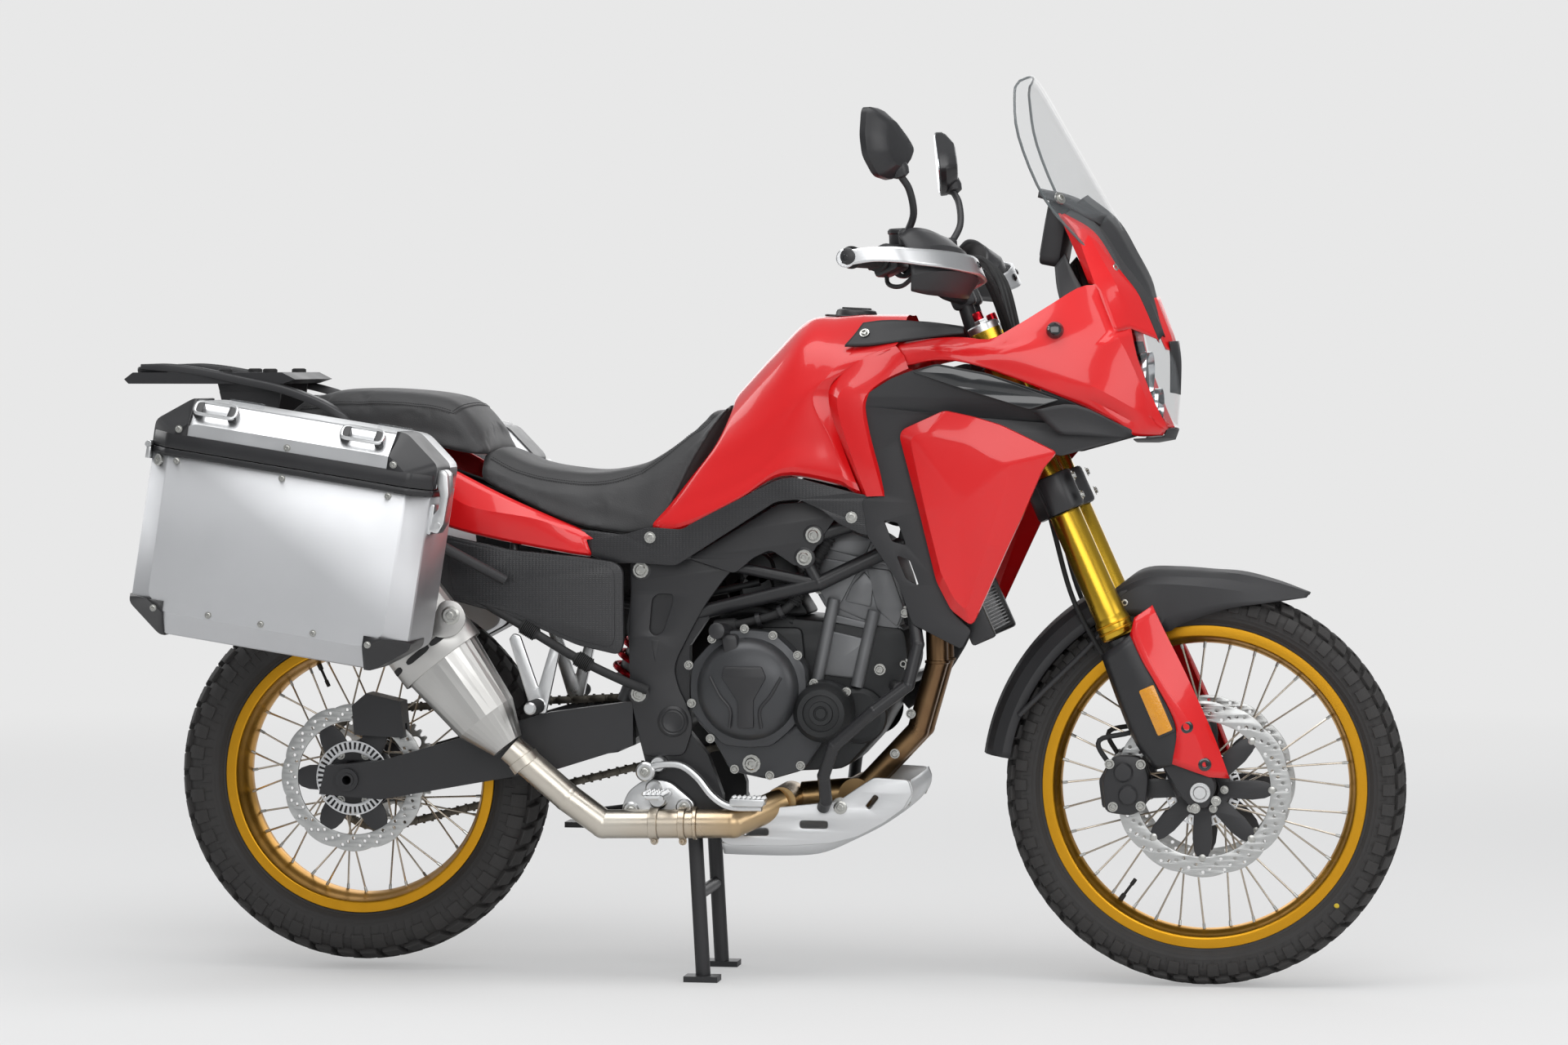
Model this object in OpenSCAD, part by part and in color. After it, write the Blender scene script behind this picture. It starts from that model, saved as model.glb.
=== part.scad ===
// Adventure motorcycle standing on its centre stand.
// +X is forward, +Y is the rider's left, +Z is up. Millimetres.
// Every module draws in chassis stations: X from the resting rear axle, Z from the floor.
// centred() then moves the drawing so that the origin lies under the middle of the box.

/* [Chassis] */
// Distance from the swingarm pivot back to the rear axle
swingarm_run = 582; // [500:1:700]
// Height of the swingarm pivot
pivot_z = 457; // [440:1:480]
// Steering rake from upright, in degrees
rake = 24; // [21:0.5:28]
// Height of the steering axis at the lower fork clamp
head_z = 845; // [820:1:880]
// Station of the steering axis at the lower fork clamp
head_x = 1225; // [1200:1:1300]
// How far the fork tubes sit ahead of the steering axis
fork_offset = 25; // [20:1:40]
// How far the front axle leads the fork tubes
axle_lead = 22; // [15:1:30]
// Distance between the fork tubes
fork_spacing = 210; // [200:1:260]
// Outer diameter of the gold fork tubes
fork_tube_d = 56; // [50:1:68]
// Diameter of the sliding fork legs
fork_leg_d = 46; // [40:1:48]
// Diameter of the steering stem
stem_d = 30; // [24:1:40]
// Diameter of the handlebar
bar_d = 22; // [22:0.2:28]

/* [Wheels] */
// Outer diameter of the front tyre
front_tyre_d = 694; // [640:1:720]
// Width of the front tyre
front_tyre_w = 90; // [75:1:110]
// Diameter of the front rim flange
front_rim_d = 562; // [500:1:600]
// Outer diameter of the rear tyre
rear_tyre_d = 666; // [600:1:690]
// Width of the rear tyre
rear_tyre_w = 150; // [120:1:160]
// Diameter of the rear rim flange
rear_rim_d = 490; // [440:1:520]
// How high the hanging rear tyre is above the floor
rear_lift = 14; // [8:1:30]
// Diameter of both hollow axles
axle_d = 25; // [20:1:30]
// Bore through both axles
axle_bore = 16; // [10:1:18]
// Diameter of the front brake discs
front_disc_d = 305; // [260:1:320]
// Diameter of the rear brake disc
rear_disc_d = 262; // [220:1:280]
// Thickness of the brake discs
disc_t = 5; // [4:0.5:6]
// Tip diameter of the rear sprocket
sprocket_d = 208; // [170:1:230]

/* [Panniers] */
// Length of a pannier
case_len = 490; // [400:1:590]
// Height of a closed pannier
case_h = 400; // [340:1:460]
// Depth of a pannier across the vehicle
case_depth = 200; // [160:1:250]
// Height of the lid
lid_h = 85; // [60:1:110]
// Aluminium wall
case_wall = 2; // [1.5:0.5:4]
// Distance from the middle of the vehicle to the inner wall of a pannier
case_inner_y = 266; // [262:1:300]
// How far the panniers tip nose down, in degrees
case_tilt = 9; // [0:1:12]

/* [Rack] */
// Distance between the rack's threaded holes along the vehicle
rack_bolt_x = 160; // [120:5:200]
// Distance between the rack's threaded holes across the vehicle
rack_bolt_y = 130; // [100:5:150]
// Diameter of the rack's threaded holes
rack_bolt_d = 6; // [5:0.5:8]

/* [Stands] */
// Station of the centre stand pivot
stand_x = 612; // [590:1:640]
// Height of the centre stand pivot
stand_z = 292; // [280:1:320]
// How far the stand feet rest ahead of the pivot
stand_reach = 16; // [5:1:40]
// Distance between the legs of the centre stand
stand_spacing = 188; // [186:1:190]
// Station of the side stand pivot
side_stand_x = 650; // [640:1:655]
// Height of the side stand pivot
side_stand_z = 300; // [290:1:305]
// Diameter of the bolt the side stand turns on
side_bolt_d = 16; // [12:1:20]

/* [Hidden] */
$fn = 64;
// Gap left between a turning part and what it turns in
running_gap = 0.05;
// Gap left between moving pieces that pass each other
clear_gap = 5;
// Rim flange thickness, depth of the bead seat below the flange, and the gap round the bead
flange_t = 4;
bead_drop = 15;
bead_gap = 0.3;
// Half of each rim's width as a share of its tyre's width
rim_share = 0.38;
// Station of the swingarm pivot, from which the rear axle is measured
pivot_x = 582;
rear_axle_x = pivot_x - swingarm_run;
rear_axle_z = rear_tyre_d / 2 + rear_lift;
fork_y = fork_spacing / 2;
// How far the front axle lies ahead of the steering axis
axle_n = fork_offset + axle_lead;
// Length of the steering axis from the lower clamp down to the height of the front axle
axle_s = (head_z + axle_n * sin(rake) - front_tyre_d / 2) / cos(rake);
front_axle_x = head_x + axle_s * sin(rake) + axle_n * cos(rake);
front_axle_z = front_tyre_d / 2;
// Rack plate: tail, middle of its bolt holes, under side, top and half width
rack_tail_x = -409;
rack_mid_x = -250;
rack_low_z = 1044;
rack_top_z = 1064;
rack_half_y = 126;
// Middle of the whole vehicle, which becomes the origin
x_mid = (rack_tail_x + front_axle_x + front_tyre_d / 2) / 2;
// Clamp heights, and places along the steering axis of the top clamp and of both ends of the tubes
clamp_low_h = 70;
clamp_top_s = 262;
clamp_top_h = 32;
tube_top_s = 300;
tube_low_s = -266;
// Distances of the brake discs from the middle
front_disc_y = 70;
rear_disc_y = 98;
// Front sprocket
sprocket_x = 700;
sprocket_z = 455;
sprocket_r = 36;
// Gap inside the chain loop and the height of its links
chain_in = 3;
chain_h = 14;
chain_y = 98;
// Frame side plates: inner face and thickness
plate_y = 112;
plate_t = 24;
// Middle of a pannier in side view, and the size of its cut corners
case_mid = [-35, 791];
case_corner_u = 58;
case_corner_w = 44;
// Lid seam and hinge
lid_gap = 0.6;
hinge_pin_d = 6;
hinge_d = 12;
hinge_u = -case_len / 2 - hinge_d / 2 - 1;
seam_w = case_h / 2 - lid_h;
stand_y = stand_spacing / 2;
side_stand_y = 150;
stand_pin_d = 18;

// ---- shapes used by many parts ----

module centred() {
    translate([-x_mid, 0, 0]) children();
}

module both() {
    children();
    mirror([0, 1, 0]) children();
}

// The steering frame: its origin is on the steering axis at the lower clamp, its Z runs up the axis
module steered() {
    translate([head_x, 0, head_z]) rotate([0, -rake, 0]) children();
}

// A round bar from a to b
module rod(a, b, r) {
    v = b - a;
    run = sqrt(v[0] * v[0] + v[1] * v[1]);
    translate(a) rotate([0, atan2(run, v[2]), atan2(v[1], v[0])]) cylinder(h = norm(v), r = r);
}

// Bent tube through the points, with a slightly proud ball at each bend
module tube(points, r) {
    for (i = [0:len(points) - 2]) rod(points[i], points[i + 1], r);
    for (i = [1:len(points) - 2]) translate(points[i]) sphere(r = r + 0.4);
}

// A plate drawn in side view between two distances from the middle
module plate(outline, y0, y1) {
    translate([0, y1, 0]) rotate([90, 0, 0]) linear_extrude(height = y1 - y0) polygon(outline);
}

// A round disc or boss lying across the vehicle, from y0 to y1
module drum(x, z, r, y0, y1) {
    translate([x, y1, z]) rotate([90, 0, 0]) cylinder(h = y1 - y0, r = r);
}

// A solid through closed rings of points, all with as many points
module loft(rings) {
    n = len(rings[0]);
    m = len(rings);
    sides = [for (j = [0:m - 2], i = [0:n - 1])
        each [[j * n + i, (j + 1) * n + i, j * n + (i + 1) % n],
            [j * n + (i + 1) % n, (j + 1) * n + i, (j + 1) * n + (i + 1) % n]]];
    cap_a = [for (i = [1:n - 2]) [0, i, i + 1]];
    cap_b = [for (i = [1:n - 2]) [(m - 1) * n, (m - 1) * n + i + 1, (m - 1) * n + i]];
    polyhedron(points = [for (r = rings) each r], faces = concat(sides, cap_a, cap_b), convexity = 6);
}

function sgn_pow(v, k) = sign(v) * pow(abs(v), k);

// A rounded section across the vehicle at station x, from z0 up to z1 and hw to each side
function section(x, z0, z1, hw, k = 0.6, n = 24) = [for (i = [0:n - 1]) let (a = 360 * i / n)
    [x, hw * sgn_pow(cos(a), k), (z0 + z1) / 2 + (z1 - z0) / 2 * sgn_pow(sin(a), k)]];

// A sheet of thickness t through rows of points, thickened along the direction dir
module sheet(rows, dir) {
    n = len(rows[0]);
    m = len(rows);
    k = n * m;
    front = [for (j = [0:m - 2], i = [0:n - 2])
        each [[j * n + i, (j + 1) * n + i, j * n + i + 1],
            [j * n + i + 1, (j + 1) * n + i, (j + 1) * n + i + 1]]];
    back = [for (f = front) [k + f[0], k + f[2], k + f[1]]];
    rim = concat([for (i = [0:n - 2]) i], [for (j = [0:m - 2]) j * n + n - 1],
        [for (i = [n - 1:-1:1]) (m - 1) * n + i], [for (j = [m - 1:-1:1]) j * n]);
    wall = [for (i = [0:len(rim) - 1]) let (a = rim[i], b = rim[(i + 1) % len(rim)])
        each [[a, b, k + a], [b, k + b, k + a]]];
    pts = [for (r = rows) each r];
    polyhedron(points = concat(pts, [for (p = pts) p + dir]), faces = concat(front, back, wall),
        convexity = 6);
}

// ---- chassis ----

module frame() centred() color("#1c1c1e") {
    difference() {
        union() {
            steered() translate([0, 0, clamp_low_h / 2 + clear_gap])
                cylinder(h = clamp_top_s - clamp_top_h / 2 - clamp_low_h / 2 - 2 * clear_gap, r = stem_d / 2 + 15);
            both() {
                tube([[1150, 30, 960], [1000, 125, 836], [800, 137, 772], [600, 130, 745], [545, 124, 700]], 14);
                tube([[1184, 26, 888], [985, 122, 770], [840, 137, 700], [600, 126, 640]], 13);
                rod([1000, 125, 836], [985, 122, 770], 11);
                rod([800, 137, 772], [840, 137, 700], 11);
                rod([600, 130, 745], [840, 137, 700], 10);
                plate([[520, 730], [545, 752], [600, 752], [646, 640], [612, 590], [612, 440], [644, 400],
                    [670, 330], [670, 262], [588, 262], [560, 300], [535, 380], [522, 430], [522, 500],
                    [500, 620]], plate_y, plate_y + plate_t);
            }
            // Bolt that the side stand turns on
            drum(side_stand_x, side_stand_z, side_bolt_d / 2, plate_y + 6, side_stand_y + 14);
            drum(560, 722, 14, -plate_y - 12, plate_y + 12);
            drum(560, 326, 12, -plate_y - 12, plate_y + 12);
        }
        steered() translate([0, 0, clamp_low_h / 2]) cylinder(h = clamp_top_s, r = stem_d / 2 + running_gap);
        drum(pivot_x, pivot_z, 12 + running_gap, -200, 200);
        drum(stand_x, stand_z, stand_pin_d / 2 + running_gap, -200, 200);
    }
}

module subframe() centred() color("#1c1c1e") both() {
    tube([[514, 124, 742], [450, 124, 762], [300, 122, 822], [100, 118, 890], [-190, 100, 930]], 12);
    tube([[492, 125, 642], [300, 140, 672], [60, 132, 780], [-110, 112, 905]], 11);
    rod([300, 140, 672], [300, 122, 822], 9);
}

module engine_case() centred() color("#3a3b3d") {
    difference() {
        union() {
            plate([[650, 600], [730, 640], [985, 620], [975, 520], [930, 430], [880, 380], [700, 366],
                [656, 400], [650, 470]], -108, 108);
            drum(905, 470, 50, -122, 122);
        }
        // Pocket for the front sprocket and the chain
        drum(sprocket_x, sprocket_z, sprocket_r + chain_in + chain_h + 4, chain_y - 12, 140);
        translate([600, chain_y - 12, 380]) cube([100, 60, 140]);
    }
    plate([[812, 610], [824, 700], [850, 792], [952, 786], [990, 610]], -104, 104);
    drum(sprocket_x, sprocket_z, 14, chain_y - 20, chain_y + 8);
    drum(sprocket_x, sprocket_z, sprocket_r, chain_y - 4, chain_y + 4);
}

module engine_covers() centred() color("#2a2b2d") {
    drum(722, 510, 98, -168, -112);
    drum(722, 510, 84, -196, -160);
    drum(851, 480, 56, -172, -124);
    drum(851, 480, 46, -186, -160);
    drum(851, 480, 78, 124, 168);
    drum(851, 480, 60, 160, 182);
}

module radiator() centred() color("#202122") {
    translate([1094, 0, 686]) rotate([0, -24, 0]) {
        translate([-18, -150, -84]) cube([36, 300, 168]);
        translate([-22, -166, -90]) cube([44, 20, 180]);
        translate([-22, 146, -90]) cube([44, 20, 180]);
    }
}

module exhaust_pipes() centred() color("#8f7a62") {
    for (y = [-42, 42])
        tube([[994, y, 690], [1032, y, 640], [1034, y, 560], [1000, y, 440], [893, y, 326]], 19);
    drum(893, 326, 30, -64, 64);
    rod([893, 0, 326], [790, 0, 316], 27);
    drum(768, 316, 27, -110, 10);
    tube([[768, -104, 316], [694, -168, 284], [466, -172, 280], [404, -180, 326], [305, -189, 412]], 25);
}

module muffler() centred() color("#b9bcc0") {
    ends = [[300, 416, 30], [262, 464, 58], [150, 608, 80], [46, 742, 80], [30, 762, 62]];
    loft([for (e = ends) [for (i = [0:27]) let (a = 360 * i / 28, w = min(47, e[2]))
        [e[0] + 0.789 * e[2] * sin(a), -190 - w * cos(a), e[1] + 0.614 * e[2] * sin(a)]]]);
}

module fuel_tank() centred() color("#c0141b") {
    loft([section(560, 794, 800, 60), section(610, 800, 902, 125), section(672, 812, 1012, 165),
        section(740, 826, 1090, 182), section(809, 840, 1150, 192), section(900, 862, 1163, 190),
        section(976, 880, 1156, 172), section(1012, 940, 1120, 112)]);
}

module side_trims() centred() color("#222224") both() {
    sheet([[[930, 200, 1015], [1060, 206, 1010], [1200, 204, 980], [1366, 178, 950]],
        [[960, 204, 940], [1060, 212, 930], [1180, 208, 920], [1262, 196, 924]],
        [[985, 206, 820], [1030, 214, 790], [1070, 212, 770], [1100, 204, 760]],
        [[1000, 196, 720], [1030, 198, 680], [1070, 196, 620], [1090, 190, 596]]], [0, -4, 0]);
    sheet([[[163, 160, 789], [300, 168, 762], [485, 158, 734]],
        [[170, 166, 735], [300, 172, 710], [492, 164, 660]],
        [[177, 160, 675], [300, 166, 640], [497, 156, 578]]], [0, -4, 0]);
}

module side_shrouds() centred() color("#c0141b") both() {
    sheet([[[1074, 214, 1001], [1140, 222, 966], [1210, 222, 940], [1269, 214, 922]],
        [[1030, 226, 940], [1100, 240, 910], [1170, 240, 880], [1230, 228, 866]],
        [[1050, 228, 820], [1100, 238, 810], [1150, 236, 805], [1188, 224, 806]],
        [[1078, 212, 660], [1092, 216, 650], [1104, 214, 642], [1113, 208, 635]]], [0, -4, 0]);
}

module headlight_cowl() centred() color("#c0141b") both() {
    sheet([[[982, 188, 1110], [1135, 178, 1132], [1215, 170, 1176], [1302, 146, 1213], [1393, 66, 1196]],
        [[984, 190, 1104], [1135, 192, 1090], [1250, 184, 1084], [1340, 158, 1105], [1426, 84, 1110]],
        [[986, 190, 1098], [1135, 200, 1046], [1262, 190, 1000], [1376, 150, 958], [1432, 86, 962]]], [0, -5, 0]);
    sheet([[[1246, 96, 1330], [1262, 50, 1339], [1266, 4, 1339]],
        [[1284, 120, 1268], [1324, 60, 1276], [1332, 4, 1280]],
        [[1312, 138, 1214], [1380, 58, 1203], [1388, 4, 1206]]], [-5, 0, 0]);
}

module headlight() centred() color("#dfe6ea") {
    loft([[for (i = [0:19]) let (a = 18 * i) [1376, 92 * sgn_pow(cos(a), 0.7), 1052 + 74 * sgn_pow(sin(a), 0.7)]],
        [for (i = [0:19]) let (a = 18 * i) [1426, 76 * sgn_pow(cos(a), 0.7), 1042 + 60 * sgn_pow(sin(a), 0.7)]],
        [for (i = [0:19]) let (a = 18 * i) [1452, 46 * sgn_pow(cos(a), 0.7), 1034 + 34 * sgn_pow(sin(a), 0.7)]]]);
}

module windscreen() centred() color([0.85, 0.9, 0.92, 0.4]) {
    // Each row runs across the screen: half width, how far its edges sweep back, station and height
    rows = [[92, 40, 1400, 1216], [128, 64, 1364, 1290], [152, 86, 1318, 1372], [150, 70, 1256, 1480],
        [120, 36, 1212, 1556], [84, 14, 1194, 1578]];
    sheet([for (r = rows) [for (k = [-4:4]) let (f = k / 4)
        [r[2] - r[1] * f * f, r[0] * f, r[3] - 12 * f * f]]], [-4, 0, 0]);
}

module dash() centred() color("#161617") {
    plate([[1212, 1250], [1206, 1376], [1222, 1382], [1250, 1262]], -84, 84);
    // Bracket that carries the dash and the cowl, out from the head tube between the clamps
    steered() both() tube([[stem_d / 2 + 10, 20, 150], [150, 22, 165], [158, 22, 300], [156, 40, 380]], 8);
}

module rider_seat() centred() color("#17171a") {
    loft([section(248, 868, 936, 138), section(317, 848, 907, 152), section(380, 826, 895, 156),
        section(446, 804, 891, 152), section(518, 790, 904, 136), section(562, 806, 926, 120),
        section(612, 908, 962, 100), section(655, 990, 1004, 78)]);
}

module pillion_seat() centred() color("#17171a") {
    loft([section(-118, 986, 1010, 84), section(-62, 962, 1024, 108), section(-20, 956, 1032, 126),
        section(60, 948, 1034, 142), section(150, 936, 1024, 146), section(200, 926, 1008, 144),
        section(246, 938, 958, 136)]);
}

module tail_panels() centred() color("#c0141b") both() {
    sheet([[[60, 140, 945], [180, 156, 920], [300, 166, 845], [420, 164, 806], [545, 142, 790]],
        [[100, 146, 900], [200, 162, 868], [310, 170, 812], [410, 166, 775], [500, 148, 762]]], [0, -6, 0]);
}

module luggage_rack() centred() color("#1b1b1d") {
    edge_z = rack_top_z - 12;
    cut_z = rack_low_z - 14;
    cut_h = rack_top_z - rack_low_z + 40;
    difference() {
        union() {
            plate([[rack_tail_x, edge_z], [rack_tail_x + 16, rack_top_z], [-120, rack_top_z], [-96, edge_z],
                [-120, rack_low_z], [rack_tail_x + 8, rack_low_z]], -rack_half_y, rack_half_y);
            both() plate([[-250, 1048], [-220, 930], [-150, 920], [-130, 1048]], 82, 88);
        }
        for (x = [-1, 1], y = [-1, 1])
            translate([rack_mid_x + x * rack_bolt_x / 2, y * rack_bolt_y / 2, cut_z])
                cylinder(h = cut_h, d = rack_bolt_d);
        // Hand slots at the sides and a window in the middle
        for (y = [-98, 98]) translate([-350, y - 12, cut_z]) cube([210, 24, cut_h]);
        translate([-300, -36, cut_z]) cube([120, 72, cut_h]);
    }
}

module pannier_rails() centred() color("#1b1b1d") both() {
    tube([[-170, 252, 960], [-190, 252, 700], [150, 252, 648], [186, 252, 896], [-170, 252, 960]], 9);
    translate([-170, 252, 960]) sphere(r = 9.4);
    rod([-170, 88, 960], [-170, 252, 960], 9);
    rod([186, 252, 884], [150, 135, 862], 9);
    rod([170, 252, 780], [294, 184, 704], 9);
}

// ---- panniers: drawn level and then tipped nose down about the middle of the case ----

module case_frame() {
    translate([case_mid[0], 0, case_mid[1]]) rotate([0, case_tilt, 0]) children();
}

// Side view of the whole closed case, shrunk all round by the inset
module case_outline(inset, w0, w1) {
    u = case_len / 2 - inset;
    w = case_h / 2 - inset;
    cu = case_corner_u - inset * 0.4;
    cw = case_corner_w - inset * 0.4;
    intersection() {
        polygon([[-u, -w + cw], [-u + cu, -w], [u - cu, -w], [u, -w + cw], [u, w - cw], [u - cu, w],
            [-u + cu, w], [-u, w - cw]]);
        translate([-u - 1, w0]) square([2 * u + 2, w1 - w0]);
    }
}

module case_slab(inset, w0, w1) {
    translate([0, case_inner_y + case_depth - inset, 0]) rotate([90, 0, 0])
        linear_extrude(height = case_depth - 2 * inset) case_outline(inset, w0, w1);
}

module pannier_body() {
    case_frame() {
        difference() {
            case_slab(0, -case_h, seam_w - lid_gap);
            case_slab(case_wall, -case_h, seam_w + 10);
        }
        for (y = [case_inner_y + 20, case_inner_y + case_depth - 50]) {
            translate([0, y, 0]) hinge_leaf(30);
        }
        // Hinge pin
        translate([hinge_u, case_inner_y + case_depth - 30, seam_w]) rotate([90, 0, 0])
            cylinder(h = case_depth - 40, d = hinge_pin_d);
    }
}

module hinge_leaf(length) {
    translate([hinge_u, length, seam_w]) rotate([90, 0, 0]) cylinder(h = length, d = hinge_d);
    translate([hinge_u - 2, 0, seam_w - 24]) cube([hinge_d / 2 + 4, length, 20]);
}

module pannier_lid() {
    case_frame() {
        difference() {
            case_slab(0, seam_w, case_h);
            case_slab(case_wall, seam_w - 10, case_h);
        }
        difference() {
            union() {
                translate([hinge_u, case_inner_y + case_depth - 56, seam_w]) rotate([90, 0, 0])
                    cylinder(h = case_depth - 112, d = hinge_d);
                translate([hinge_u - 2, case_inner_y + 56, seam_w + 2])
                    cube([hinge_d / 2 + 4, case_depth - 112, 22]);
            }
            translate([hinge_u, case_inner_y + case_depth, seam_w]) rotate([90, 0, 0])
                cylinder(h = case_depth, d = hinge_pin_d + 2 * running_gap);
        }
    }
}

module left_pannier() centred() color("#b4b7ba") pannier_body();
module right_pannier() centred() color("#b4b7ba") mirror([0, 1, 0]) pannier_body();
module left_pannier_lid() centred() color("#b4b7ba") pannier_lid();
module right_pannier_lid() centred() color("#b4b7ba") mirror([0, 1, 0]) pannier_lid();

// ---- tail ----

module rear_mudguard() centred() color("#1b1b1d") {
    plate([[240, 800], [120, 868], [-130, 900], [-150, 880], [100, 840], [240, 770]], -96, 96);
    plate([[-120, 896], [-170, 905], [-262, 740], [-282, 640], [-272, 640], [-250, 738], [-150, 870]], -60, 60);
    plate([[-280, 640], [-290, 640], [-272, 760], [-262, 760]], -90, 90);
}

module tail_light() centred() color("#8e0f14") {
    plate([[-196, 960], [-262, 975], [-270, 950], [-215, 925], [-196, 925]], -70, 70);
}

module swingarm() centred() color("#242527") {
    difference() {
        union() {
            both() plate([[rear_axle_x - 52, rear_axle_z - 26], [rear_axle_x - 40, rear_axle_z + 24],
                [rear_axle_x + 60, rear_axle_z + 34], [360, 470], [512, 492], [512, 414], [380, 372],
                [rear_axle_x + 60, rear_axle_z - 34]], plate_y, plate_y + 28);
            plate([[392, 388], [392, 466], [520, 474], [520, 432], [480, 400]], -plate_y, plate_y);
            plate([[510, 434], [510, 474], [pivot_x, 479], [pivot_x, 435]], -plate_y + 4, plate_y - 22);
            drum(pivot_x, pivot_z, 22, -plate_y + 2, plate_y - 22);
            drum(pivot_x, pivot_z, 12, -plate_y - plate_t - 6, plate_y + plate_t + 6);
            both() drum(rear_axle_x, rear_axle_z, axle_d / 2 + 5, 92, plate_y + 1);
            drum(rear_axle_x, rear_axle_z, axle_d / 2, -plate_y - 36, plate_y + 36);
            both() drum(rear_axle_x, rear_axle_z, 20, plate_y + 28, plate_y + 34);
        }
        drum(rear_axle_x, rear_axle_z, axle_bore / 2, -200, 200);
    }
}

module shock_absorber() centred() color("#c9a227") {
    rod([470, 0, 481], [551, 0, 692], 14);
    rod([485, 0, 520], [538, 0, 658], 30);
}

// Outline of a loop round two wheels: an arc round each, joined by the two tangents
function loop_outline(c1, r1, c2, r2, steps = 24) =
    let (d = norm(c2 - c1), a = atan2(c2[1] - c1[1], c2[0] - c1[0]), b = acos((r1 - r2) / d))
    concat([for (i = [0:steps]) let (t = a + b + (360 - 2 * b) * i / steps) c1 + r1 * [cos(t), sin(t)]],
        [for (i = [0:steps]) let (t = a - b + 2 * b * i / steps) c2 + r2 * [cos(t), sin(t)]]);

module chain() centred() color("#4a4a4c") {
    c1 = [rear_axle_x, rear_axle_z];
    c2 = [sprocket_x, sprocket_z];
    r1 = sprocket_d / 2 + clear_gap;
    translate([0, chain_y + 8, 0]) rotate([90, 0, 0]) linear_extrude(height = 16) difference() {
        polygon(loop_outline(c1, r1 + chain_h, c2, sprocket_r + chain_in + chain_h));
        polygon(loop_outline(c1, r1, c2, sprocket_r + chain_in));
    }
}

module rear_caliper() centred() color("#1d1d1f") {
    difference() {
        plate([[rear_axle_x + 8, rear_axle_z + 78], [rear_axle_x + 4, rear_axle_z + 130],
            [rear_axle_x + 30, rear_axle_z + 152], [rear_axle_x + 92, rear_axle_z + 138],
            [rear_axle_x + 98, rear_axle_z + 74]], -rear_disc_y - 26, -rear_disc_y + 24);
        drum(rear_axle_x, rear_axle_z, rear_disc_d / 2 + 6, -rear_disc_y - disc_t / 2 - clear_gap,
            -rear_disc_y + disc_t / 2 + clear_gap);
    }
}

// ---- wheels ----

// Tyre section: a crown across the top, a side wall down to each bead, and a bead inside each flange
module tyre_ring(outer_d, width, rim_d, rim_half) {
    r1 = outer_d / 2;
    seat = rim_d / 2 - bead_drop + bead_gap;
    lip = rim_d / 2 + bead_gap;
    mid = (lip + r1) / 2;
    w = width / 2;
    b = rim_half - flange_t - bead_gap;
    half = [[seat, b - 12], [seat, b], [lip, b], [lip + 3, b + 5], [mid - 4, w], [r1 - w * 0.5, w * 0.96],
        [r1 - w * 0.18, w * 0.62], [r1, w * 0.22]];
    inner = [[r1 - 14, 0], [r1 - 18, w * 0.4], [mid, w - 10], [lip + 4, b - 6]];
    rotate([90, 0, 0]) rotate_extrude($fn = 96)
        polygon(concat(half, [for (i = [len(half) - 1:-1:0]) [half[i][0], -half[i][1]]],
            [for (i = [3:-1:1]) [inner[i][0], -inner[i][1]]], inner));
}

// Rim section: two flanges, two bead seats and a well in the middle
module rim_ring(rim_d, hw) {
    r = rim_d / 2;
    seat = r - bead_drop;
    half = [[r, hw], [r, hw - flange_t], [seat, hw - flange_t], [seat, hw * 0.5], [seat - 10, hw * 0.28]];
    under = [[seat - 15, hw * 0.32], [seat - 5, hw * 0.6], [seat - 4, hw]];
    rotate([90, 0, 0]) rotate_extrude($fn = 96)
        polygon(concat(half, [for (i = [len(half) - 1:-1:0]) [half[i][0], -half[i][1]]],
            [for (i = [2:-1:0]) [under[i][0], -under[i][1]]], under));
}

// Hub on its bearings: barrel, two flanges and the bore for the axle
module hub(barrel_r, flange_r, flange_y, end_y) {
    rotate([90, 0, 0]) difference() {
        union() {
            translate([0, 0, -end_y]) cylinder(h = 2 * end_y, r = barrel_r);
            for (s = [-1, 1]) translate([0, 0, s * flange_y - 4]) cylinder(h = 8, r = flange_r);
        }
        translate([0, 0, -end_y - 1]) cylinder(h = 2 * end_y + 2, d = axle_d + 2 * running_gap);
    }
}

// Crossed spokes, half of them from each flange
module spokes(count, flange_r, flange_y, rim_r, rim_y, lean) {
    for (i = [0:count - 1]) {
        side = i % 2 == 0 ? 1 : -1;
        swing = (floor(i / 2) % 2 == 0) ? 1 : -1;
        a = 360 * i / count;
        b = a + swing * lean;
        rod([flange_r * cos(b), side * (flange_y + swing * 3.2), flange_r * sin(b)],
            [rim_r * cos(a), side * (rim_y + swing * 2.4), rim_r * sin(a)], 1.8);
    }
}

module at_rear() {
    translate([rear_axle_x, 0, rear_axle_z]) children();
}

module at_front() {
    translate([front_axle_x, 0, front_axle_z]) children();
}

module rear_tyre() centred() color("#1a1a1b") at_rear()
    tyre_ring(rear_tyre_d, rear_tyre_w, rear_rim_d, rear_tyre_w * rim_share);

module rear_wheel() centred() color("#c8932e") at_rear() {
    rim_ring(rear_rim_d, rear_tyre_w * rim_share);
    hub(34, 62, 46, 88);
}

module rear_spokes() centred() color("#b9b5ac") at_rear()
    spokes(36, 56, 46, rear_rim_d / 2 - 29, 8, 38);

module rear_disc() centred() color("#b8babc") at_rear() translate([0, -rear_disc_y, 0]) rotate([90, 0, 0])
    difference() {
        union() {
            translate([0, 0, -disc_t / 2]) cylinder(h = disc_t, d = rear_disc_d);
            translate([0, 0, -9.6]) cylinder(h = 10, r = 62);
        }
        translate([0, 0, -10]) cylinder(h = 30, r = 30);
        for (i = [0:9]) rotate(36 * i) translate([83, 0, -10]) cylinder(h = 30, r = 11);
    }

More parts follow.
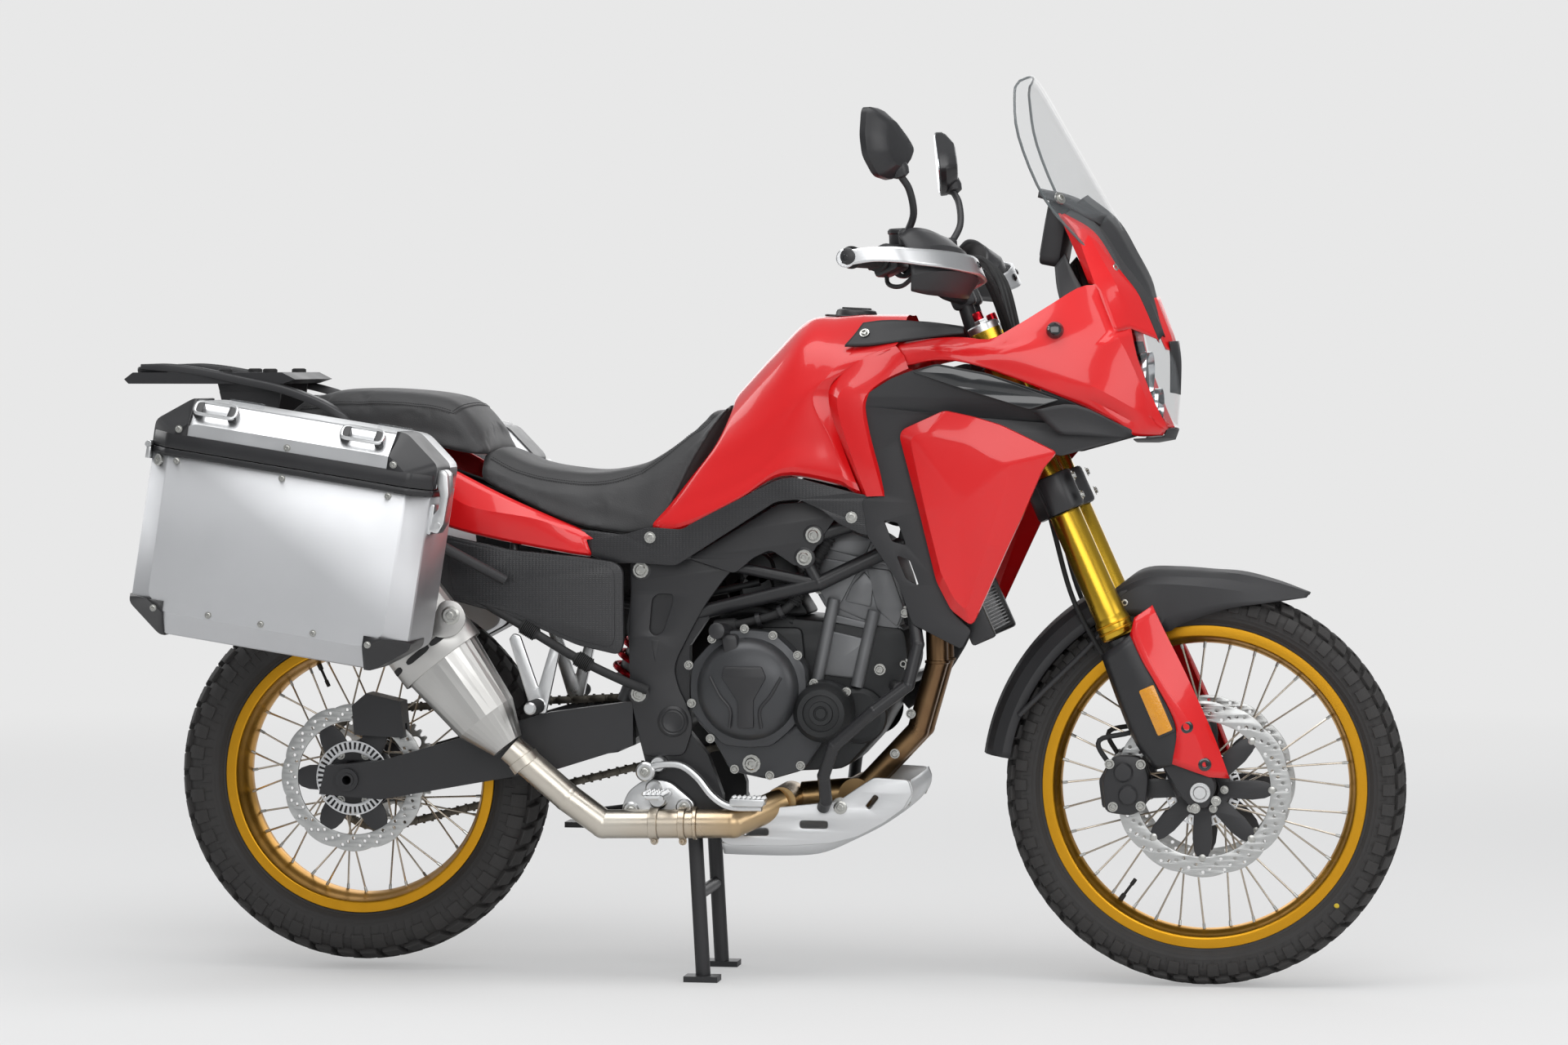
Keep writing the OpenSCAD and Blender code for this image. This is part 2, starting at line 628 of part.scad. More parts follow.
module rear_sprocket() centred() color("#7b7d80") at_rear() translate([0, chain_y, 0]) rotate([90, 0, 0])
    difference() {
        union() {
            translate([0, 0, -4]) cylinder(h = 8, d = sprocket_d);
            translate([0, 0, 0]) cylinder(h = 9.6, r = 64);
        }
        translate([0, 0, -10]) cylinder(h = 30, r = 32);
        for (i = [0:9]) rotate(36 * i) translate([82, 0, -10]) cylinder(h = 30, r = 10);
    }

module front_tyre() centred() color("#1a1a1b") at_front()
    tyre_ring(front_tyre_d, front_tyre_w, front_rim_d, front_tyre_w * rim_share);

module front_wheel() centred() color("#c8932e") at_front() {
    rim_ring(front_rim_d, front_tyre_w * rim_share);
    hub(27, 44, 34, 62);
}

module front_spokes() centred() color("#b9b5ac") at_front()
    spokes(36, 38, 34, front_rim_d / 2 - 29, 6, 40);

module front_discs() centred() color("#b8babc") at_front() both() translate([0, front_disc_y, 0])
    rotate([90, 0, 0]) difference() {
        union() {
            translate([0, 0, -disc_t / 2]) cylinder(h = disc_t, d = front_disc_d);
            translate([0, 0, 0]) cylinder(h = 7.6, r = 48);
        }
        translate([0, 0, -10]) cylinder(h = 30, r = 28);
        for (i = [0:7]) rotate(45 * i) translate([84, 0, -10]) cylinder(h = 30, r = 19);
    }

// ---- fork and steering ----

module fork_tubes() centred() color("#c8932e") steered() both()
    translate([fork_offset, fork_y, tube_low_s]) difference() {
        cylinder(h = tube_top_s - tube_low_s, d = fork_tube_d);
        translate([0, 0, -1]) cylinder(h = 60, d = fork_leg_d);
    }

module fork_legs() centred() color("#3a3a3c") {
    difference() {
        union() {
            steered() both() {
                translate([fork_offset, fork_y, -axle_s + 30]) cylinder(h = axle_s - 30 + tube_low_s + 50, d = fork_leg_d);
                translate([fork_offset - 22, fork_y - 21, -axle_s - 30]) cube([62, 44, 96]);
            }
            at_front() rotate([90, 0, 0]) {
                translate([0, 0, -fork_y - 28]) cylinder(h = 2 * fork_y + 56, d = axle_d);
                both_ends() translate([0, 0, 64]) cylinder(h = fork_y - 82, d = axle_d + 10);
            }
        }
        at_front() rotate([90, 0, 0]) translate([0, 0, -200]) cylinder(h = 400, d = axle_bore);
    }
}

module both_ends() {
    children();
    mirror([0, 0, 1]) children();
}

module clamp_slab(up, h, stem_r) {
    translate([0, 0, up - h / 2]) {
        translate([fork_offset - 20, -fork_y, 0]) cube([40, 2 * fork_y, h]);
        cylinder(h = h, r = stem_r + 14);
        for (s = [-1, 1]) translate([fork_offset, s * fork_y, 0]) cylinder(h = h, d = fork_tube_d + 18);
    }
}

module triple_clamps() centred() color("#1d1d1f") steered() {
    difference() {
        union() {
            clamp_slab(0, clamp_low_h, stem_d / 2);
            clamp_slab(clamp_top_s, clamp_top_h, stem_d / 2);
        }
        both() translate([fork_offset, fork_y, -200]) cylinder(h = 600, d = fork_tube_d);
    }
    translate([0, 0, -20]) cylinder(h = clamp_top_s + 50, d = stem_d);
    // Risers, each ending in a ring round the bar
    both() difference() {
        union() {
            rod([0, 44, clamp_top_s], [7, 44, 366], 13);
            translate([7, 58, 378]) rotate([90, 0, 0]) cylinder(h = 28, r = bar_d / 2 + 9);
        }
        translate([7, 80, 378]) rotate([90, 0, 0]) cylinder(h = 80, d = bar_d + 2 * running_gap);
    }
}

module handlebar() centred() color("#1a1a1b") steered() {
    tube([[-94, -452, 492], [-52, -235, 472], [-8, -120, 392], [7, -70, 378], [7, 70, 378], [-8, 120, 392],
        [-52, 235, 472], [-94, 452, 492]], bar_d / 2);
    both() {
        rod([-72, 330, 480], [-93, 446, 491], 17);
        tube([[-40, 235, 470], [-8, 250, 468], [-12, 330, 470], [-44, 440, 474]], 6);
        rod([-58, 262, 474], [-30, 262, 500], 16);
        // Hoop in front of the hand
        tube([[-94, 455, 492], [10, 445, 470], [60, 380, 430], [66, 300, 404], [24, 214, 430], [-40, 206, 452]], 6);
    }
}

module handguards() centred() color("#2a2a2c") steered() both() {
    sheet([[[30, 446, 440], [82, 390, 396], [88, 296, 366], [54, 224, 400]],
        [[22, 444, 530], [76, 386, 500], [84, 290, 470], [50, 224, 460]]], [5, 0, 0]);
}

module mirrors() centred() color("#1a1a1b") steered() both() {
    tube([[-30, 300, 494], [4, 330, 500], [10, 372, 590]], 6);
    translate([10, 376, 634]) rotate([0, rake, 0]) translate([-16, -72, -52]) cube([32, 148, 104]);
}

module front_calipers() centred() color("#1d1d1f") at_front() both() difference() {
    plate([[-168, -48], [-172, 20], [-150, 64], [-98, 60], [-88, 20], [-94, -30]], front_disc_y - 30,
        front_disc_y + 34);
    drum(0, 0, front_disc_d / 2 + 6, front_disc_y - disc_t / 2 - clear_gap, front_disc_y + disc_t / 2 + clear_gap);
}

// Each row is a cut across the guard: distances ahead of the steering axis and from the middle
module fork_guards() centred() color("#c0141b") steered() both() {
    low = -axle_s;
    sheet([[[84, fork_y - 14, low + 4], [102, fork_y, low], [92, fork_y + 27, low + 2], [72, fork_y + 31, low + 10]],
        [[68, fork_y - 24, low + 170], [101, fork_y - 2, low + 170], [86, fork_y + 32, low + 160], [44, fork_y + 35, low + 130]],
        [[62, fork_y - 28, low + 322], [99, fork_y - 4, low + 322], [82, fork_y + 32, low + 300], [6, fork_y + 36, low + 260]]], [-5, -2, 0]);
}

// The fender is an arched section swung round the front axle
module front_fender() centred() color("#202022") {
    at_front() rotate([90, 0, 0]) rotate([0, 0, 62]) rotate_extrude(angle = 109, $fn = 120)
        polygon([[336, -62], [352, -62], [378, -40], [386, -14], [386, 14], [378, 40], [352, 62], [336, 62],
            [336, 59], [350, 59], [375, 38], [383, 13], [383, -13], [375, -38], [350, -59], [336, -59]]);
    steered() both() translate([fork_offset - 16, 60, -238]) cube([32, fork_y - 60 - fork_tube_d / 2 - 0.3, 50]);
}

module skid_plate() centred() color("#b4b7ba") {
    difference() {
        plate([[672, 228], [672, 240], [830, 242], [968, 322], [970, 366], [984, 369], [995, 316], [833, 230]],
            -130, 130);
        for (x = [730, 790]) translate([x, -50, 200]) cube([16, 100, 60]);
    }
    both() plate([[672, 234], [676, 246], [796, 258], [880, 340], [980, 367], [980, 320], [830, 236]], 124, 130);
}

module crash_bars() centred() color("#1b1b1d") both() {
    tube([[1000, 150, 690], [1020, 196, 600], [1004, 206, 530], [946, 214, 486], [876, 212, 424],
        [857, 198, 372], [856, 164, 326], [848, 143, 312]], 11);
    rod([990, 210, 525], [968, 110, 522], 10);
}

module foot_controls() centred() color("#9a9da0") {
    inner = plate_y + plate_t;
    both() {
        // Rider's peg on its bracket
        plate([[530, 400], [575, 410], [594, 360], [592, 316], [536, 316]], inner, inner + 10);
        translate([542, inner + 5, 323]) cube([44, 102, 17]);
        drum(560, 384, 14, inner + 4, inner + 22);
        // Passenger's peg on its forked hanger
        plate([[298, 600], [312, 612], [348, 520], [370, 590], [384, 582], [362, 466], [336, 466]], 152, 162);
        drum(349, 484, 11, 157, 236);
    }
    // Brake pedal
    plate([[546, 370], [556, 398], [640, 394], [700, 364], [772, 358], [772, 340], [696, 344], [636, 374],
        [574, 372]], -inner - 30, -inner - 16);
    translate([744, -inner - 70, 336]) cube([34, 60, 26]);
    // Gear pedal
    plate([[546, 370], [556, 398], [604, 390], [730, 380], [730, 364], [600, 372]], inner + 16, inner + 28);
    drum(719, 372, 7, inner + 20, inner + 74);
}

// ---- stands ----

module centre_stand() centred() color("#1b1b1d") {
    foot = [stand_x + stand_reach, stand_y, 10];
    both() {
        rod([stand_x, stand_y, stand_z], foot, 13);
        translate([foot[0] - 30, stand_y - 12, 0]) cube([60, 42, 10]);
        drum(stand_x, stand_z, 20, stand_y - 12, plate_y - clear_gap);
    }
    rod([stand_x + 6, -stand_y, 150], [stand_x + 6, stand_y, 150], 11);
    drum(stand_x, stand_z, stand_pin_d / 2, -plate_y - plate_t, plate_y + plate_t);
}

module side_stand() centred() color("#1b1b1d") difference() {
    union() {
        rod([side_stand_x - 16, side_stand_y + 1, side_stand_z - 2], [372, side_stand_y + 8, 262], 11);
        translate([332, side_stand_y - 16, 240]) cube([48, 50, 10]);
        rod([378, side_stand_y + 8, 262], [358, side_stand_y + 8, 246], 10);
        drum(side_stand_x, side_stand_z, 18, side_stand_y - 9, side_stand_y + 10);
    }
    drum(side_stand_x, side_stand_z, side_bolt_d / 2 + running_gap, 100, 200);
}

frame();
subframe();
engine_case();
engine_covers();
radiator();
exhaust_pipes();
muffler();
fuel_tank();
side_trims();
side_shrouds();
headlight_cowl();
headlight();
windscreen();
dash();
rider_seat();
pillion_seat();
tail_panels();
luggage_rack();
pannier_rails();
right_pannier();
left_pannier();
right_pannier_lid();
left_pannier_lid();
rear_mudguard();
tail_light();
swingarm();
shock_absorber();
chain();
rear_caliper();
rear_tyre();
rear_wheel();
rear_spokes();
rear_disc();
rear_sprocket();
front_tyre();
front_wheel();
front_spokes();
front_discs();
fork_tubes();
fork_legs();
triple_clamps();
handlebar();
handguards();
mirrors();
front_calipers();
fork_guards();
front_fender();
skid_plate();
crash_bars();
foot_controls();
centre_stand();
side_stand();
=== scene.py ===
# %% [markdown]
# # An adventure motorcycle over its CAD frame
# The CAD model already fixes the size and place of every part and which body each part moves
# with. This lesson clothes that frame. Each piece of bodywork, each wheel and each casting is
# drawn as a surface worked out with numpy, takes a material named for what the real part is
# made of, and rides on a CAD body so that it steers, spins or opens with it.

# %% Load the frame and keep its box
import math

import bmesh
import bpy
import numpy as np
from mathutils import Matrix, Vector
from mathutils.bvhtree import BVHTree
from mathutils.geometry import tessellate_polygon


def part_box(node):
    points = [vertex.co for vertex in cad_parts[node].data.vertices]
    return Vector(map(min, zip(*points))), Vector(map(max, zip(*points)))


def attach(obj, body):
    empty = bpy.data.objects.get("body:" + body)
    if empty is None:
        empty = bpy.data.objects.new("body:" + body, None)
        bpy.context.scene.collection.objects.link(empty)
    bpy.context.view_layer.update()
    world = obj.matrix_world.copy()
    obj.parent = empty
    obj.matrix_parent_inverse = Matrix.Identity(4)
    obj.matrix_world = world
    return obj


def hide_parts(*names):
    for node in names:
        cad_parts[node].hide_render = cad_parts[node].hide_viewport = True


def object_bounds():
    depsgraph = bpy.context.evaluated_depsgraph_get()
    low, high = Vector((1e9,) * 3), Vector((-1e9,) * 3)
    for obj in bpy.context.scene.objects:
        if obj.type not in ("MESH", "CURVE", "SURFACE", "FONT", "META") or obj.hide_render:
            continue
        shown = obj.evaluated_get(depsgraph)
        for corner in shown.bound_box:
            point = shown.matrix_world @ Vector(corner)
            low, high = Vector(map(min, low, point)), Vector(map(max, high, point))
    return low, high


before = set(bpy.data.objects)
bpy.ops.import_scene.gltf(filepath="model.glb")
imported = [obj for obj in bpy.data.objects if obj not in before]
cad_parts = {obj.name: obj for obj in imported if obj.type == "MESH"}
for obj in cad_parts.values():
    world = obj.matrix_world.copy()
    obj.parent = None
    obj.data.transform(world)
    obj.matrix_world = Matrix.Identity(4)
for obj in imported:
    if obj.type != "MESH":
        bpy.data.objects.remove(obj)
CAD_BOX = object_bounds()
print("CAD nodes:", len(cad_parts))

# %% [markdown]
# ## One ruler for the whole motorcycle
# A motorcycle is measured from its rear axle forwards, from its middle plane sideways and from
# the ground up. The shapes below are written in those station millimetres, and one function
# turns them into metres of the shared frame. The axle's place is read from the CAD rear tyre.

# %% Stations
tyre_low, tyre_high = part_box("rear_tyre")
REAR_X = (tyre_low.x + tyre_high.x) / 2
front_low, front_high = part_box("front_tyre")
FRONT_X = ((front_low.x + front_high.x) / 2 - REAR_X) * 1000
FRONT_Z = (front_low.z + front_high.z) * 500
REAR_Z = (tyre_low.z + tyre_high.z) * 500


def stations(points):
    """Millimetres from the rear axle, the middle plane and the floor, turned to metres of the frame."""
    return np.asarray(points, float) / 1000 + [REAR_X, 0, 0]


print("wheelbase %.0f mm, axles %.0f and %.0f mm up" % (FRONT_X, REAR_Z, FRONT_Z))

# %% [markdown]
# ## Surfaces as arrays
# A part here is three arrays: points, four-sided faces and three-sided faces. Almost every shape
# is a grid of points P[u, v] whose neighbours are joined. Working on whole arrays keeps the
# formulas short, and the same few helpers serve tyres, tank, tubes and bolts.

# %% Grids, fans and joins
NO_TRIS = np.zeros((0, 3), int)
NO_QUADS = np.zeros((0, 4), int)


def grid(P, wrap_u=False, wrap_v=False):
    """Joins points P[u, v] to their neighbours with quads; a wrapped direction closes on itself."""
    P = np.asarray(P, float)
    a = np.arange(P.shape[0] * P.shape[1]).reshape(P.shape[:2])
    b, d = np.roll(a, -1, 0), np.roll(a, -1, 1)
    q = np.stack([a, b, np.roll(b, -1, 1), d], -1)
    q = q if wrap_u else q[:-1]
    q = q if wrap_v else q[:, :-1]
    return P.reshape(-1, 3), q.reshape(-1, 4), NO_TRIS


def fan(ring):
    """Closes a ring of points with triangles that meet in its middle."""
    ring = np.asarray(ring, float)
    i = np.arange(len(ring))
    return np.vstack([ring, ring.mean(0)]), NO_QUADS, np.stack([i, (i + 1) % len(i), i * 0 + len(i)], -1)


def join(*parts):
    """Lays parts side by side in one set of arrays, moving each part's indices past the last."""
    shift = np.cumsum([0] + [len(p[0]) for p in parts[:-1]])
    return tuple(np.vstack([p[k] + (s if k else 0) for p, s in zip(parts, shift)]) for k in range(3))


def drum(P):
    """A stack of rings P[u, v], each ring closed, with a fan over both ends."""
    return join(grid(P, wrap_v=True), fan(P[0]), fan(P[-1]))


# %% [markdown]
# A wheel repeats its spokes and lugs, and a cover its bolts. Each is drawn once, and 4x4 matrices
# carry it to all its places in one product of arrays. A loop that adds objects would do the same
# but is slower. Only one side of the bodywork is drawn, and the other is its mirror image.

# %% Placing and repeating
AHEAD, RIGHT, LEFT, UP = (1, 0, 0), (0, -1, 0), (0, 1, 0), (0, 0, 1)


def stand(at, axis=RIGHT, up=UP):
    """Matrices that carry a part's own z to axis and its own y towards up, with its origin at at."""
    at, axis, up = np.broadcast_arrays(*(np.atleast_2d(np.asarray(v, float)) for v in (at, axis, up)))
    z = axis / np.linalg.norm(axis, axis=1, keepdims=True)
    x = np.cross(up, z)
    x = np.where(np.linalg.norm(x, axis=1, keepdims=True) < 1e-4, np.cross([1.0, 0, 0], z), x)
    x /= np.linalg.norm(x, axis=1, keepdims=True)
    M = np.zeros((len(at), 4, 4))
    M[:, :3, 0], M[:, :3, 1], M[:, :3, 2], M[:, :3, 3], M[:, 3, 3] = x, np.cross(z, x), z, at, 1
    return M


def spin(degrees, x=0.0, z=0.0):
    """Matrices of turns about a sideways axis through (x, z), one for each angle."""
    t = np.radians(np.atleast_1d(np.asarray(degrees, float)))
    M = np.tile(np.eye(4), (len(t), 1, 1))
    M[:, 0, 0], M[:, 0, 2], M[:, 2, 0], M[:, 2, 2] = np.cos(t), -np.sin(t), np.sin(t), np.cos(t)
    centre = np.array([x, 0, z])
    M[:, :3, 3] = centre - M[:, :3, :3] @ centre
    return M


def copies(part, M):
    """The part once for each 4x4 matrix in M."""
    V = np.einsum("nij,kj->nki", M[:, :3, :3], part[0]) + M[:, None, :3, 3]
    step = np.arange(len(M))[:, None, None] * len(part[0])
    return V.reshape(-1, 3), (part[1][None] + step).reshape(-1, 4), (part[2][None] + step).reshape(-1, 3)


def moved(part, by):
    """The part carried along by a vector."""
    return part[0] + by, part[1], part[2]


def mirrored(part):
    """The part on the other side of the middle plane."""
    return part[0] * [1, -1, 1], part[1], part[2]


def both(part):
    """The part and its mirror image on the other side of the middle plane."""
    return join(part, mirrored(part))


# %% [markdown]
# ## Curves
# Two curves do the drawing. A Catmull-Rom curve passes through a few chosen points, so a smooth
# panel needs only a handful of them, and a point given twice leaves a crease. A softened outline
# keeps straight runs and rounds its corners, as a pressed or machined edge does.

# %% Smooth and softened curves
def smooth(p, per=8, wrap=False):
    """Catmull-Rom: between b and c, half of 2b + (c-a)t + (2a-5b+4c-d)tt + (3b-a-3c+d)ttt."""
    p = np.asarray(p, float)
    q = np.concatenate([p[-1:], p, p[:2]]) if wrap else np.concatenate([
        2 * p[:1] - p[1:2], p, 2 * p[-1:] - p[-2:-1]
    ])
    a, b, c, d = (k[:, None] for k in (q[:-3], q[1:-2], q[2:-1], q[3:]))
    t = (np.arange(per) / per).reshape([1, per] + [1] * (p.ndim - 1))
    f = 0.5 * (2 * b + (c - a) * t + (2 * a - 5 * b + 4 * c - d) * t**2 + (3 * b - a - 3 * c + d) * t**3)
    f = f.reshape((-1,) + p.shape[1:])
    return f if wrap else np.concatenate([f, p[-1:]])


def net(rows, per_u=6, per_v=6, wrap_v=False):
    """A smooth surface through a small table of points: curves one way, then curves the other way."""
    P = smooth(np.asarray(rows, float), per_u)
    return smooth(P.swapaxes(0, 1), per_v, wrap_v).swapaxes(0, 1)


def soft(points, radius, steps=5, wrap=True):
    """Rounds each corner of an outline: a quadratic blend of the points radius before, at and after it."""
    p = np.asarray(points, float)
    before, after = np.roll(p, 1, 0) - p, np.roll(p, -1, 0) - p
    lb = np.linalg.norm(before, axis=1, keepdims=True) + 1e-9
    la = np.linalg.norm(after, axis=1, keepdims=True) + 1e-9
    r = np.broadcast_to(np.asarray(radius, float).reshape(-1, 1), (len(p), 1))
    a, b = p + before / lb * np.minimum(r, lb / 2.05), p + after / la * np.minimum(r, la / 2.05)
    t = np.linspace(0, 1, steps)[None, :, None]
    q = (1 - t) ** 2 * a[:, None] + 2 * t * (1 - t) * p[:, None] + t**2 * b[:, None]
    if wrap:
        return q.reshape(-1, p.shape[1])
    return np.vstack([p[:1], q[1:-1].reshape(-1, p.shape[1]), p[-1:]])


def rounded(half_w, half_h, radius, steps=5):
    """A rectangle round the origin, of the given half sizes, with its corners rounded."""
    return soft([(-half_w, -half_h), (half_w, -half_h), (half_w, half_h), (-half_w, half_h)], radius, steps)


def circle(radius, sides=16, centre=(0, 0)):
    """Points round a circle."""
    t = np.linspace(0, 2 * np.pi, sides, endpoint=False)
    return np.stack([centre[0] + radius * np.cos(t), centre[1] + radius * np.sin(t)], -1)


# %% [markdown]
# ## Turned, drawn and cut parts
# Wheels, discs and bolts are turned parts: a profile swung about an axis. Tubes, hoses and belts
# are a section carried along a path. Brackets and plates are cut from sheet, so they are an
# outline with holes, given a thickness and a small rounded edge that catches the light.

# %% Lathe, sweep and plate
def lathe(profile, sides=96, at=(0, 0, 0), axis=RIGHT, up=UP):
    """A profile of (radius, distance along the axis) swung round the axis through at."""
    p = np.asarray(profile, float)
    t = np.linspace(0, 2 * np.pi, sides, endpoint=False)
    P = np.stack([p[:, :1] * np.cos(t), p[:, :1] * np.sin(t), np.broadcast_to(p[:, 1:], (len(p), sides))], -1)
    return copies(grid(P, wrap_v=True), stand(at, axis, up))


def turned(profile, sides=96):
    """The same with its axis upwards at the origin, ready to be copied somewhere else."""
    return lathe(profile, sides, axis=UP, up=LEFT)


def along(path, section, up=None, wrap=False, scale=1.0, caps=True):
    """Carries a section (across, up) along a path, square to the path's direction at each point."""
    path = np.asarray(path, float)
    t = np.roll(path, -1, 0) - np.roll(path, 1, 0) if wrap else np.gradient(path, axis=0)
    t /= np.linalg.norm(t, axis=1, keepdims=True) + 1e-12
    if up is None:
        up = np.linalg.eigh(t.T @ t)[1][:, 0]
    side = np.cross(t, up)
    side /= np.linalg.norm(side, axis=1, keepdims=True) + 1e-12
    top = np.cross(side, t)
    s = np.asarray(section, float)[None] * np.broadcast_to(
        np.asarray(scale, float).reshape(-1, 1, 1), (len(path), 1, 1)
    )
    P = path[:, None] + side[:, None] * s[..., :1] + top[:, None] * s[..., 1:]
    if wrap or not caps:
        return grid(P, wrap_u=wrap, wrap_v=True)
    return drum(P)


def pipe(points, radius, sides=14, per=7, **more):
    """A round tube along a smooth curve through the points."""
    return along(smooth(points, per), circle(radius, sides), **more)


def inset(loop, distance):
    """Moves an outline towards its left-hand side, square to its edges."""
    e = np.roll(loop, -1, 0) - loop
    e /= np.linalg.norm(e, axis=1, keepdims=True) + 1e-9
    n = np.stack([-e[:, 1], e[:, 0]], -1)
    m = n + np.roll(n, 1, 0)
    m /= np.maximum((m * m).sum(1, keepdims=True) / 2, 0.35)
    return loop + m * distance


def slab(loops, low, high, edge=1.2):
    """A sheet between heights low and high: first loop is its outline, the others are holes."""
    turned = []
    for k, loop in enumerate(loops):
        loop = np.asarray(loop, float)
        nxt = np.roll(loop, -1, 0)
        area = (loop[:, 0] * nxt[:, 1] - nxt[:, 0] * loop[:, 1]).sum()
        turned.append(loop if (area > 0) == (k == 0) else loop[::-1])
    parts, flats = [], []
    for loop in turned:
        rows = [
            (edge, low), (0.3 * edge, low + 0.3 * edge), (0, low + edge), (0, high - edge),
            (0.3 * edge, high - 0.3 * edge), (edge, high)
        ]
        P = np.stack([np.column_stack([inset(loop, d), np.full(len(loop), h)]) for d, h in rows])
        parts.append(grid(P, wrap_v=True))
        flats.append(P[0])
    V = np.vstack(flats)
    T = np.array(tessellate_polygon([f.tolist() for f in flats]))
    top = V * [1, 1, 0] + [0, 0, high]
    return join(*parts, (V, NO_QUADS, T), (top, NO_QUADS, T[:, ::-1]))


def plate(loops, y0, y1, edge=1.2):
    """A sheet cut in the motorcycle's side view, from y0 to y1 across."""
    V, Q, T = slab(loops, y0, y1, edge)
    return V[:, [0, 2, 1]], Q, T


def disc_plate(loops, low, high, at, axis=RIGHT, up=UP, edge=1.0):
    """A sheet cut square to any axis."""
    return copies(slab(loops, low, high, edge), stand(at, axis, up))


# %% [markdown]
# ## Bolts
# Almost all fasteners on a motorcycle are socket-head or flanged hex bolts. One small turned head
# with a sunk socket, under a hundred faces, is enough when it is repeated along every joint.

# %% Bolt heads
HEAD = np.array([[0, -0.9], [0.48, -0.9], [0.55, 0], [0.82, 0], [1, -0.22], [1, -1.0]])


def bolts(at, axis, radius=5.0, height=5.0, sides=12):
    """Round heads with a sunk socket; each stands on its point and looks along axis."""
    head = lathe(np.column_stack([HEAD[:, 0] * radius, (HEAD[:, 1] + 1) * height]), sides, axis=UP, up=LEFT)
    washer = turned([[0, 0], [radius * 1.45, 0], [radius * 1.45, height * 0.16], [0, height * 0.16]], sides)
    return copies(join(head, washer), stand(at, axis))


def bolt_circle(radius, count, at):
    """Evenly spaced points round a circle that stands in the side view."""
    return np.array(at) + circle(radius, count)[:, [0, 0, 1]] * [1, 0, 1]


# %% [markdown]
# ## Putting a piece into the scene
# A piece is welded where its patches meet, its faces are turned outwards, and edges sharper than
# a given angle stay crisp while the rest shades smoothly. Its object stays at the origin, so the
# patterns of its material stay where they belong, and it rides on a CAD body by name.

# %% Pieces
MADE = {}


def piece(name, part, finish, body, stands_for=(), sharp=32, wall=0.0, weld=0.02):
    """Makes one object from arrays in station millimetres, gives it a finish and hangs it on a body."""
    V, Q, T = part
    mesh = bpy.data.meshes.new(name)
    mesh.from_pydata(stations(V).tolist(), [], Q.tolist() + T.tolist())
    bm = bmesh.new()
    bm.from_mesh(mesh)
    bmesh.ops.remove_doubles(bm, verts=bm.verts, dist=weld / 1000)
    bmesh.ops.dissolve_degenerate(bm, edges=bm.edges, dist=1e-6)
    bmesh.ops.recalc_face_normals(bm, faces=bm.faces)
    bm.to_mesh(mesh)
    bm.free()
    mesh.polygons.foreach_set("use_smooth", np.ones(len(mesh.polygons), bool))
    mesh.set_sharp_from_angle(angle=math.radians(sharp))
    mesh.materials.append(finish)
    made = bpy.data.objects.new(name, mesh)
    bpy.context.scene.collection.objects.link(made)
    if wall:
        thick = made.modifiers.new("wall", "SOLIDIFY")
        thick.thickness, thick.offset, thick.use_even_offset = wall / 1000, 0, False
    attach(made, body)
    if stands_for:
        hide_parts(*stands_for)
    MADE[name] = made
    print("%-24s %7d faces on %s" % (name, len(mesh.polygons), body))
    return made


# %% [markdown]
# ## Camera, floor and light
# A side view from just ahead of the front wheel, at hip height and from about eight metres, keeps
# the wheels round and shows a little of the front. The camera is placed by its angle and distance
# from the middle of the CAD box. The room is a pale floor that runs out of sight, with big soft
# lamps, so that paint and metal show broad, quiet reflections.

# %% Camera
YAW, PITCH, DISTANCE = math.radians(9.2), math.radians(2.083), 7.9117
FOCAL_LENGTH, FILM_WIDTH = 103.125, 36
low, high = (np.array(c) for c in CAD_BOX)
aim = (low + high) / 2 + [0.038, 0, 0.011]
looking = np.array([-math.sin(YAW) * math.cos(PITCH), math.cos(YAW) * math.cos(PITCH), -math.sin(PITCH)])
camera = bpy.data.objects.new("camera", bpy.data.cameras.new("camera"))
camera.data.lens, camera.data.sensor_width = FOCAL_LENGTH, FILM_WIDTH
camera.location = aim - looking * DISTANCE
camera.rotation_euler = (math.pi / 2 - PITCH, 0, YAW)
camera.data.clip_end = 200
bpy.context.scene.collection.objects.link(camera)
bpy.context.scene.camera = camera
bpy.context.scene.view_settings.view_transform = "Standard"
print("camera at", tuple(round(c, 3) for c in camera.location))


# %% [markdown]
# Colours are written as the sRGB hex values that an eye compares, and the shaders need linear light,
# so one function turns the one into the other. A second small function adds any node with its
# settings and its links, which keeps a material as short as its description.

# %% Colours and nodes
def ink(code, alpha=1.0):
    """An sRGB hex colour in linear light: c / 12.92 below 0.04045, else ((c + 0.055) / 1.055) ^ 2.4."""
    c = np.array([int(code[i : i + 2], 16) for i in (1, 3, 5)]) / 255
    c = np.where(c <= 0.04045, c / 12.92, ((c + 0.055) / 1.055) ** 2.4)
    return (*c.tolist(), alpha)


def add(tree, kind, inputs=None, **settings):
    """Adds one node, sets its options, and fills its inputs with values or with other nodes' outputs."""
    made = tree.nodes.new(kind)
    for name, value in settings.items():
        setattr(made, name, value)
    for name, value in (inputs or {}).items():
        if isinstance(value, bpy.types.NodeSocket):
            tree.links.new(value, made.inputs[name])
        else:
            made.inputs[name].default_value = value
    return made


# %% [markdown]
# The floor and sky are plain pale paper. What the camera sees of them is a set colour, and what
# lights the motorcycle is a weaker sky with five large lamps, so that the background stays pale
# while the paint keeps its depth.

# %% Floor, sky and lamps
BACKDROP = "#e8e8e8"


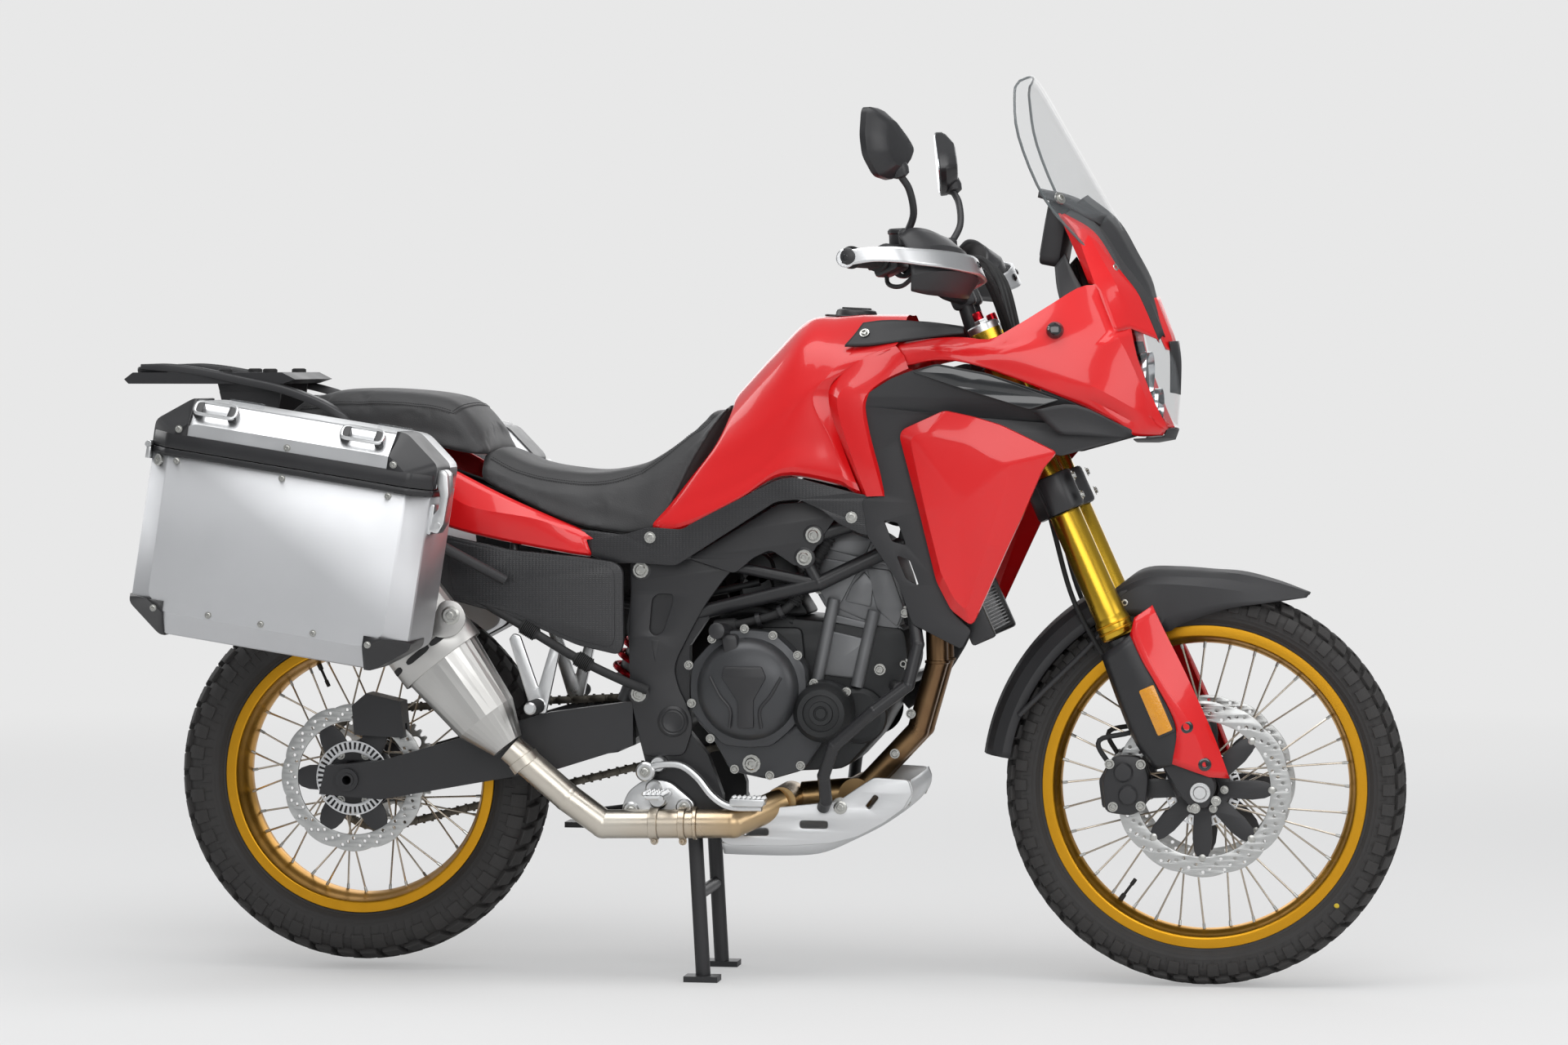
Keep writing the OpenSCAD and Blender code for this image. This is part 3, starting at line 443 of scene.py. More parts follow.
def room_light(tree, surface, shown):
    """The plain colour for the eye and through glass; the true surface for everything else."""
    rays = add(tree, "ShaderNodeLightPath")
    seen = add(
        tree, "ShaderNodeMath", {0: rays.outputs["Is Camera Ray"], 1: rays.outputs["Is Transmission Ray"]},
        operation="MAXIMUM"
    )
    return add(tree, "ShaderNodeMixShader", {0: seen.outputs[0], 1: surface, 2: shown})


world = bpy.data.worlds.new("studio")
bpy.context.scene.world = world
world.use_nodes = True
world.node_tree.nodes.clear()
sky = add(world.node_tree, "ShaderNodeBackground", {"Color": ink("#f2f4f6"), "Strength": 0.42})
plain = add(world.node_tree, "ShaderNodeBackground", {"Color": ink(BACKDROP), "Strength": 1.0})
lit = room_light(world.node_tree, sky.outputs[0], plain.outputs[0])
add(world.node_tree, "ShaderNodeOutputWorld", {0: lit.outputs[0]})

floor_stuff = bpy.data.materials.new("studio_floor_paper")
floor_stuff.use_nodes = True
t = floor_stuff.node_tree
t.nodes.clear()
place = add(t, "ShaderNodeTexCoord")
reach = add(t, "ShaderNodeVectorMath", {0: place.outputs["Object"]}, operation="LENGTH")
fade = add(
    t, "ShaderNodeMapRange", {"Value": reach.outputs["Value"], "From Min": 2.2, "From Max": 6.5},
    interpolation_type="SMOOTHSTEP"
)
paper = add(t, "ShaderNodeBsdfDiffuse", {"Color": ink("#dcdcdc")})
glow = add(t, "ShaderNodeEmission", {"Color": ink(BACKDROP), "Strength": 1.0})
half = add(t, "ShaderNodeMixShader", {0: 0.42, 1: paper.outputs[0], 2: glow.outputs[0]})
near = add(t, "ShaderNodeMixShader", {0: fade.outputs[0], 1: half.outputs[0], 2: glow.outputs[0]})
only = room_light(t, paper.outputs[0], near.outputs[0])
add(t, "ShaderNodeOutputMaterial", {0: only.outputs[0]})
across = np.linspace(-60, 60, 41)
X, Y = np.meshgrid(across, across, indexing="ij")
floor_part = grid(np.stack([X * 1000, Y * 1000, X * 0 - 0.5], -1))
floor_mesh = bpy.data.meshes.new("studio_floor")
floor_mesh.from_pydata((floor_part[0] / 1000).tolist(), [], floor_part[1].tolist())
floor_mesh.materials.append(floor_stuff)
floor = bpy.data.objects.new("studio_floor", floor_mesh)
bpy.context.scene.collection.objects.link(floor)

for name, where, size, watts in (
    ("lamp_over", (0.3, -1.2, 4.4), (5.0, 3.2), 150),
    ("lamp_near", (1.2, -5.5, 2.6), (4.5, 2.6), 105),
    ("lamp_front", (4.8, -2.2, 2.2), (2.6, 2.4), 52),
    ("lamp_back", (-4.6, 1.6, 2.6), (2.6, 2.4), 52),
    ("lamp_far", (0.0, 5.2, 2.4), (4.5, 2.6), 60),
):
    lamp = bpy.data.objects.new(name, bpy.data.lights.new(name, "AREA"))
    lamp.data.shape, lamp.data.size, lamp.data.size_y, lamp.data.energy = "RECTANGLE", *size, watts
    lamp.location = where
    lamp.rotation_euler = Vector(aim - np.array(where)).to_track_quat("-Z", "Y").to_euler()
    bpy.context.scene.collection.objects.link(lamp)

# %% [markdown]
# ## Finishes
# Every finish starts the same way: a colour that drifts slightly over a few centimetres, a
# roughness that drifts with it, and a fine relief in the size of the real grain. What makes each
# one itself is then added: the clear coat of paint, the drawn lines of brushed metal, the pebbled
# grain of moulded plastic.

# %% The common start of a finish
RELIEF = {
    "pebbled": lambda tree, where,
    mm: add(tree, "ShaderNodeTexVoronoi", {"Vector": where, "Scale": 1000 / mm}).outputs["Distance"],
    "grainy": lambda tree, where,
    mm: add(tree, "ShaderNodeTexNoise", {"Vector": where, "Scale": 1000 / mm, "Detail": 4.0}).outputs[0],
}


def finish(
    name, colour, shade, metallic=0.0, rough=0.5, drift=0.06, patch=70.0, grain=None, stretch=(1, 1, 1),
    **sockets
):
    """Colour drifts to shade over patches of patch mm, and grain is (kind, size in mm, depth in mm)."""
    made = bpy.data.materials.new(name)
    made.use_nodes = True
    tree = made.node_tree
    body = tree.nodes["Principled BSDF"]
    where = add(tree, "ShaderNodeTexCoord").outputs["Object"]
    cloud = add(
        tree, "ShaderNodeTexNoise", {"Vector": where, "Scale": 1000 / patch, "Detail": 3.0}
    ).outputs[0]
    tone = add(tree, "ShaderNodeMix", {"Factor": cloud, 6: ink(colour), 7: ink(shade)}, data_type="RGBA")
    tree.links.new(tone.outputs[2], body.inputs["Base Color"])
    spread = add(
        tree, "ShaderNodeMapRange",
        {"Value": cloud, "From Min": 0.3, "From Max": 0.7, "To Min": rough - drift, "To Max": rough + drift}
    )
    tree.links.new(spread.outputs[0], body.inputs["Roughness"])
    body.inputs["Metallic"].default_value = metallic
    if grain:
        kind, mm, depth = grain
        lines = add(tree, "ShaderNodeMapping", {"Vector": where, "Scale": stretch}).outputs[0]
        height = RELIEF[kind](tree, lines, mm)
        bump = add(tree, "ShaderNodeBump", {"Height": height, "Distance": depth / 1000, "Strength": 1.0})
        tree.links.new(bump.outputs[0], body.inputs["Normal"])
    for socket, value in sockets.items():
        body.inputs[socket.replace("_", " ")].default_value = value
    return made


# %% [markdown]
# Painted bodywork is injection-moulded ABS, sprayed with solid red and a clear lacquer. The
# lacquer gives one sharp reflection over a softer one, with a very slight orange-peel.

# %% Painted bodywork
red_lacquer = finish(
    "red_lacquer_on_abs", "#d40d12", "#cc0a10", rough=0.36, drift=0.02, patch=240, grain=("grainy", 9, 0.012),
    Coat_Weight=0.6, Coat_Roughness=0.07, Specular_IOR_Level=0.35
)
satin_black = finish(
    "satin_black_powder_coat", "#29292b", "#222224", rough=0.44, drift=0.05, patch=90,
    grain=("grainy", 1.6, 0.03)
)
frame_black = finish(
    "black_enamel_on_steel", "#1b1b1d", "#232325", rough=0.36, drift=0.05, patch=60,
    grain=("grainy", 2.2, 0.03)
)

# %% [markdown]
# Black plastics are moulded polypropylene and ABS. The mould is etched, so the surface has a
# fine pebble about a millimetre across that breaks up every highlight.

# %% Moulded plastics and rubber
black_grained = finish(
    "etched_black_polypropylene", "#242426", "#2b2b2d", rough=0.56, drift=0.05, patch=80,
    grain=("pebbled", 1.5, 0.06)
)
black_smooth = finish(
    "moulded_black_abs", "#1d1d1f", "#262628", rough=0.36, drift=0.05, patch=70, grain=("grainy", 3, 0.02)
)
gloss_black = finish(
    "smoked_gloss_black_panel", "#17181a", "#26282a", rough=0.12, drift=0.03, patch=120, Coat_Weight=0.6,
    Coat_Roughness=0.03
)
soft_rubber = finish(
    "black_epdm_rubber", "#1a1a1b", "#242425", rough=0.72, drift=0.08, patch=25, grain=("grainy", 1.0, 0.05)
)
tyre_rubber = finish(
    "carbon_black_tyre_rubber", "#252424", "#343231", rough=0.74, drift=0.08, patch=34,
    grain=("grainy", 1.4, 0.09)
)

# %% [markdown]
# The trim along the tank and the side covers has a film with fine ribs, like woven carbon seen
# from afar: narrow upright lines that alternate between dull and shiny every few millimetres.

# %% Ribbed trim film
ribbed_film = finish("ribbed_black_trim_film", "#202022", "#2a2a2c", rough=0.42, drift=0.05, patch=60)
t = ribbed_film.node_tree
where = add(t, "ShaderNodeTexCoord").outputs["Object"]
ribs = add(
    t, "ShaderNodeTexWave",
    {"Vector": where, "Scale": 1000 / (6.0 * 3.1416), "Distortion": 0.15, "Detail": 0.0}, wave_type="BANDS",
    bands_direction="X"
)
rows = add(
    t, "ShaderNodeTexWave",
    {"Vector": where, "Scale": 1000 / (3.4 * 3.1416), "Distortion": 0.0, "Detail": 0.0}, wave_type="BANDS",
    bands_direction="Z"
)
woven = add(t, "ShaderNodeMath", {0: ribs.outputs["Fac"], 1: rows.outputs["Fac"]}, operation="MULTIPLY")
relief = add(t, "ShaderNodeBump", {"Height": woven.outputs[0], "Distance": 0.0003, "Strength": 0.8})
t.links.new(relief.outputs[0], t.nodes["Principled BSDF"].inputs["Normal"])

# %% [markdown]
# Metals differ by how they were made. Castings are sand- or die-cast and painted, so they keep a
# fine orange grain. Sheet aluminium is drawn through rollers and shows long straight lines.
# Anodised parts were blasted first, then dyed, so their colour sits in a soft even sheen.

# %% Metals
cast_grey = finish(
    "painted_grey_aluminium_casting", "#747576", "#68696b", metallic=0.55, rough=0.46, drift=0.06, patch=50,
    grain=("grainy", 1.3, 0.06)
)
cover_dark = finish(
    "painted_dark_grey_engine_cover", "#464749", "#3d3e40", metallic=0.5, rough=0.38, drift=0.05, patch=60,
    grain=("grainy", 1.1, 0.04)
)
case_black = finish(
    "painted_black_engine_case", "#2a2b2c", "#222324", metallic=0.35, rough=0.5, drift=0.06, patch=60,
    grain=("grainy", 1.4, 0.07)
)
brushed_sheet = finish(
    "brushed_aluminium_sheet", "#cbccce", "#c2c3c5", metallic=1.0, rough=0.52, drift=0.05, patch=160,
    grain=("grainy", 40, 0.05), stretch=(1, 1, 60)
)
# On the pannier lids this finish is painted light: its paler colour makes the lid show lighter than the
# case's brushed sheet below the seam.
brushed_edge = finish(
    "satin_aluminium_edge", "#d9dadb", "#cccdcf", metallic=1.0, rough=0.36, drift=0.05, patch=60,
    grain=("grainy", 20, 0.02), stretch=(1, 8, 8)
)
silver_cast = finish(
    "polished_cast_aluminium", "#dcdddd", "#cbcccd", metallic=1.0, rough=0.34, drift=0.07, patch=28,
    grain=("grainy", 3, 0.05)
)
skid_alloy = finish(
    "bead_blasted_aluminium_plate", "#d6d7d8", "#cccdce", metallic=0.85, rough=0.5, drift=0.05, patch=80,
    grain=("grainy", 1.2, 0.03)
)
gold_fork = finish(
    "gold_anodised_fork_tube", "#cfa83a", "#c09a30", metallic=1.0, rough=0.27, drift=0.03, patch=120
)
gold_rim = finish(
    "gold_anodised_rim", "#d39b2a", "#c48d22", metallic=1.0, rough=0.34, drift=0.04, patch=60,
    grain=("grainy", 1.2, 0.02)
)
spoke_steel = finish(
    "stainless_spoke_wire", "#c6beb2", "#a89c8c", metallic=1.0, rough=0.3, drift=0.08, patch=40
)
disc_steel = finish(
    "ground_stainless_brake_disc", "#bfc0bf", "#aeafae", metallic=1.0, rough=0.36, drift=0.06, patch=30,
    grain=("grainy", 6, 0.03)
)
bolt_zinc = finish(
    "zinc_plated_steel_bolt", "#c4c4c0", "#a2a29e", metallic=1.0, rough=0.33, drift=0.08, patch=8
)
chain_steel = finish(
    "oiled_chain_steel", "#6e6a62", "#4d4943", metallic=1.0, rough=0.42, drift=0.08, patch=12
)
brushed_muffler = finish(
    "brushed_stainless_muffler", "#c3c2c0", "#b4b3b0", metallic=1.0, rough=0.4, drift=0.06, patch=120,
    grain=("grainy", 30, 0.05), stretch=(1, 30, 1)
)
red_anodised = finish(
    "red_anodised_aluminium", "#c4202c", "#a81824", metallic=1.0, rough=0.3, drift=0.04, patch=12
)
mirror_glass = finish(
    "silvered_mirror_glass", "#dfe3e6", "#d8dde0", metallic=1.0, rough=0.03, drift=0.01, patch=40
)

# %% [markdown]
# Exhaust headers are bare stainless steel. Heat grows an oxide film whose colour runs from straw
# through bronze to blue with its thickness, so the tint follows the pipe down from the engine.

# %% Heat-tinted steel
tinted_steel = finish(
    "heat_tinted_stainless_pipe", "#a99a86", "#8a7a66", metallic=1.0, rough=0.33, drift=0.07, patch=45,
    grain=("grainy", 4, 0.03)
)
t = tinted_steel.node_tree
where = add(t, "ShaderNodeTexCoord").outputs["Object"]
split = add(t, "ShaderNodeSeparateXYZ", {0: where})
clouds = add(t, "ShaderNodeTexNoise", {"Vector": where, "Scale": 14.0, "Detail": 2.0})
lean = add(
    t, "ShaderNodeMath", {0: clouds.outputs[0], 1: 0.16, 2: split.outputs["X"]}, operation="MULTIPLY_ADD"
)
warm = add(
    t, "ShaderNodeValToRGB",
    {
        0: add(
            t, "ShaderNodeMapRange", {"Value": lean.outputs[0], "From Min": -0.15, "From Max": 0.42}
        ).outputs[0]
    }
)
warm.color_ramp.elements[0].position, warm.color_ramp.elements[0].color = 0.0, ink("#c9c3b8")
warm.color_ramp.elements[1].position, warm.color_ramp.elements[1].color = 1.0, ink("#6d523c")
step = warm.color_ramp.elements.new(0.55)
step.color = ink("#b29468")
t.links.new(warm.outputs[0], t.nodes["Principled BSDF"].inputs["Base Color"])

# %% [markdown]
# Lamps and the screen are clear acrylic or polycarbonate. Thin clear plastic is best drawn as a
# sheet that lets almost all light through and reflects a little at its surface.

# %% Clear and coloured plastics
clear_screen = finish(
    "clear_polycarbonate_sheet", "#8f9598", "#888e91", rough=0.04, drift=0.01, patch=200, Alpha=0.1,
    Coat_Weight=0.5, Coat_Roughness=0.02
)
smoked_edge = finish(
    "polished_polycarbonate_edge", "#5c6163", "#6b7072", rough=0.12, drift=0.03, patch=60, Alpha=0.75
)
lamp_lens = finish(
    "clear_acrylic_lens", "#a4a9ac", "#9ba0a3", rough=0.03, drift=0.01, patch=60, Alpha=0.12, Coat_Weight=0.6,
    Coat_Roughness=0.02
)
lamp_bowl = finish("chromed_reflector", "#dfe2e4", "#c2c6c9", metallic=1.0, rough=0.14, drift=0.05, patch=14)
amber_lens = finish(
    "amber_reflector_plastic", "#d9951f", "#c9841a", rough=0.22, drift=0.03, patch=10,
    grain=("pebbled", 3.2, 0.3), Coat_Weight=0.5
)
red_lens = finish(
    "red_tail_lamp_plastic", "#a30f16", "#8a0c12", rough=0.16, drift=0.03, patch=20,
    grain=("pebbled", 4, 0.25), Coat_Weight=0.6
)
seat_vinyl = finish(
    "embossed_black_seat_vinyl", "#2c2c2d", "#353536", rough=0.6, drift=0.05, patch=60,
    grain=("pebbled", 2.2, 0.16), Sheen_Weight=0.12, Sheen_Roughness=0.4
)
dial_glass = finish(
    "dark_display_glass", "#101215", "#191c20", rough=0.08, drift=0.02, patch=60, Coat_Weight=0.5
)
print("finishes:", len(bpy.data.materials))


# %% [markdown]
# ## Tyres
# Each tyre is a bias-shaped carcass with an adventure tread: staggered rubber blocks over the
# crown and tall shoulder lugs that reach down the sidewall. The carcass is a turned profile. One
# block of each row is drawn on the carcass curve and spun round the axle, so a row of sixty needs
# only one small mesh. Mould rings on the sidewall stand in for its relief, with no lettering.

# %% Tyre carcass
def tyre_curve(half, per=5):
    """From bead to bead over the crown, as (radius, sideways), through the given half outline."""
    half = smooth(np.asarray(half, float), per)
    return np.vstack([half * [1, -1], half[-2::-1]])


def carcass(curve, rings, inner_r, x, z, sides=180):
    """The curve swung round the axle, with fine raised rings at the given radii."""
    t = np.gradient(curve, axis=0)
    n = np.stack([t[:, 1], -t[:, 0]], -1) / np.linalg.norm(t, axis=1, keepdims=True)
    lift = sum(np.exp(-(((curve[:, 0] - r) / 1.3) ** 2)) for r in rings) * (np.abs(curve[:, 1]) > 5)
    outer = curve + n * lift[:, None] * 0.9
    lining = outer[::-1] * [1, 0.86] - [9, 0]
    lining[:, 0] = np.maximum(lining[:, 0], inner_r)
    return lathe(np.vstack([outer, lining, outer[:1]]), sides, at=(x, 0, z))


def block(curve, span, height, arc, skew, taper=1.4):
    """One tread block at angle 0: its foot follows the carcass curve, its top is a little smaller.
    span is its place along the curve from the crown in mm, arc its length round the tyre in degrees."""
    s = np.concatenate([[0], np.cumsum(np.linalg.norm(np.diff(curve, axis=0), axis=1))])
    s -= s[-1] / 2
    t = np.gradient(curve, axis=0)
    t /= np.linalg.norm(t, axis=1, keepdims=True)
    u = np.array([0, 0.33, 0.67, 1, 1, 0.67, 0.33, 0])
    w = np.array([0, 0, 0, 0, 1, 1, 1, 1.0])
    rings = []
    for shrink, up in ((0.0, -2.0), (0.25 * taper, height - 1.3), (taper, height)):
        place = span[0] + shrink + (span[1] - span[0] - 2 * shrink) * u
        r, y = np.interp(place, s, curve[:, 0]), np.interp(place, s, curve[:, 1])
        nr, ny = np.interp(place, s, t[:, 1]), -np.interp(place, s, t[:, 0])
        turn = np.radians((w - 0.5) * (arc - shrink * 0.36) + skew * (u - 0.5))
        r, y = r + nr * up, y + ny * up
        rings.append(np.stack([r * np.cos(turn), y, r * np.sin(turn)], -1))
    V, Q, T = grid(np.stack(rings), wrap_v=True)
    lid = np.array([[0, 1, 6, 7], [1, 2, 5, 6], [2, 3, 4, 5]]) + 16
    return V, np.vstack([Q, lid]), T


def tread(curve, rows, count, x, z):
    """Rows of blocks round the tyre; each row is (from, to, height, arc, skew, start as part of a pitch)."""
    pitch = 360 / count
    parts = []
    for low, high_s, height, arc, skew, start in rows:
        one = block(curve, (low, high_s), height, arc * pitch, skew)
        parts.append(copies(moved(one, [x, 0, z]), spin((np.arange(count) + start) * pitch, x, z)))
    return join(*parts)


FRONT_CURVE = tyre_curve([
    [266.5, 20], [266.5, 29.4], [281.8, 30.2], [287, 36.5], [297, 41.6], [310, 43.9], [321, 42], [331, 33],
    [336.6, 18], [338.2, 0]
])
REAR_CURVE = tyre_curve([
    [230.5, 42], [230.5, 52.2], [246, 52.9], [251, 60.5], [263, 69.5], [281, 74.2], [298, 72], [312, 58],
    [320.5, 34], [323.6, 0]
])
front_rows = [
    (-62, -41, 4.6, 0.60, 0, 0.0), (-38, -17, 8.2, 0.70, 1.2, 0.5), (-14, 14, 8.6, 0.42, -1.6, 0.0),
    (-12, 12, 8.6, 0.34, 1.6, 0.5), (17, 38, 8.2, 0.70, -1.2, 0.5), (41, 62, 4.6, 0.60, 0, 0.0)
]
rear_rows = [
    (-96, -68, 3.6, 0.62, 0, 0.0), (-65, -38, 9.0, 0.72, 1.4, 0.5), (-35, -4, 9.2, 0.60, 1.8, 0.0),
    (4, 35, 9.2, 0.60, -1.8, 0.5), (38, 65, 9.0, 0.72, -1.4, 0.0), (68, 96, 3.6, 0.62, 0, 0.5)
]
for name, curve, rows, count, rings, inner, x, z, body in (
    (
        "front_tyre_carcass", FRONT_CURVE, front_rows, 58, (292, 300, 316), 262, FRONT_X, FRONT_Z,
        "front_wheel_set"
    ),
    ("rear_tyre_carcass", REAR_CURVE, rear_rows, 48, (257, 266, 288), 226, 0, REAR_Z, "rear_wheel_set"),
):
    piece(name, carcass(curve, rings, inner, x, z), tyre_rubber, body, [name[:-8]])
    piece(
        name.replace("carcass", "tread"), tread(curve, rows, count, x, z), tyre_rubber, body,
        sharp=25
    )

# %% [markdown]
# A tyre's sidewall has a band of fine radial ribs that hides its joints, and a painted dot marks
# its lightest place beside the valve. One rib follows the carcass curve and is spun round it.

# %% Ribs on the sidewalls and a balance mark
for name, curve, at_r, count, x, z, body in (
    ("front_sidewall_ribs", FRONT_CURVE, (302, 314), 120, FRONT_X, FRONT_Z, "front_wheel_set"),
    ("rear_sidewall_ribs", REAR_CURVE, (268, 286), 110, 0, REAR_Z, "rear_wheel_set")
):
    side = curve[: len(curve) // 2]
    r = np.linspace(*at_r, 4)
    y = np.interp(r, side[:, 0][np.argsort(side[:, 0])], side[:, 1][np.argsort(side[:, 0])])
    rib = along(np.stack([r, y - 0.1, r * 0], -1), [[-0.9, -1], [0.9, -1], [0.5, 0.9], [-0.5, 0.9]], up=RIGHT)
    rib = moved(rib, [x, 0, z])
    piece(
        name, both(copies(rib, spin(np.arange(count) * 360 / count, x, z))), tyre_rubber, body,
    )
balance_mark = finish("yellow_paint_mark", "#c9b02a", "#b39a22", rough=0.6, patch=5)
mark_at = np.array([FRONT_X, 0, FRONT_Z]) + [305 * math.cos(-0.72), -43.6, 305 * math.sin(-0.72)]
piece(
    "balance_mark", lathe([[0, 1.2], [3.2, 1.2], [4.6, 0.2], [4.6, -0.8]], 16, at=mark_at), balance_mark,
    "front_wheel_set"
)

# %% [markdown]
# ## Rims, hubs and spokes
# The rims are rolled aluminium hoops, anodised gold, laced with crossed steel spokes to forged
# hubs. A rolled rim has a flange for the tyre bead, a sloping shoulder and a round well, so its
# section is drawn in full and swung round. Each spoke leaves its hub flange at an angle and ends
# in a nipple in the rim; four shapes of spoke, each spun nine times, make the crossed pattern.

# %% Rims
def rim(r, half, x, z):
    """The rolled section from flange to flange: (radius, sideways), closed and swung round the axle."""
    outer = [
        [r - 17, half - 4.2], [r - 1.2, half - 4.2], [r, half - 3], [r + 0.2, half - 1.2], [r - 0.8, half]
    ]
    under = [
        [r - 5, half + 0.3], [r - 13, half + 0.5], [r - 18.5, half - 0.3], [r - 21.5, half * 0.86],
        [r - 25, half * 0.62], [r - 30, half * 0.34], [r - 32.5, 0]
    ]
    face = smooth(np.array(under, float), 4)
    well = np.array([[r - 25, half * 0.3], [r - 17, half * 0.52], [r - 17, half - 4.2]])
    side = np.vstack([well, outer, face])
    return lathe(np.vstack([side, side[::-1] * [1, -1], side[:1]]), 160, at=(x, 0, z))


def ring_of_spokes(count, flange_r, flange_y, rim_r, rim_y, lean, x, z):
    """Crossed spokes and their nipples: from angle a + lean on a flange to angle a on the rim."""
    wires, nipples, heads = [], [], []
    for k in range(4):
        side, swing = (1, -1)[k % 2], (1, -1)[k // 2]
        a = math.radians(360 * k / count)
        b = a + math.radians(lean) * swing
        foot = np.array([
            x + flange_r * math.cos(b), side * (flange_y + swing * 3.2), z + flange_r * math.sin(b)
        ])
        tip = np.array([x + rim_r * math.cos(a), side * (rim_y + swing * 2.4), z + rim_r * math.sin(a)])
        way = (tip - foot) / np.linalg.norm(tip - foot)
        turns = spin(np.arange(count // 4) * 1440 / count, x, z)
        wires.append(copies(
            along(np.linspace(foot, tip, 5), circle(1.7, 8), scale=[1.2, 1, 1, 1, 1.1]), turns
        ))
        nipple = lathe(
            [[0, -15], [2.1, -15], [2.6, -14], [2.8, -4], [3.6, -2], [3.9, 5], [0, 5]], 8, at=tip, axis=way,
            up=LEFT
        )
        nipples.append(copies(nipple, turns))
        heads.append(copies(
            lathe([[0, 4], [2.6, 3], [3.4, 0], [0, -2]], 8, at=foot, axis=(0, side * swing, 0)), turns
        ))
    return join(*wires), join(*nipples, *heads)


for end, x, z, r, half, laced in (
    ("front", FRONT_X, FRONT_Z, 281, 34.2, (36, 38, 34, 255, 6, 40)),
    ("rear", 0, REAR_Z, 245, 57.0, (36, 56, 46, 219, 8, 38))
):
    body = end + "_wheel_set"
    piece(end + "_rim", rim(r, half, x, z), gold_rim, body, [end + "_wheel"])
    wires, nipples = ring_of_spokes(*laced, x, z)
    piece(end + "_spoke_wires", wires, spoke_steel, body, [end + "_spokes"])
    piece(end + "_spoke_nipples", nipples, bolt_zinc, body)
    valve_angle = -2.2 if end == "front" else 2.0
    out = np.array([-math.cos(valve_angle), 0, -math.sin(valve_angle)])
    root = np.array([x, 0, z]) - out * (r - 30)
    valve = lathe(
        [[0, 46], [3.2, 46], [3.6, 44], [3.6, 34], [2.6, 33], [2.6, 14], [4.4, 12], [4.8, 0], [0, -3]], 12,
        at=root, axis=out, up=LEFT
    )
    piece(end + "_valve", valve, soft_rubber, body)

# %% [markdown]
# A hub is a forged barrel with a flange on each side for the spoke heads. It is a turned part, so
# half of its profile is written down and mirrored, and the bore is left open for the axle.

# %% Hubs
def hub(barrel, flange, flange_y, end_y, x, z, bore=12.6):
    """A waisted barrel between two spoke flanges, open for the axle."""
    half = [
        [bore, end_y], [20, end_y], [21, end_y - 1], [barrel, end_y - 4], [barrel, flange_y + 6],
        [flange - 3, flange_y + 4.2], [flange, flange_y + 3], [flange, flange_y - 3],
        [flange - 4, flange_y - 4.2], [barrel + 3, flange_y - 10], [barrel - 1, flange_y * 0.5],
        [barrel - 2, 0]
    ]
    half = np.array(half, float)
    return lathe(np.vstack([half, half[-2::-1] * [1, -1], half[:1]]), 72, at=(x, 0, z))


piece("front_hub", hub(27, 44, 34, 62, FRONT_X, FRONT_Z), black_smooth, "front_wheel_set")
piece("rear_hub", hub(34, 62, 46, 88, 0, REAR_Z), black_smooth, "rear_wheel_set")

# %% [markdown]
# ## Brake discs
# A disc's braking band is ground stainless steel with a wavy edge that scrapes the pads clean and
# drilled holes that shed water and weight. The band is a flat plate with holes, turned square to
# the axle. The front bands float on a black carrier with round buttons, and a toothed ring beside
# each hub gives the wheel's speed to the brakes.

# %% Wave discs
def wave_outline(r, depth, waves, n=360):
    """A circle whose radius dips by depth between waves: r - depth (1 - |cos|^0.6)."""
    t = np.linspace(0, 2 * np.pi, n, endpoint=False)
    rr = r - depth * (1 - np.abs(np.cos(waves * t / 2)) ** 0.6)
    return np.stack([rr * np.cos(t), rr * np.sin(t)], -1)


def drilled(r_list, count, hole_r, phase=0.0, sides=8):
    """Round holes in leaning rows: count rows, one hole at each radius, each a little further round."""
    rows = []
    for k, r in enumerate(r_list):
        t = np.linspace(0, 2 * np.pi, count, endpoint=False) + phase + k * 0.085
        rows += [circle(hole_r, sides, (r * math.cos(a), r * math.sin(a))) for a in t]
    return rows


def carrier(r_in, r_out, arms, width):
    """A ring with arms that reach out to the braking band."""
    t = np.linspace(0, 2 * np.pi, arms * 12, endpoint=False)
    reach = np.clip(1.35 * np.cos(arms * t / 2) ** 2 - 0.25, 0, 1) ** 0.7
    r = r_in + width + (r_out - r_in - width) * reach
    return [np.stack([r * np.cos(t), r * np.sin(t)], -1), circle(r_in, 48)]


front_band = slab(
    [wave_outline(152.5, 4.5, 12), circle(117, 96)] + drilled((124, 131, 138, 144), 24, 3.1), -2.4, 2.4, 0.6
)
front_carrier = join(
    slab(carrier(30, 121, 8, 16), -2.2, 3.4, 0.8),
    turned([[28, -1], [46, -1], [48, 1], [48, 7], [28, 7], [28, -1]], 60)
)
buttons = copies(turned([[0, 4.2], [4, 4.2], [6.4, 3.2], [6.4, -3.2], [4, -4.2], [0, -4.2]], 14),
                 stand(np.column_stack([circle(119, 8), np.zeros(8)]), UP, LEFT))
FRONT_DISC_Y, REAR_DISC_Y = 70, -98
outward = np.vstack([
    stand((FRONT_X, -FRONT_DISC_Y, FRONT_Z), LEFT), stand((FRONT_X, FRONT_DISC_Y, FRONT_Z), RIGHT)
])
piece(
    "front_disc_bands", copies(front_band, outward), disc_steel, "front_wheel_set", ["front_discs"],
    sharp=30
)
piece(
    "front_disc_carriers", copies(front_carrier, outward), satin_black, "front_wheel_set"
)
piece("front_disc_buttons", copies(buttons, outward), bolt_zinc, "front_wheel_set")

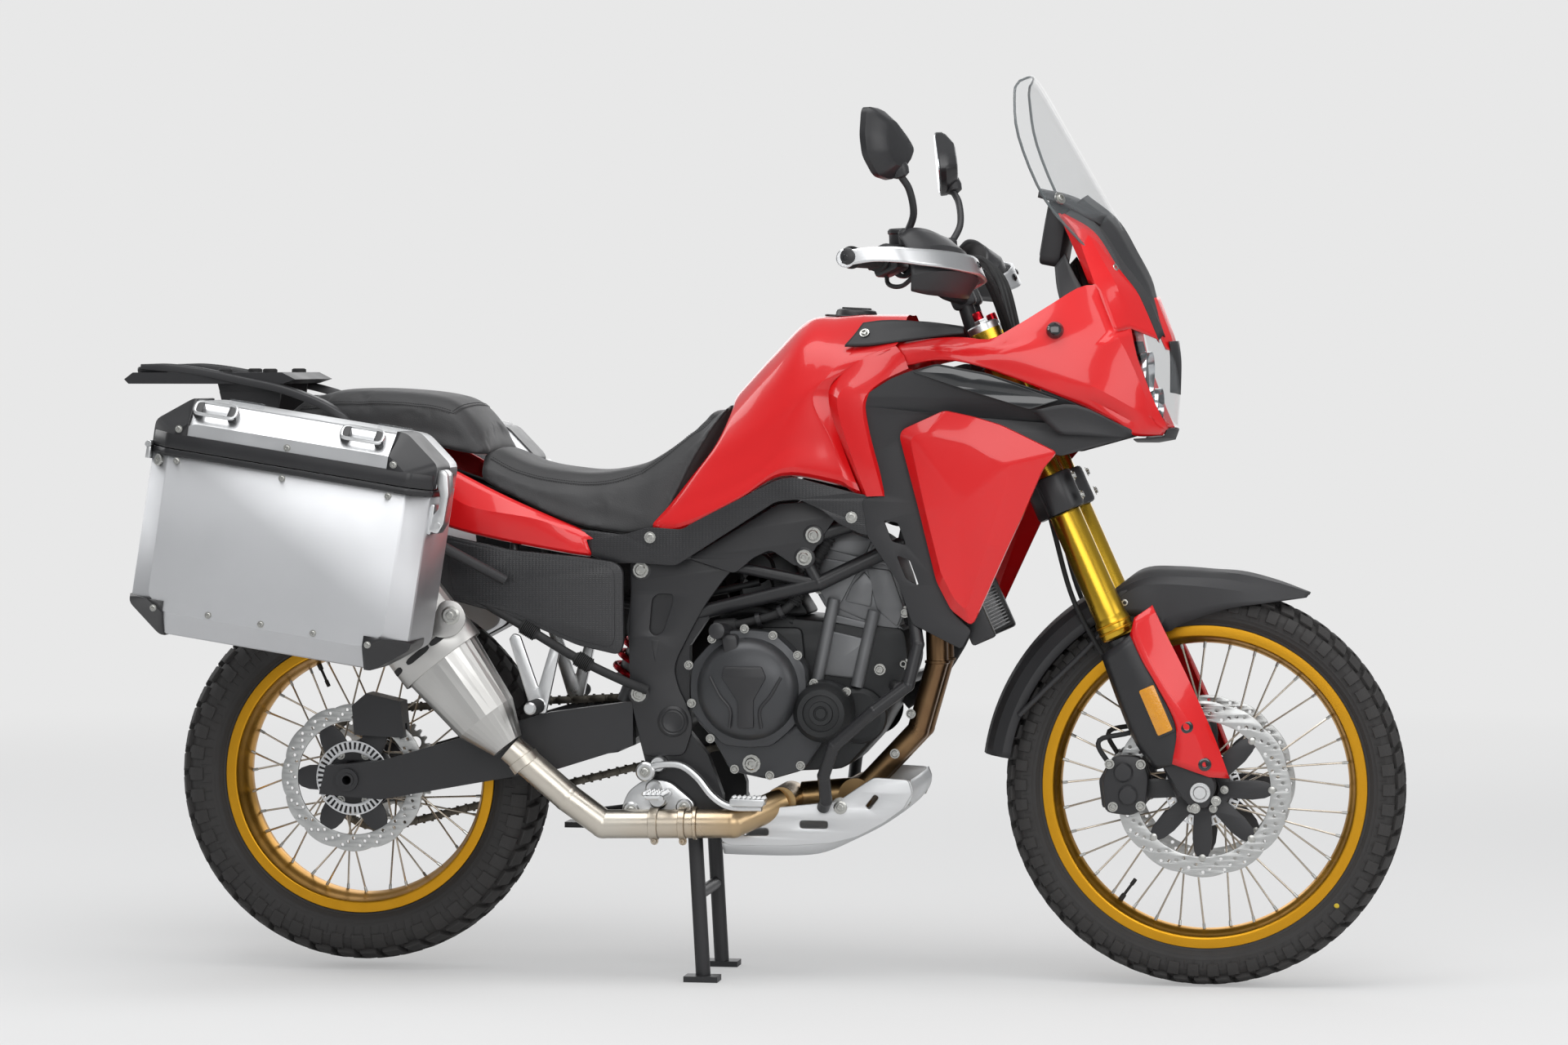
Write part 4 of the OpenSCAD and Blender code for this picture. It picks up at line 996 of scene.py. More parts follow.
rear_band = slab(
    [wave_outline(131, 4, 12), circle(101, 96)] + drilled((107, 114, 121), 24, 3.0), -2.4, 2.4, 0.6
)
rear_arms = slab(carrier(31, 104, 6, 26), -2.2, 2.2, 0.8)
rear_face = stand((0, REAR_DISC_Y, REAR_Z), LEFT)
piece(
    "rear_disc_band", copies(rear_band, rear_face), disc_steel, "rear_wheel_set", ["rear_disc"],
    sharp=30
)
piece(
    "rear_disc_arms",
    copies(join(rear_arms, turned([[30, 0], [60, 0], [62, 2], [62, 9], [30, 9], [30, 0]], 60)), rear_face),
    satin_black, "rear_wheel_set"
)
disc_bolts = bolts(bolt_circle(46, 6, [0, REAR_DISC_Y - 2.2, REAR_Z]), RIGHT, 5.5, 4)
piece("rear_disc_bolts", disc_bolts, bolt_zinc, "rear_wheel_set")
front_bolts = both(bolts(bolt_circle(38, 6, [FRONT_X, -78.5, FRONT_Z]), RIGHT, 5.0, 3.5))
piece("front_disc_bolts", front_bolts, bolt_zinc, "front_wheel_set")

# %% [markdown]
# A thin toothed ring beside each disc tells the brake control how fast the wheel turns. It is
# stamped from sheet, so it is a flat plate with one window for each tooth.

# %% Speed rings
def toothed_ring(r_in, r_out, teeth):
    """A thin ring with a window under each tooth."""
    t = np.linspace(0, 2 * np.pi, teeth, endpoint=False)
    w = 2 * np.pi / teeth * 0.24
    holes = [
        np.array([
            [r * math.cos(a + s * w), r * math.sin(a + s * w)]
            for r, s in ((r_in + 5, -1), (r_out - 2.5, -1), (r_out - 2.5, 1), (r_in + 5, 1))
        ])
        for a in t
    ]
    return slab([circle(r_out, 120), circle(r_in, 72)] + holes, -0.8, 0.8, 0.2)


piece(
    "front_speed_ring", copies(toothed_ring(49, 66, 42), stand((FRONT_X, -60, FRONT_Z), RIGHT)), brushed_edge,
    "front_wheel_set"
)
piece(
    "rear_speed_ring", copies(toothed_ring(46, 66, 42), stand((0, -104, REAR_Z), RIGHT)), brushed_edge,
    "rear_wheel_set"
)

# %% [markdown]
# ## Chain and sprocket
# A roller chain has a fixed pitch of 15.875 mm. Its path is the belt line round both sprockets:
# two arcs and two straight runs that touch them. The path is cut into equal steps, and an inner
# and an outer pair of plates follow each other along it, with a roller at every pin.

# %% Chain path and links
SMALL, SMALL_R, BIG_R, CHAIN_Y, CHAIN_PITCH = np.array([700.0, 455.0]), 40.0, 108.0, 98.0, 15.875
big = np.array([0.0, REAR_Z])
gap = SMALL - big
run = np.linalg.norm(gap)
tilt = math.atan2(gap[1], gap[0])
meet = math.acos((BIG_R - SMALL_R) / run)
over = np.linspace(tilt + meet, tilt - meet, 30)
under = np.linspace(tilt - meet, tilt + meet - 2 * math.pi, 60)
belt = np.vstack([
    SMALL + SMALL_R * np.stack([np.cos(over), np.sin(over)], -1),
    big + BIG_R * np.stack([np.cos(under), np.sin(under)], -1)
])
belt = np.vstack([belt, belt[:1]])
walked = np.concatenate([[0], np.cumsum(np.linalg.norm(np.diff(belt, axis=0), axis=1))])
links = int(round(walked[-1] / CHAIN_PITCH / 2)) * 2
steps = np.linspace(0, walked[-1], links, endpoint=False)
pins = np.stack([np.interp(steps, walked, belt[:, 0]), np.interp(steps, walked, belt[:, 1])], -1)
ahead = np.roll(pins, -1, 0) - pins
pitch = float(np.linalg.norm(ahead, axis=1).mean())
t = np.linspace(-1.9, 1.9, 7)
lobe = 6.6 * np.stack([np.cos(t), np.sin(t)], -1)
link_plate = np.vstack([lobe + [pitch / 2, 0], -lobe - [pitch / 2, 0]])
link_mid = (pins + np.roll(pins, -1, 0)) / 2
frames = stand(
    np.column_stack([link_mid[:, 0], np.full(links, CHAIN_Y), link_mid[:, 1]]), RIGHT,
    np.column_stack([-ahead[:, 1], 0 * ahead[:, 0], ahead[:, 0]])
)
inner = join(slab([link_plate], 4.4, 6.0, 0.2), slab([link_plate], -6.0, -4.4, 0.2))
outer = join(slab([link_plate], 6.4, 8.0, 0.2), slab([link_plate], -8.0, -6.4, 0.2))
pin = lathe(
    [[0, -8.6], [2.6, -8.6], [2.6, -4.4], [4.8, -4.3], [4.8, 4.3], [2.6, 4.4], [2.6, 8.6], [0, 8.6]], 10
)
pin_frames = stand(np.column_stack([pins[:, 0], np.full(links, CHAIN_Y), pins[:, 1]]))
chain_links = join(copies(inner, frames[::2]), copies(outer, frames[1::2]), copies(pin, pin_frames))
piece("chain_links", chain_links, chain_steel, "chassis", ["chain"])
print("chain of %d links, pitch %.2f mm" % (links, pitch))

# %% [markdown]
# The rear sprocket is a steel plate whose rim is cut into rounded teeth, one for each link. A
# clipped cosine gives the teeth their flat tips and roots, and ten holes make the plate lighter.

# %% Rear sprocket
teeth = 42
a = np.linspace(0, 2 * np.pi, teeth * 6, endpoint=False)
wave = np.cos(a * teeth)
tooth_r = 98.5 + 4.5 * np.clip(wave * 1.5, -1, 1)
sprocket_outline = np.stack([tooth_r * np.cos(a), tooth_r * np.sin(a)], -1)
sprocket_cut = [circle(31, 40)] + [circle(11, 16, tuple(c)) for c in circle(80, 10)]
sprocket = copies(slab([sprocket_outline] + sprocket_cut, -3.4, 3.4, 0.8), stand((0, CHAIN_Y, REAR_Z), LEFT))
piece("sprocket_plate", sprocket, disc_steel, "rear_wheel_set", ["rear_sprocket"])
piece(
    "sprocket_nuts", bolts(bolt_circle(56, 5, [0, CHAIN_Y + 3, REAR_Z]), LEFT, 7, 8, 6), bolt_zinc,
    "rear_wheel_set"
)


# %% [markdown]
# ## Red bodywork
# The tank cover, the cowl and the shrouds are painted mouldings with crisp facets between soft
# corners. Each is a smooth surface through a small table of points on one side, mirrored to the
# other. The table follows the creases of the real panel: where two rows lie close together the
# surface turns quickly and the light breaks there.

# %% Tank cover
def side(rows, per=6):
    """A side panel through rows of (forward, up, distance from the middle), drawn on the right-hand side."""
    rows = np.asarray(rows, float)[..., [0, 2, 1]] * [1, -1, 1]
    return grid(net(rows, per, per))


def trace(points, n=33):
    """A smooth curve through the points, read off at n even steps along its length."""
    fine = smooth(points, 12)
    run = np.append(0, np.cumsum(np.linalg.norm(np.diff(fine, axis=0), axis=1)))
    return np.stack([np.interp(np.linspace(0, run[-1], n), run, fine[:, k]) for k in range(3)], -1)


def facets(*creases, steps=4, bulge=0.0, n=33):
    """Flat faces between crease lines of (forward, up, distance out), swelling outwards by bulge."""
    lines = [c if len(c) == n else trace(c, n) for c in (np.asarray(c, float) for c in creases)]
    t = np.linspace(0, 1, steps + 1)[:, None, None]
    bands = [
        a + (b - a) * t + 4 * bulge * t * (1 - t) * np.array([0, 0, 1.0]) for a, b in zip(lines, lines[1:])
    ]
    P = np.concatenate([bands[0]] + [band[1:] for band in bands[1:]])
    return grid(P[..., [0, 2, 1]] * [1, -1, 1])


tank_rows = [
    [
        (676, 1012, 0), (674, 1008, 42), (679, 996, 92), (656, 938, 128), (615, 883, 134), (577, 834, 138),
        (545, 797, 140), (560, 798, 90), (566, 800, 0)
    ],
    [
        (682, 1026, 0), (680, 1022, 46), (683, 1002, 100), (664, 944, 138), (624, 886, 144), (588, 836, 148),
        (556, 793, 149), (570, 798, 90), (576, 802, 0)
    ],
    [
        (702, 1048, 0), (700, 1044, 52), (698, 1010, 114), (684, 952, 148), (648, 893, 154), (612, 842, 158),
        (582, 788, 157), (600, 796, 90), (606, 802, 0)
    ],
    [
        (750, 1098, 0), (748, 1094, 62), (744, 1050, 132), (732, 976, 164), (702, 914, 168), (668, 860, 170),
        (640, 808, 168), (650, 820, 90), (652, 826, 0)
    ],
    [
        (808, 1154, 0), (808, 1151, 68), (806, 1106, 144), (792, 1024, 174), (766, 952, 178), (738, 894, 180),
        (708, 845, 177), (712, 860, 90), (714, 866, 0)
    ],
    [
        (862, 1160, 0), (860, 1157, 73), (854, 1112, 148), (836, 1050, 176), (814, 1010, 181),
        (800, 944, 186), (782, 887, 184), (786, 896, 90), (788, 900, 0)
    ],
    [
        (905, 1163, 0), (903, 1160, 74), (898, 1106, 156), (862, 1062, 178), (834, 1018, 182),
        (862, 950, 188), (878, 874, 189), (876, 886, 90), (876, 890, 0)
    ],
    [
        (915, 1163, 0), (913, 1160, 74), (912, 1107, 158), (868, 1064, 178), (838, 1019, 182),
        (872, 942, 189), (904, 862, 191), (900, 878, 90), (900, 882, 0)
    ],
    [
        (985, 1164, 0), (984, 1160, 70), (979, 1112, 172), (892, 1067, 177), (862, 1026, 176),
        (885, 943, 180), (923, 853, 189), (918, 870, 90), (918, 876, 0)
    ],
]
valley = [
    (979, 1110, 176), (928, 1093, 177), (889, 1065, 177), (865, 1039, 176), (862, 1020, 176), (868, 989, 177),
    (887, 939, 180), (910, 882, 185), (923, 853, 189)
]
crest = [
    (994, 1093, 184), (942, 1068, 193), (906, 1045, 200), (889, 1035, 203), (881, 1016, 205), (887, 980, 206),
    (904, 930, 208), (920, 885, 208), (933, 853, 206)
]
outer = [
    (1002, 1072, 187), (965, 1054, 198), (938, 1034, 206), (927, 1014, 210), (928, 985, 212), (938, 940, 213),
    (950, 896, 213), (961, 854, 208)
]
under = np.array(valley) - [8, 0, 9]
turned_in = np.array(outer) + [10, -4, -16]
tank = join(side(tank_rows), facets(under, valley, crest, outer, turned_in, steps=3, bulge=1.2))
piece("tank_cover", both(tank), red_lacquer, "chassis", ["fuel_tank"], sharp=15)

# %% [markdown]
# The filler sits in a black panel let into the top of the tank, and two black wedges with a bolt
# each close the gap between the tank and the cowl.

# %% Tank top trims
wedge = side([
    [(888, 1108, 158), (904, 1128, 147), (916, 1147, 130)],
    [(926, 1109, 162), (938, 1130, 146), (948, 1151, 126)],
    [(965, 1113, 162), (975, 1134, 146), (986, 1151, 127)],
    [(1030, 1122, 164), (1030, 1136, 152), (1030, 1146, 138)],
    [(1094, 1130, 166), (1094, 1133, 160), (1092, 1136, 154)]
])
piece("tank_wedges", both(moved(wedge, [0, -3, 2])), black_grained, "chassis", wall=5)
piece("wedge_bolts", both(bolts([[921, -153, 1133]], (-0.15, -0.78, 0.62), 6, 4)), bolt_zinc, "chassis")
filler_up = (0.05, 0, 1)
cap = join(
    disc_plate(
        [soft([[-52, -44], [58, -36], [58, 36], [-52, 44]], 16)], 0, 4, (885, 0, 1160), filler_up, LEFT, 2
    ),
    lathe([[0, 13], [30, 13], [34, 11], [36, 7], [37, 0]], 40, at=(885, 0, 1162), axis=filler_up, up=LEFT),
    disc_plate([rounded(26, 8, 5)], 12, 16, (885, 0, 1162), filler_up, LEFT, 1.5)
)
piece("filler_cap", cap, black_smooth, "chassis")

# %% [markdown]
# The cowl runs from the tank seam forwards in one blade, rises beside the screen in a tall wing
# and folds round the lamp. Its flat faces meet in crease lines, so the lines are written down
# and the faces are drawn straight between them. Five faces meet in one corner beside the lamp.

# %% Cowl sides, wings and nose
low_edge = [
    (998, 1076, 186), (1056, 1086, 197), (1121, 1077, 198), (1229, 1038, 191), (1314, 1001, 171),
    (1356, 979, 153), (1384, 957, 130), (1428, 957, 72)
]
lower = [
    (988, 1088, 180), (1056, 1096, 196), (1113, 1084, 200), (1229, 1057, 194), (1314, 1018, 175),
    (1384, 979, 134), (1406, 968, 112), (1430, 961, 75)
]
ridge = [
    (978, 1099, 171), (1050, 1108, 190), (1113, 1096, 198), (1200, 1091, 197), (1315, 1042, 180),
    (1381, 1005, 144), (1413, 985, 106), (1433, 966, 76)
]
fold = trace(
    [
        (970, 1107, 162), (1048, 1116, 180), (1110, 1109, 190), (1164, 1109, 191), (1222, 1124, 184),
        (1290, 1134, 173), (1352, 1133, 157)
    ],
    25
)
brim = trace([(1352, 1133, 157), (1372, 1096, 147), (1397, 1035, 128), (1417, 978, 100), (1433, 966, 76)], 17)
top = trace(
    [
        (966, 1112, 152), (1046, 1123, 166), (1097, 1124, 172), (1141, 1121, 178), (1184, 1143, 172),
        (1243, 1180, 160), (1290, 1209, 150), (1318, 1214, 149)
    ],
    25
)
wing_rear = trace([(1251, 1338, 107), (1275, 1287, 119), (1292, 1250, 126), (1306, 1217, 133)], 17)
wing_fold = trace([(1257, 1335, 113), (1283, 1304, 127), (1300, 1261, 138), (1318, 1214, 149)], 17)
wing_down = np.concatenate([wing_fold, trace([wing_fold[-1], fold[-1]], 9)[1:]])
wing_middle = [(1259, 1336, 110), (1298, 1305, 117), (1328, 1255, 121), (1352, 1212, 126), (1376, 1140, 119)]
wing_front = trace(
    [
        (1260, 1337, 106), (1311, 1305, 98), (1350, 1246, 88), (1380, 1207, 82), (1394, 1180, 78),
        (1418, 1122, 66)
    ],
    25
)
lens_edge = trace(
    [(1376, 1140, 119), (1383, 1105, 119), (1392, 1074, 115), (1417, 1009, 101), (1437, 968, 74)], 17
)
flank = join(
    facets(low_edge, lower, ridge, np.concatenate([fold, brim[1:]]), steps=3, bulge=0.9, n=41),
    facets(fold, top, top - [2, 8, 16], bulge=1.2, n=25),
    facets(wing_rear + [4, -2, -12], wing_rear, wing_fold, steps=3, n=17),
    facets(wing_down, wing_middle, wing_front, wing_front + [2, -6, -10], bulge=0.8, n=25),
    facets(brim, lens_edge, lens_edge - [14, 0, 10], steps=3, n=17),
)
piece("cowl_sides", both(flank), red_lacquer, "chassis", ["headlight_cowl"], sharp=12, wall=2)
nose = facets(
    [(1398, 1190, 60), (1412, 1156, 62), (1422, 1126, 56), (1431, 1104, 47)],
    [(1412, 1194, 28), (1426, 1158, 30), (1438, 1126, 28), (1444, 1102, 24)],
    [(1415, 1196, 0), (1430, 1158, 0), (1442, 1125, 0), (1448, 1100, 0)], bulge=0.5, n=17
)
piece("cowl_nose", both(nose), red_lacquer, "chassis", sharp=12, wall=2)
base = facets(
    wing_front + [0, -4, -3], wing_front + [10, 8, -7],
    [
        (1286, 1364, 60), (1336, 1322, 58), (1372, 1262, 54), (1396, 1222, 50), (1410, 1186, 46),
        (1430, 1122, 36)
    ],
    [(1290, 1372, 0), (1344, 1328, 0), (1380, 1268, 0), (1402, 1226, 0), (1412, 1190, 0), (1434, 1122, 0)],
    n=25
)
piece("screen_base", both(base), black_grained, "chassis", sharp=20, wall=2)
chin = facets(
    [(1384, 951, 150), (1384, 946, 80), (1384, 944, 0)], [(1408, 952, 112), (1412, 946, 64), (1416, 944, 0)],
    [(1430, 954, 72), (1440, 951, 40), (1444, 949, 0)], [(1436, 968, 70), (1446, 968, 38), (1450, 966, 0)],
    n=9
)
piece("cowl_chin", both(chin), black_grained, "chassis", wall=2.4)

# %% [markdown]
# The shrouds stand out beside the radiator. A raised diamond in each has a flat face and a broad
# bevel all round, so its table has an outer frame of points and an inner one.

# %% Shrouds
outer_edge = np.array([
    (1068, 1001, 226), (1120, 990, 232), (1167, 976, 234), (1261, 930, 224), (1237, 902, 222),
    (1207, 833, 218), (1177, 769, 214), (1118, 639, 204), (1110, 634, 204), (1078, 659, 206),
    (1053, 708, 210), (1023, 832, 216), (990, 956, 216), (995, 968, 217)
])
face_edge = np.array([
    (1046, 966, 243), (1110, 952, 245), (1160, 922, 246), (1180, 912, 244), (1182, 890, 242),
    (1164, 830, 239), (1144, 772, 235), (1108, 668, 222), (1103, 662, 221), (1085, 680, 222),
    (1063, 724, 227), (1037, 832, 236), (1012, 950, 240), (1020, 958, 242)
])


def ring_panel(*loops, per=4):
    """A panel between closed outlines, from the outermost to the innermost, closed with a fan."""
    rings = np.stack([soft(np.asarray(loop, float), 9, per)[..., [0, 2, 1]] * [1, -1, 1] for loop in loops])
    return join(grid(rings, wrap_v=True), fan(rings[-1]))


inner_face = face_edge * [0.92, 0.92, 1] + np.append(face_edge[:, :2].mean(0) * 0.08, 1.0)
back_edge = outer_edge - [0, 0, 9]
shroud = ring_panel(
    back_edge, outer_edge - [0, 0, 2],
    outer_edge * [0.994, 0.994, 1] + np.append(outer_edge[:, :2].mean(0) * 0.006, 2), face_edge, inner_face
)
piece("side_shrouds_red", both(shroud), red_lacquer, "chassis", ["side_shrouds"], sharp=24)

# %% [markdown]
# Behind the red parts lies a black inner panel shaped like a seven. It carries a smoked glossy
# strip under the blade, and lower down two slots that let hot air out of the radiator.

# %% Inner trims
seven = np.array([
    (925, 1024), (973, 1054), (1003, 1066), (1053, 1080), (1138, 1064), (1273, 1019), (1384, 966),
    (1370, 952), (1262, 922), (1180, 960), (1068, 992), (1006, 962), (996, 950), (1024, 836), (1056, 704),
    (1082, 652), (1112, 624), (1094, 592), (1010, 634), (986, 706), (934, 784), (924, 848), (964, 856),
    (944, 920), (930, 1000)
])
slots = [
    np.array(s, float)
    for s in (
        [(962, 812), (986, 808), (1000, 770), (976, 776)], [(984, 752), (1006, 744), (1022, 700), (1000, 712)]
    )
]
trim = slab([soft(seven, 7, 4)] + [soft(s, 4, 3) for s in slots], 0, 5, 1.5)
V = trim[0]
lean_out = 205 - 0.0011 * (V[:, 0] - 1080) ** 2 * (V[:, 0] > 1080) * 0.55 - 0.06 * np.maximum(
    800 - V[:, 1], 0
)
trim = (np.column_stack([V[:, 0], -(lean_out - V[:, 2]), V[:, 1]]), trim[1], trim[2])
piece("inner_trims", both(trim), black_grained, "chassis", ["side_trims"])
strip = slab(
    [soft(
        np.array([(1010, 1066), (1053, 1077), (1138, 1061), (1262, 1018), (1211, 1002), (1088, 1040)]), 5, 4
    )],
    0, 3, 1
)
V = strip[0]
strip = (
    np.column_stack([V[:, 0], -(208 - 0.0006 * np.maximum(V[:, 0] - 1080, 0) ** 2 - V[:, 2]), V[:, 1]]),
    strip[1], strip[2]
)
piece("smoked_strips", both(strip), gloss_black, "chassis")
flute = side(
    [
        [(1214, 1000, 200), (1290, 1010, 196), (1378, 968, 182)],
        [(1232, 985, 197), (1300, 982, 190), (1384, 960, 178)],
        [(1262, 960, 196), (1310, 958, 190), (1376, 953, 176)]
    ],
    4
)
piece("cowl_underside", both(flute), black_grained, "chassis", wall=2)

# %% [markdown]
# A strip of ribbed film follows the lower edge of the tank, and a broad ribbed cover closes the
# tail below the seat. Both are flat mouldings with rounded rims.

# %% Side covers
strip_line = np.array(
    [
        (404, 794), (440, 790), (500, 783), (545, 797), (605, 793), (630, 808), (773, 880), (804, 886),
        (915, 858), (962, 850), (952, 786), (925, 787), (885, 805), (854, 829), (814, 847), (773, 843),
        (594, 730), (528, 734), (470, 734), (420, 756)
    ],
    float
)
film = slab([soft(strip_line, 10, 4)], 0, 5, 1.6)
V = film[0]
film = (
    np.column_stack([V[:, 0], -(V[:, 2] + 150 + 48 * np.clip((V[:, 0] - 480) / 400, 0, 1) ** 0.8), V[:, 1]]),
    film[1], film[2]
)
piece("tank_edge_strips", both(film), ribbed_film, "chassis")
cover = np.array(
    [
        (160, 786), (300, 756), (420, 745), (485, 736), (500, 724), (501, 590), (492, 574), (420, 590),
        (300, 640), (176, 672)
    ],
    float
)
panel = plate([soft(cover, 12, 5)], -168, -156, 3)
field = plate([soft(cover * 0.88 + cover.mean(0) * 0.12, 10, 5)], -170, -166, 1.2)
piece("side_covers", both(join(panel, field)), ribbed_film, "chassis")
tail = facets(
    [(60, 954, 134), (130, 930, 148), (193, 897, 156), (300, 844, 156), (408, 797, 154), (458, 776, 146)],
    [(66, 925, 146), (135, 892, 163), (197, 848, 171), (241, 828, 173), (352, 808, 172), (434, 774, 160)],
    [(108, 862, 150), (150, 820, 162), (189, 801, 167), (274, 780, 168), (400, 757, 167), (442, 750, 157)],
    [(112, 856, 142), (152, 814, 153), (191, 795, 158), (276, 774, 159), (400, 751, 158), (440, 745, 148)],
    steps=4, bulge=1.2, n=33
)
piece("tail_panels_red", both(tail), red_lacquer, "chassis", ["tail_panels"], wall=3, sharp=15)

# %% [markdown]
# ## Lamps, screen and dash
# The headlamp is a clear lens over two chromed bowls with a dark brow between them. The lens is
# a surface through four bands of points across the nose. The screen is a sheet bent back at its
# edges: for a fraction f across, a point moves back by the sweep times f squared.

# %% Headlamp
lens_rows = np.array(
    [
        [(1380, 109, 1144), (1418, 62, 1121), (1441, 0, 1118)],
        [(1394, 104, 1084), (1432, 62, 1086), (1449, 0, 1084)],
        [(1409, 97, 1030), (1439, 54, 1032), (1452, 0, 1032)],
        [(1424, 86, 996), (1443, 46, 996), (1450, 0, 996)], [(1437, 71, 978), (1445, 38, 972), (1448, 0, 970)]
    ],
    float
)
lens_half = net(lens_rows, 6, 6)
piece("headlamp_lens", both(grid(lens_half)), lamp_lens, "chassis", ["headlight"], wall=2)
bowl = join(
    lathe(
        [[0, -34], [16, -31], [30, -21], [40, -4], [43, 4], [45, 4], [45, 0], [40, -12]], 40,
        at=(1392, -56, 1056), axis=(1, 0.1, -0.05)
    ),
    lathe(
        [[0, -22], [22, -19], [30, -6], [31, 2], [33, 2], [33, -4]], 36, at=(1414, -42, 1004),
        axis=(1, 0.1, -0.05)
    )
)
bulb = join(
    lathe([[0, 12], [9, 9], [14, 0], [14, -14]], 24, at=(1378, -56, 1056), axis=(1, 0.1, 0)),
    lathe([[0, 8], [7, 6], [10, 0], [10, -10]], 20, at=(1404, -42, 1004), axis=(1, 0.1, 0))
)
piece("headlamp_bowls", both(bowl), lamp_bowl, "chassis")
piece("headlamp_projectors", both(bulb), dial_glass, "chassis")
back = np.stack(
    [lens_rows[..., 0] - 34 - 20 * (lens_rows[..., 1] < 80), lens_rows[..., 1] * 0.94, lens_rows[..., 2]], -1
)
piece("headlamp_shell", both(grid(net(back, 4, 4))), black_smooth, "chassis", wall=2)
brow = net(
    [
        [(1437, 46, 1118), (1447, 20, 1119), (1449, 0, 1119)],
        [(1438, 30, 1086), (1448, 14, 1082), (1453, 0, 1082)],
        [(1436, 12, 1030), (1446, 8, 1028), (1452, 0, 1026)]
    ],
    5, 5
)
piece("headlamp_brow", both(grid(brow)), black_smooth, "chassis", wall=3)
marker = lathe(
    [[0, 13], [9, 11], [14, 5], [15, 0], [15, -8]], 24, at=(1253, -184, 1137), axis=(0.2, -1, 0.15)
)
piece("marker_lamps", both(marker), gloss_black, "chassis")

# %% [markdown]
# The screen is one sheet of clear plastic, heated and bent over a form. Its outline narrows towards
# the top, and its polished edge shows darker than the sheet, so the edge is a thin rim of its own.

# %% Screen
SCREEN = np.array(
    [
        [92, 40, 1400, 1216], [128, 64, 1364, 1290], [152, 86, 1318, 1372], [150, 70, 1256, 1480],
        [120, 36, 1212, 1556], [84, 14, 1194, 1578]
    ],
    float
)


def screen_at(rows, f):
    """Rows of (half width, sweep, forward, up) at fractions f across, moved back by sweep f squared."""
    w, s, x, z = np.asarray(rows, float).T[..., None]
    return np.stack([x - s * f**2, w * f, z - 12 * f**2], -1)


f = np.linspace(-1, 1, 41)
sheet_rows = smooth(SCREEN, 8)
piece(
    "screen_sheet", grid(screen_at(sheet_rows, f)), clear_screen, "chassis", ["windscreen"],
    wall=4
)
border = np.concatenate([
    screen_at(sheet_rows, f[:1])[:, 0], screen_at(sheet_rows, f)[-1], screen_at(sheet_rows, f[-1:])[::-1, 0],
    screen_at(sheet_rows, f)[0, ::-1]
])
piece(
    "screen_rim", along(border[::2], circle(2.4, 8), wrap=True), smoked_edge, "chassis"
)
stud_rows = sheet_rows[[4, 16]]
screen_out = (0.72, -0.55, 0.42)
studs = screen_at(stud_rows, np.array([-0.86]))[:, 0] + [2, -2, 0]
piece(
    "screen_studs",
    both(join(
        bolts(studs, screen_out, 6, 4),
        copies(turned([[0, 0.5], [11, 0.5], [11, -3], [0, -3]], 16), stand(studs, screen_out))
    )),
    bolt_zinc, "chassis"
)

# %% [markdown]
# The display sits in a moulded case under a hood that shades it. It stays blank here. Case and
# glass are softened rectangles, tilted towards the rider on a bracket of bent tube.

# %% Dash
hood = net(
    [
        [(1214, 96, 1368), (1212, 60, 1378), (1210, 0, 1382)],
        [(1262, 104, 1352), (1264, 64, 1364), (1266, 0, 1368)],
        [(1322, 92, 1318), (1326, 60, 1332), (1330, 0, 1336)]
    ],
    6, 6
)
piece("dash_hood", both(grid(hood)), black_grained, "chassis", wall=5, sharp=45)
tilted = stand((1230, 0, 1312), (-0.985, 0, 0.17), (0.17, 0, 0.985))
shell = copies(
    slab([soft([[-86, -62], [86, -62], [92, 10], [84, 60], [-84, 60], [-92, 10]], 16, 5)], -30, 6, 5), tilted
)
glass = copies(
    slab([soft([[-74, -48], [74, -48], [78, 8], [72, 48], [-72, 48], [-78, 8]], 8, 5)], 4, 8, 1), tilted
)
bracket = both(pipe([(1174, -22, 980), (1232, -22, 1000), (1290, -22, 1120), (1262, -34, 1250)], 8))
piece("dash_case", join(shell, bracket), black_grained, "chassis", ["dash"])
piece("dash_display", glass, dial_glass, "chassis")
filler = net(
    [
        [(1262, 1172, 150), (1250, 1210, 120), (1244, 1246, 96)],
        [(1296, 1206, 140), (1276, 1240, 122), (1262, 1268, 104)]
    ],
    5, 5
)[..., [0, 2, 1]] * [1, -1, 1]
piece("dash_side_fillers", both(grid(filler)), black_grained, "chassis", wall=3)


# %% [markdown]
# ## Front end
# Everything that turns with the bars is measured along the steering axis: how far ahead of it,
# how far sideways, and how far up it from the lower clamp. The axis leans back by the rake.

# %% Measuring along the steering axis
RAKE = math.radians(24)
NECK = np.array([1225.0, 845.0])
LEAN = (-math.sin(RAKE), 0, math.cos(RAKE))


def steered(points):
    """(ahead, sideways, up) along the steering axis turned to stations."""
    p = np.asarray(points, float)
    return np.stack(
        [
            NECK[0] + p[..., 0] * math.cos(RAKE) - p[..., 2] * math.sin(RAKE), p[..., 1],
            NECK[1] + p[..., 0] * math.sin(RAKE) + p[..., 2] * math.cos(RAKE)
        ],
        -1
    )


def steered_part(part):
    """A part built along the steering axis, turned to stations."""
    return steered(part[0]), part[1], part[2]


# %% [markdown]
# The fork is upside-down: wide gold-anodised tubes held in the clamps, and slim legs that slide
# in from below. A ringed collar holds the seal at the foot of each gold tube. The silver cap on
# top carries a red adjuster.

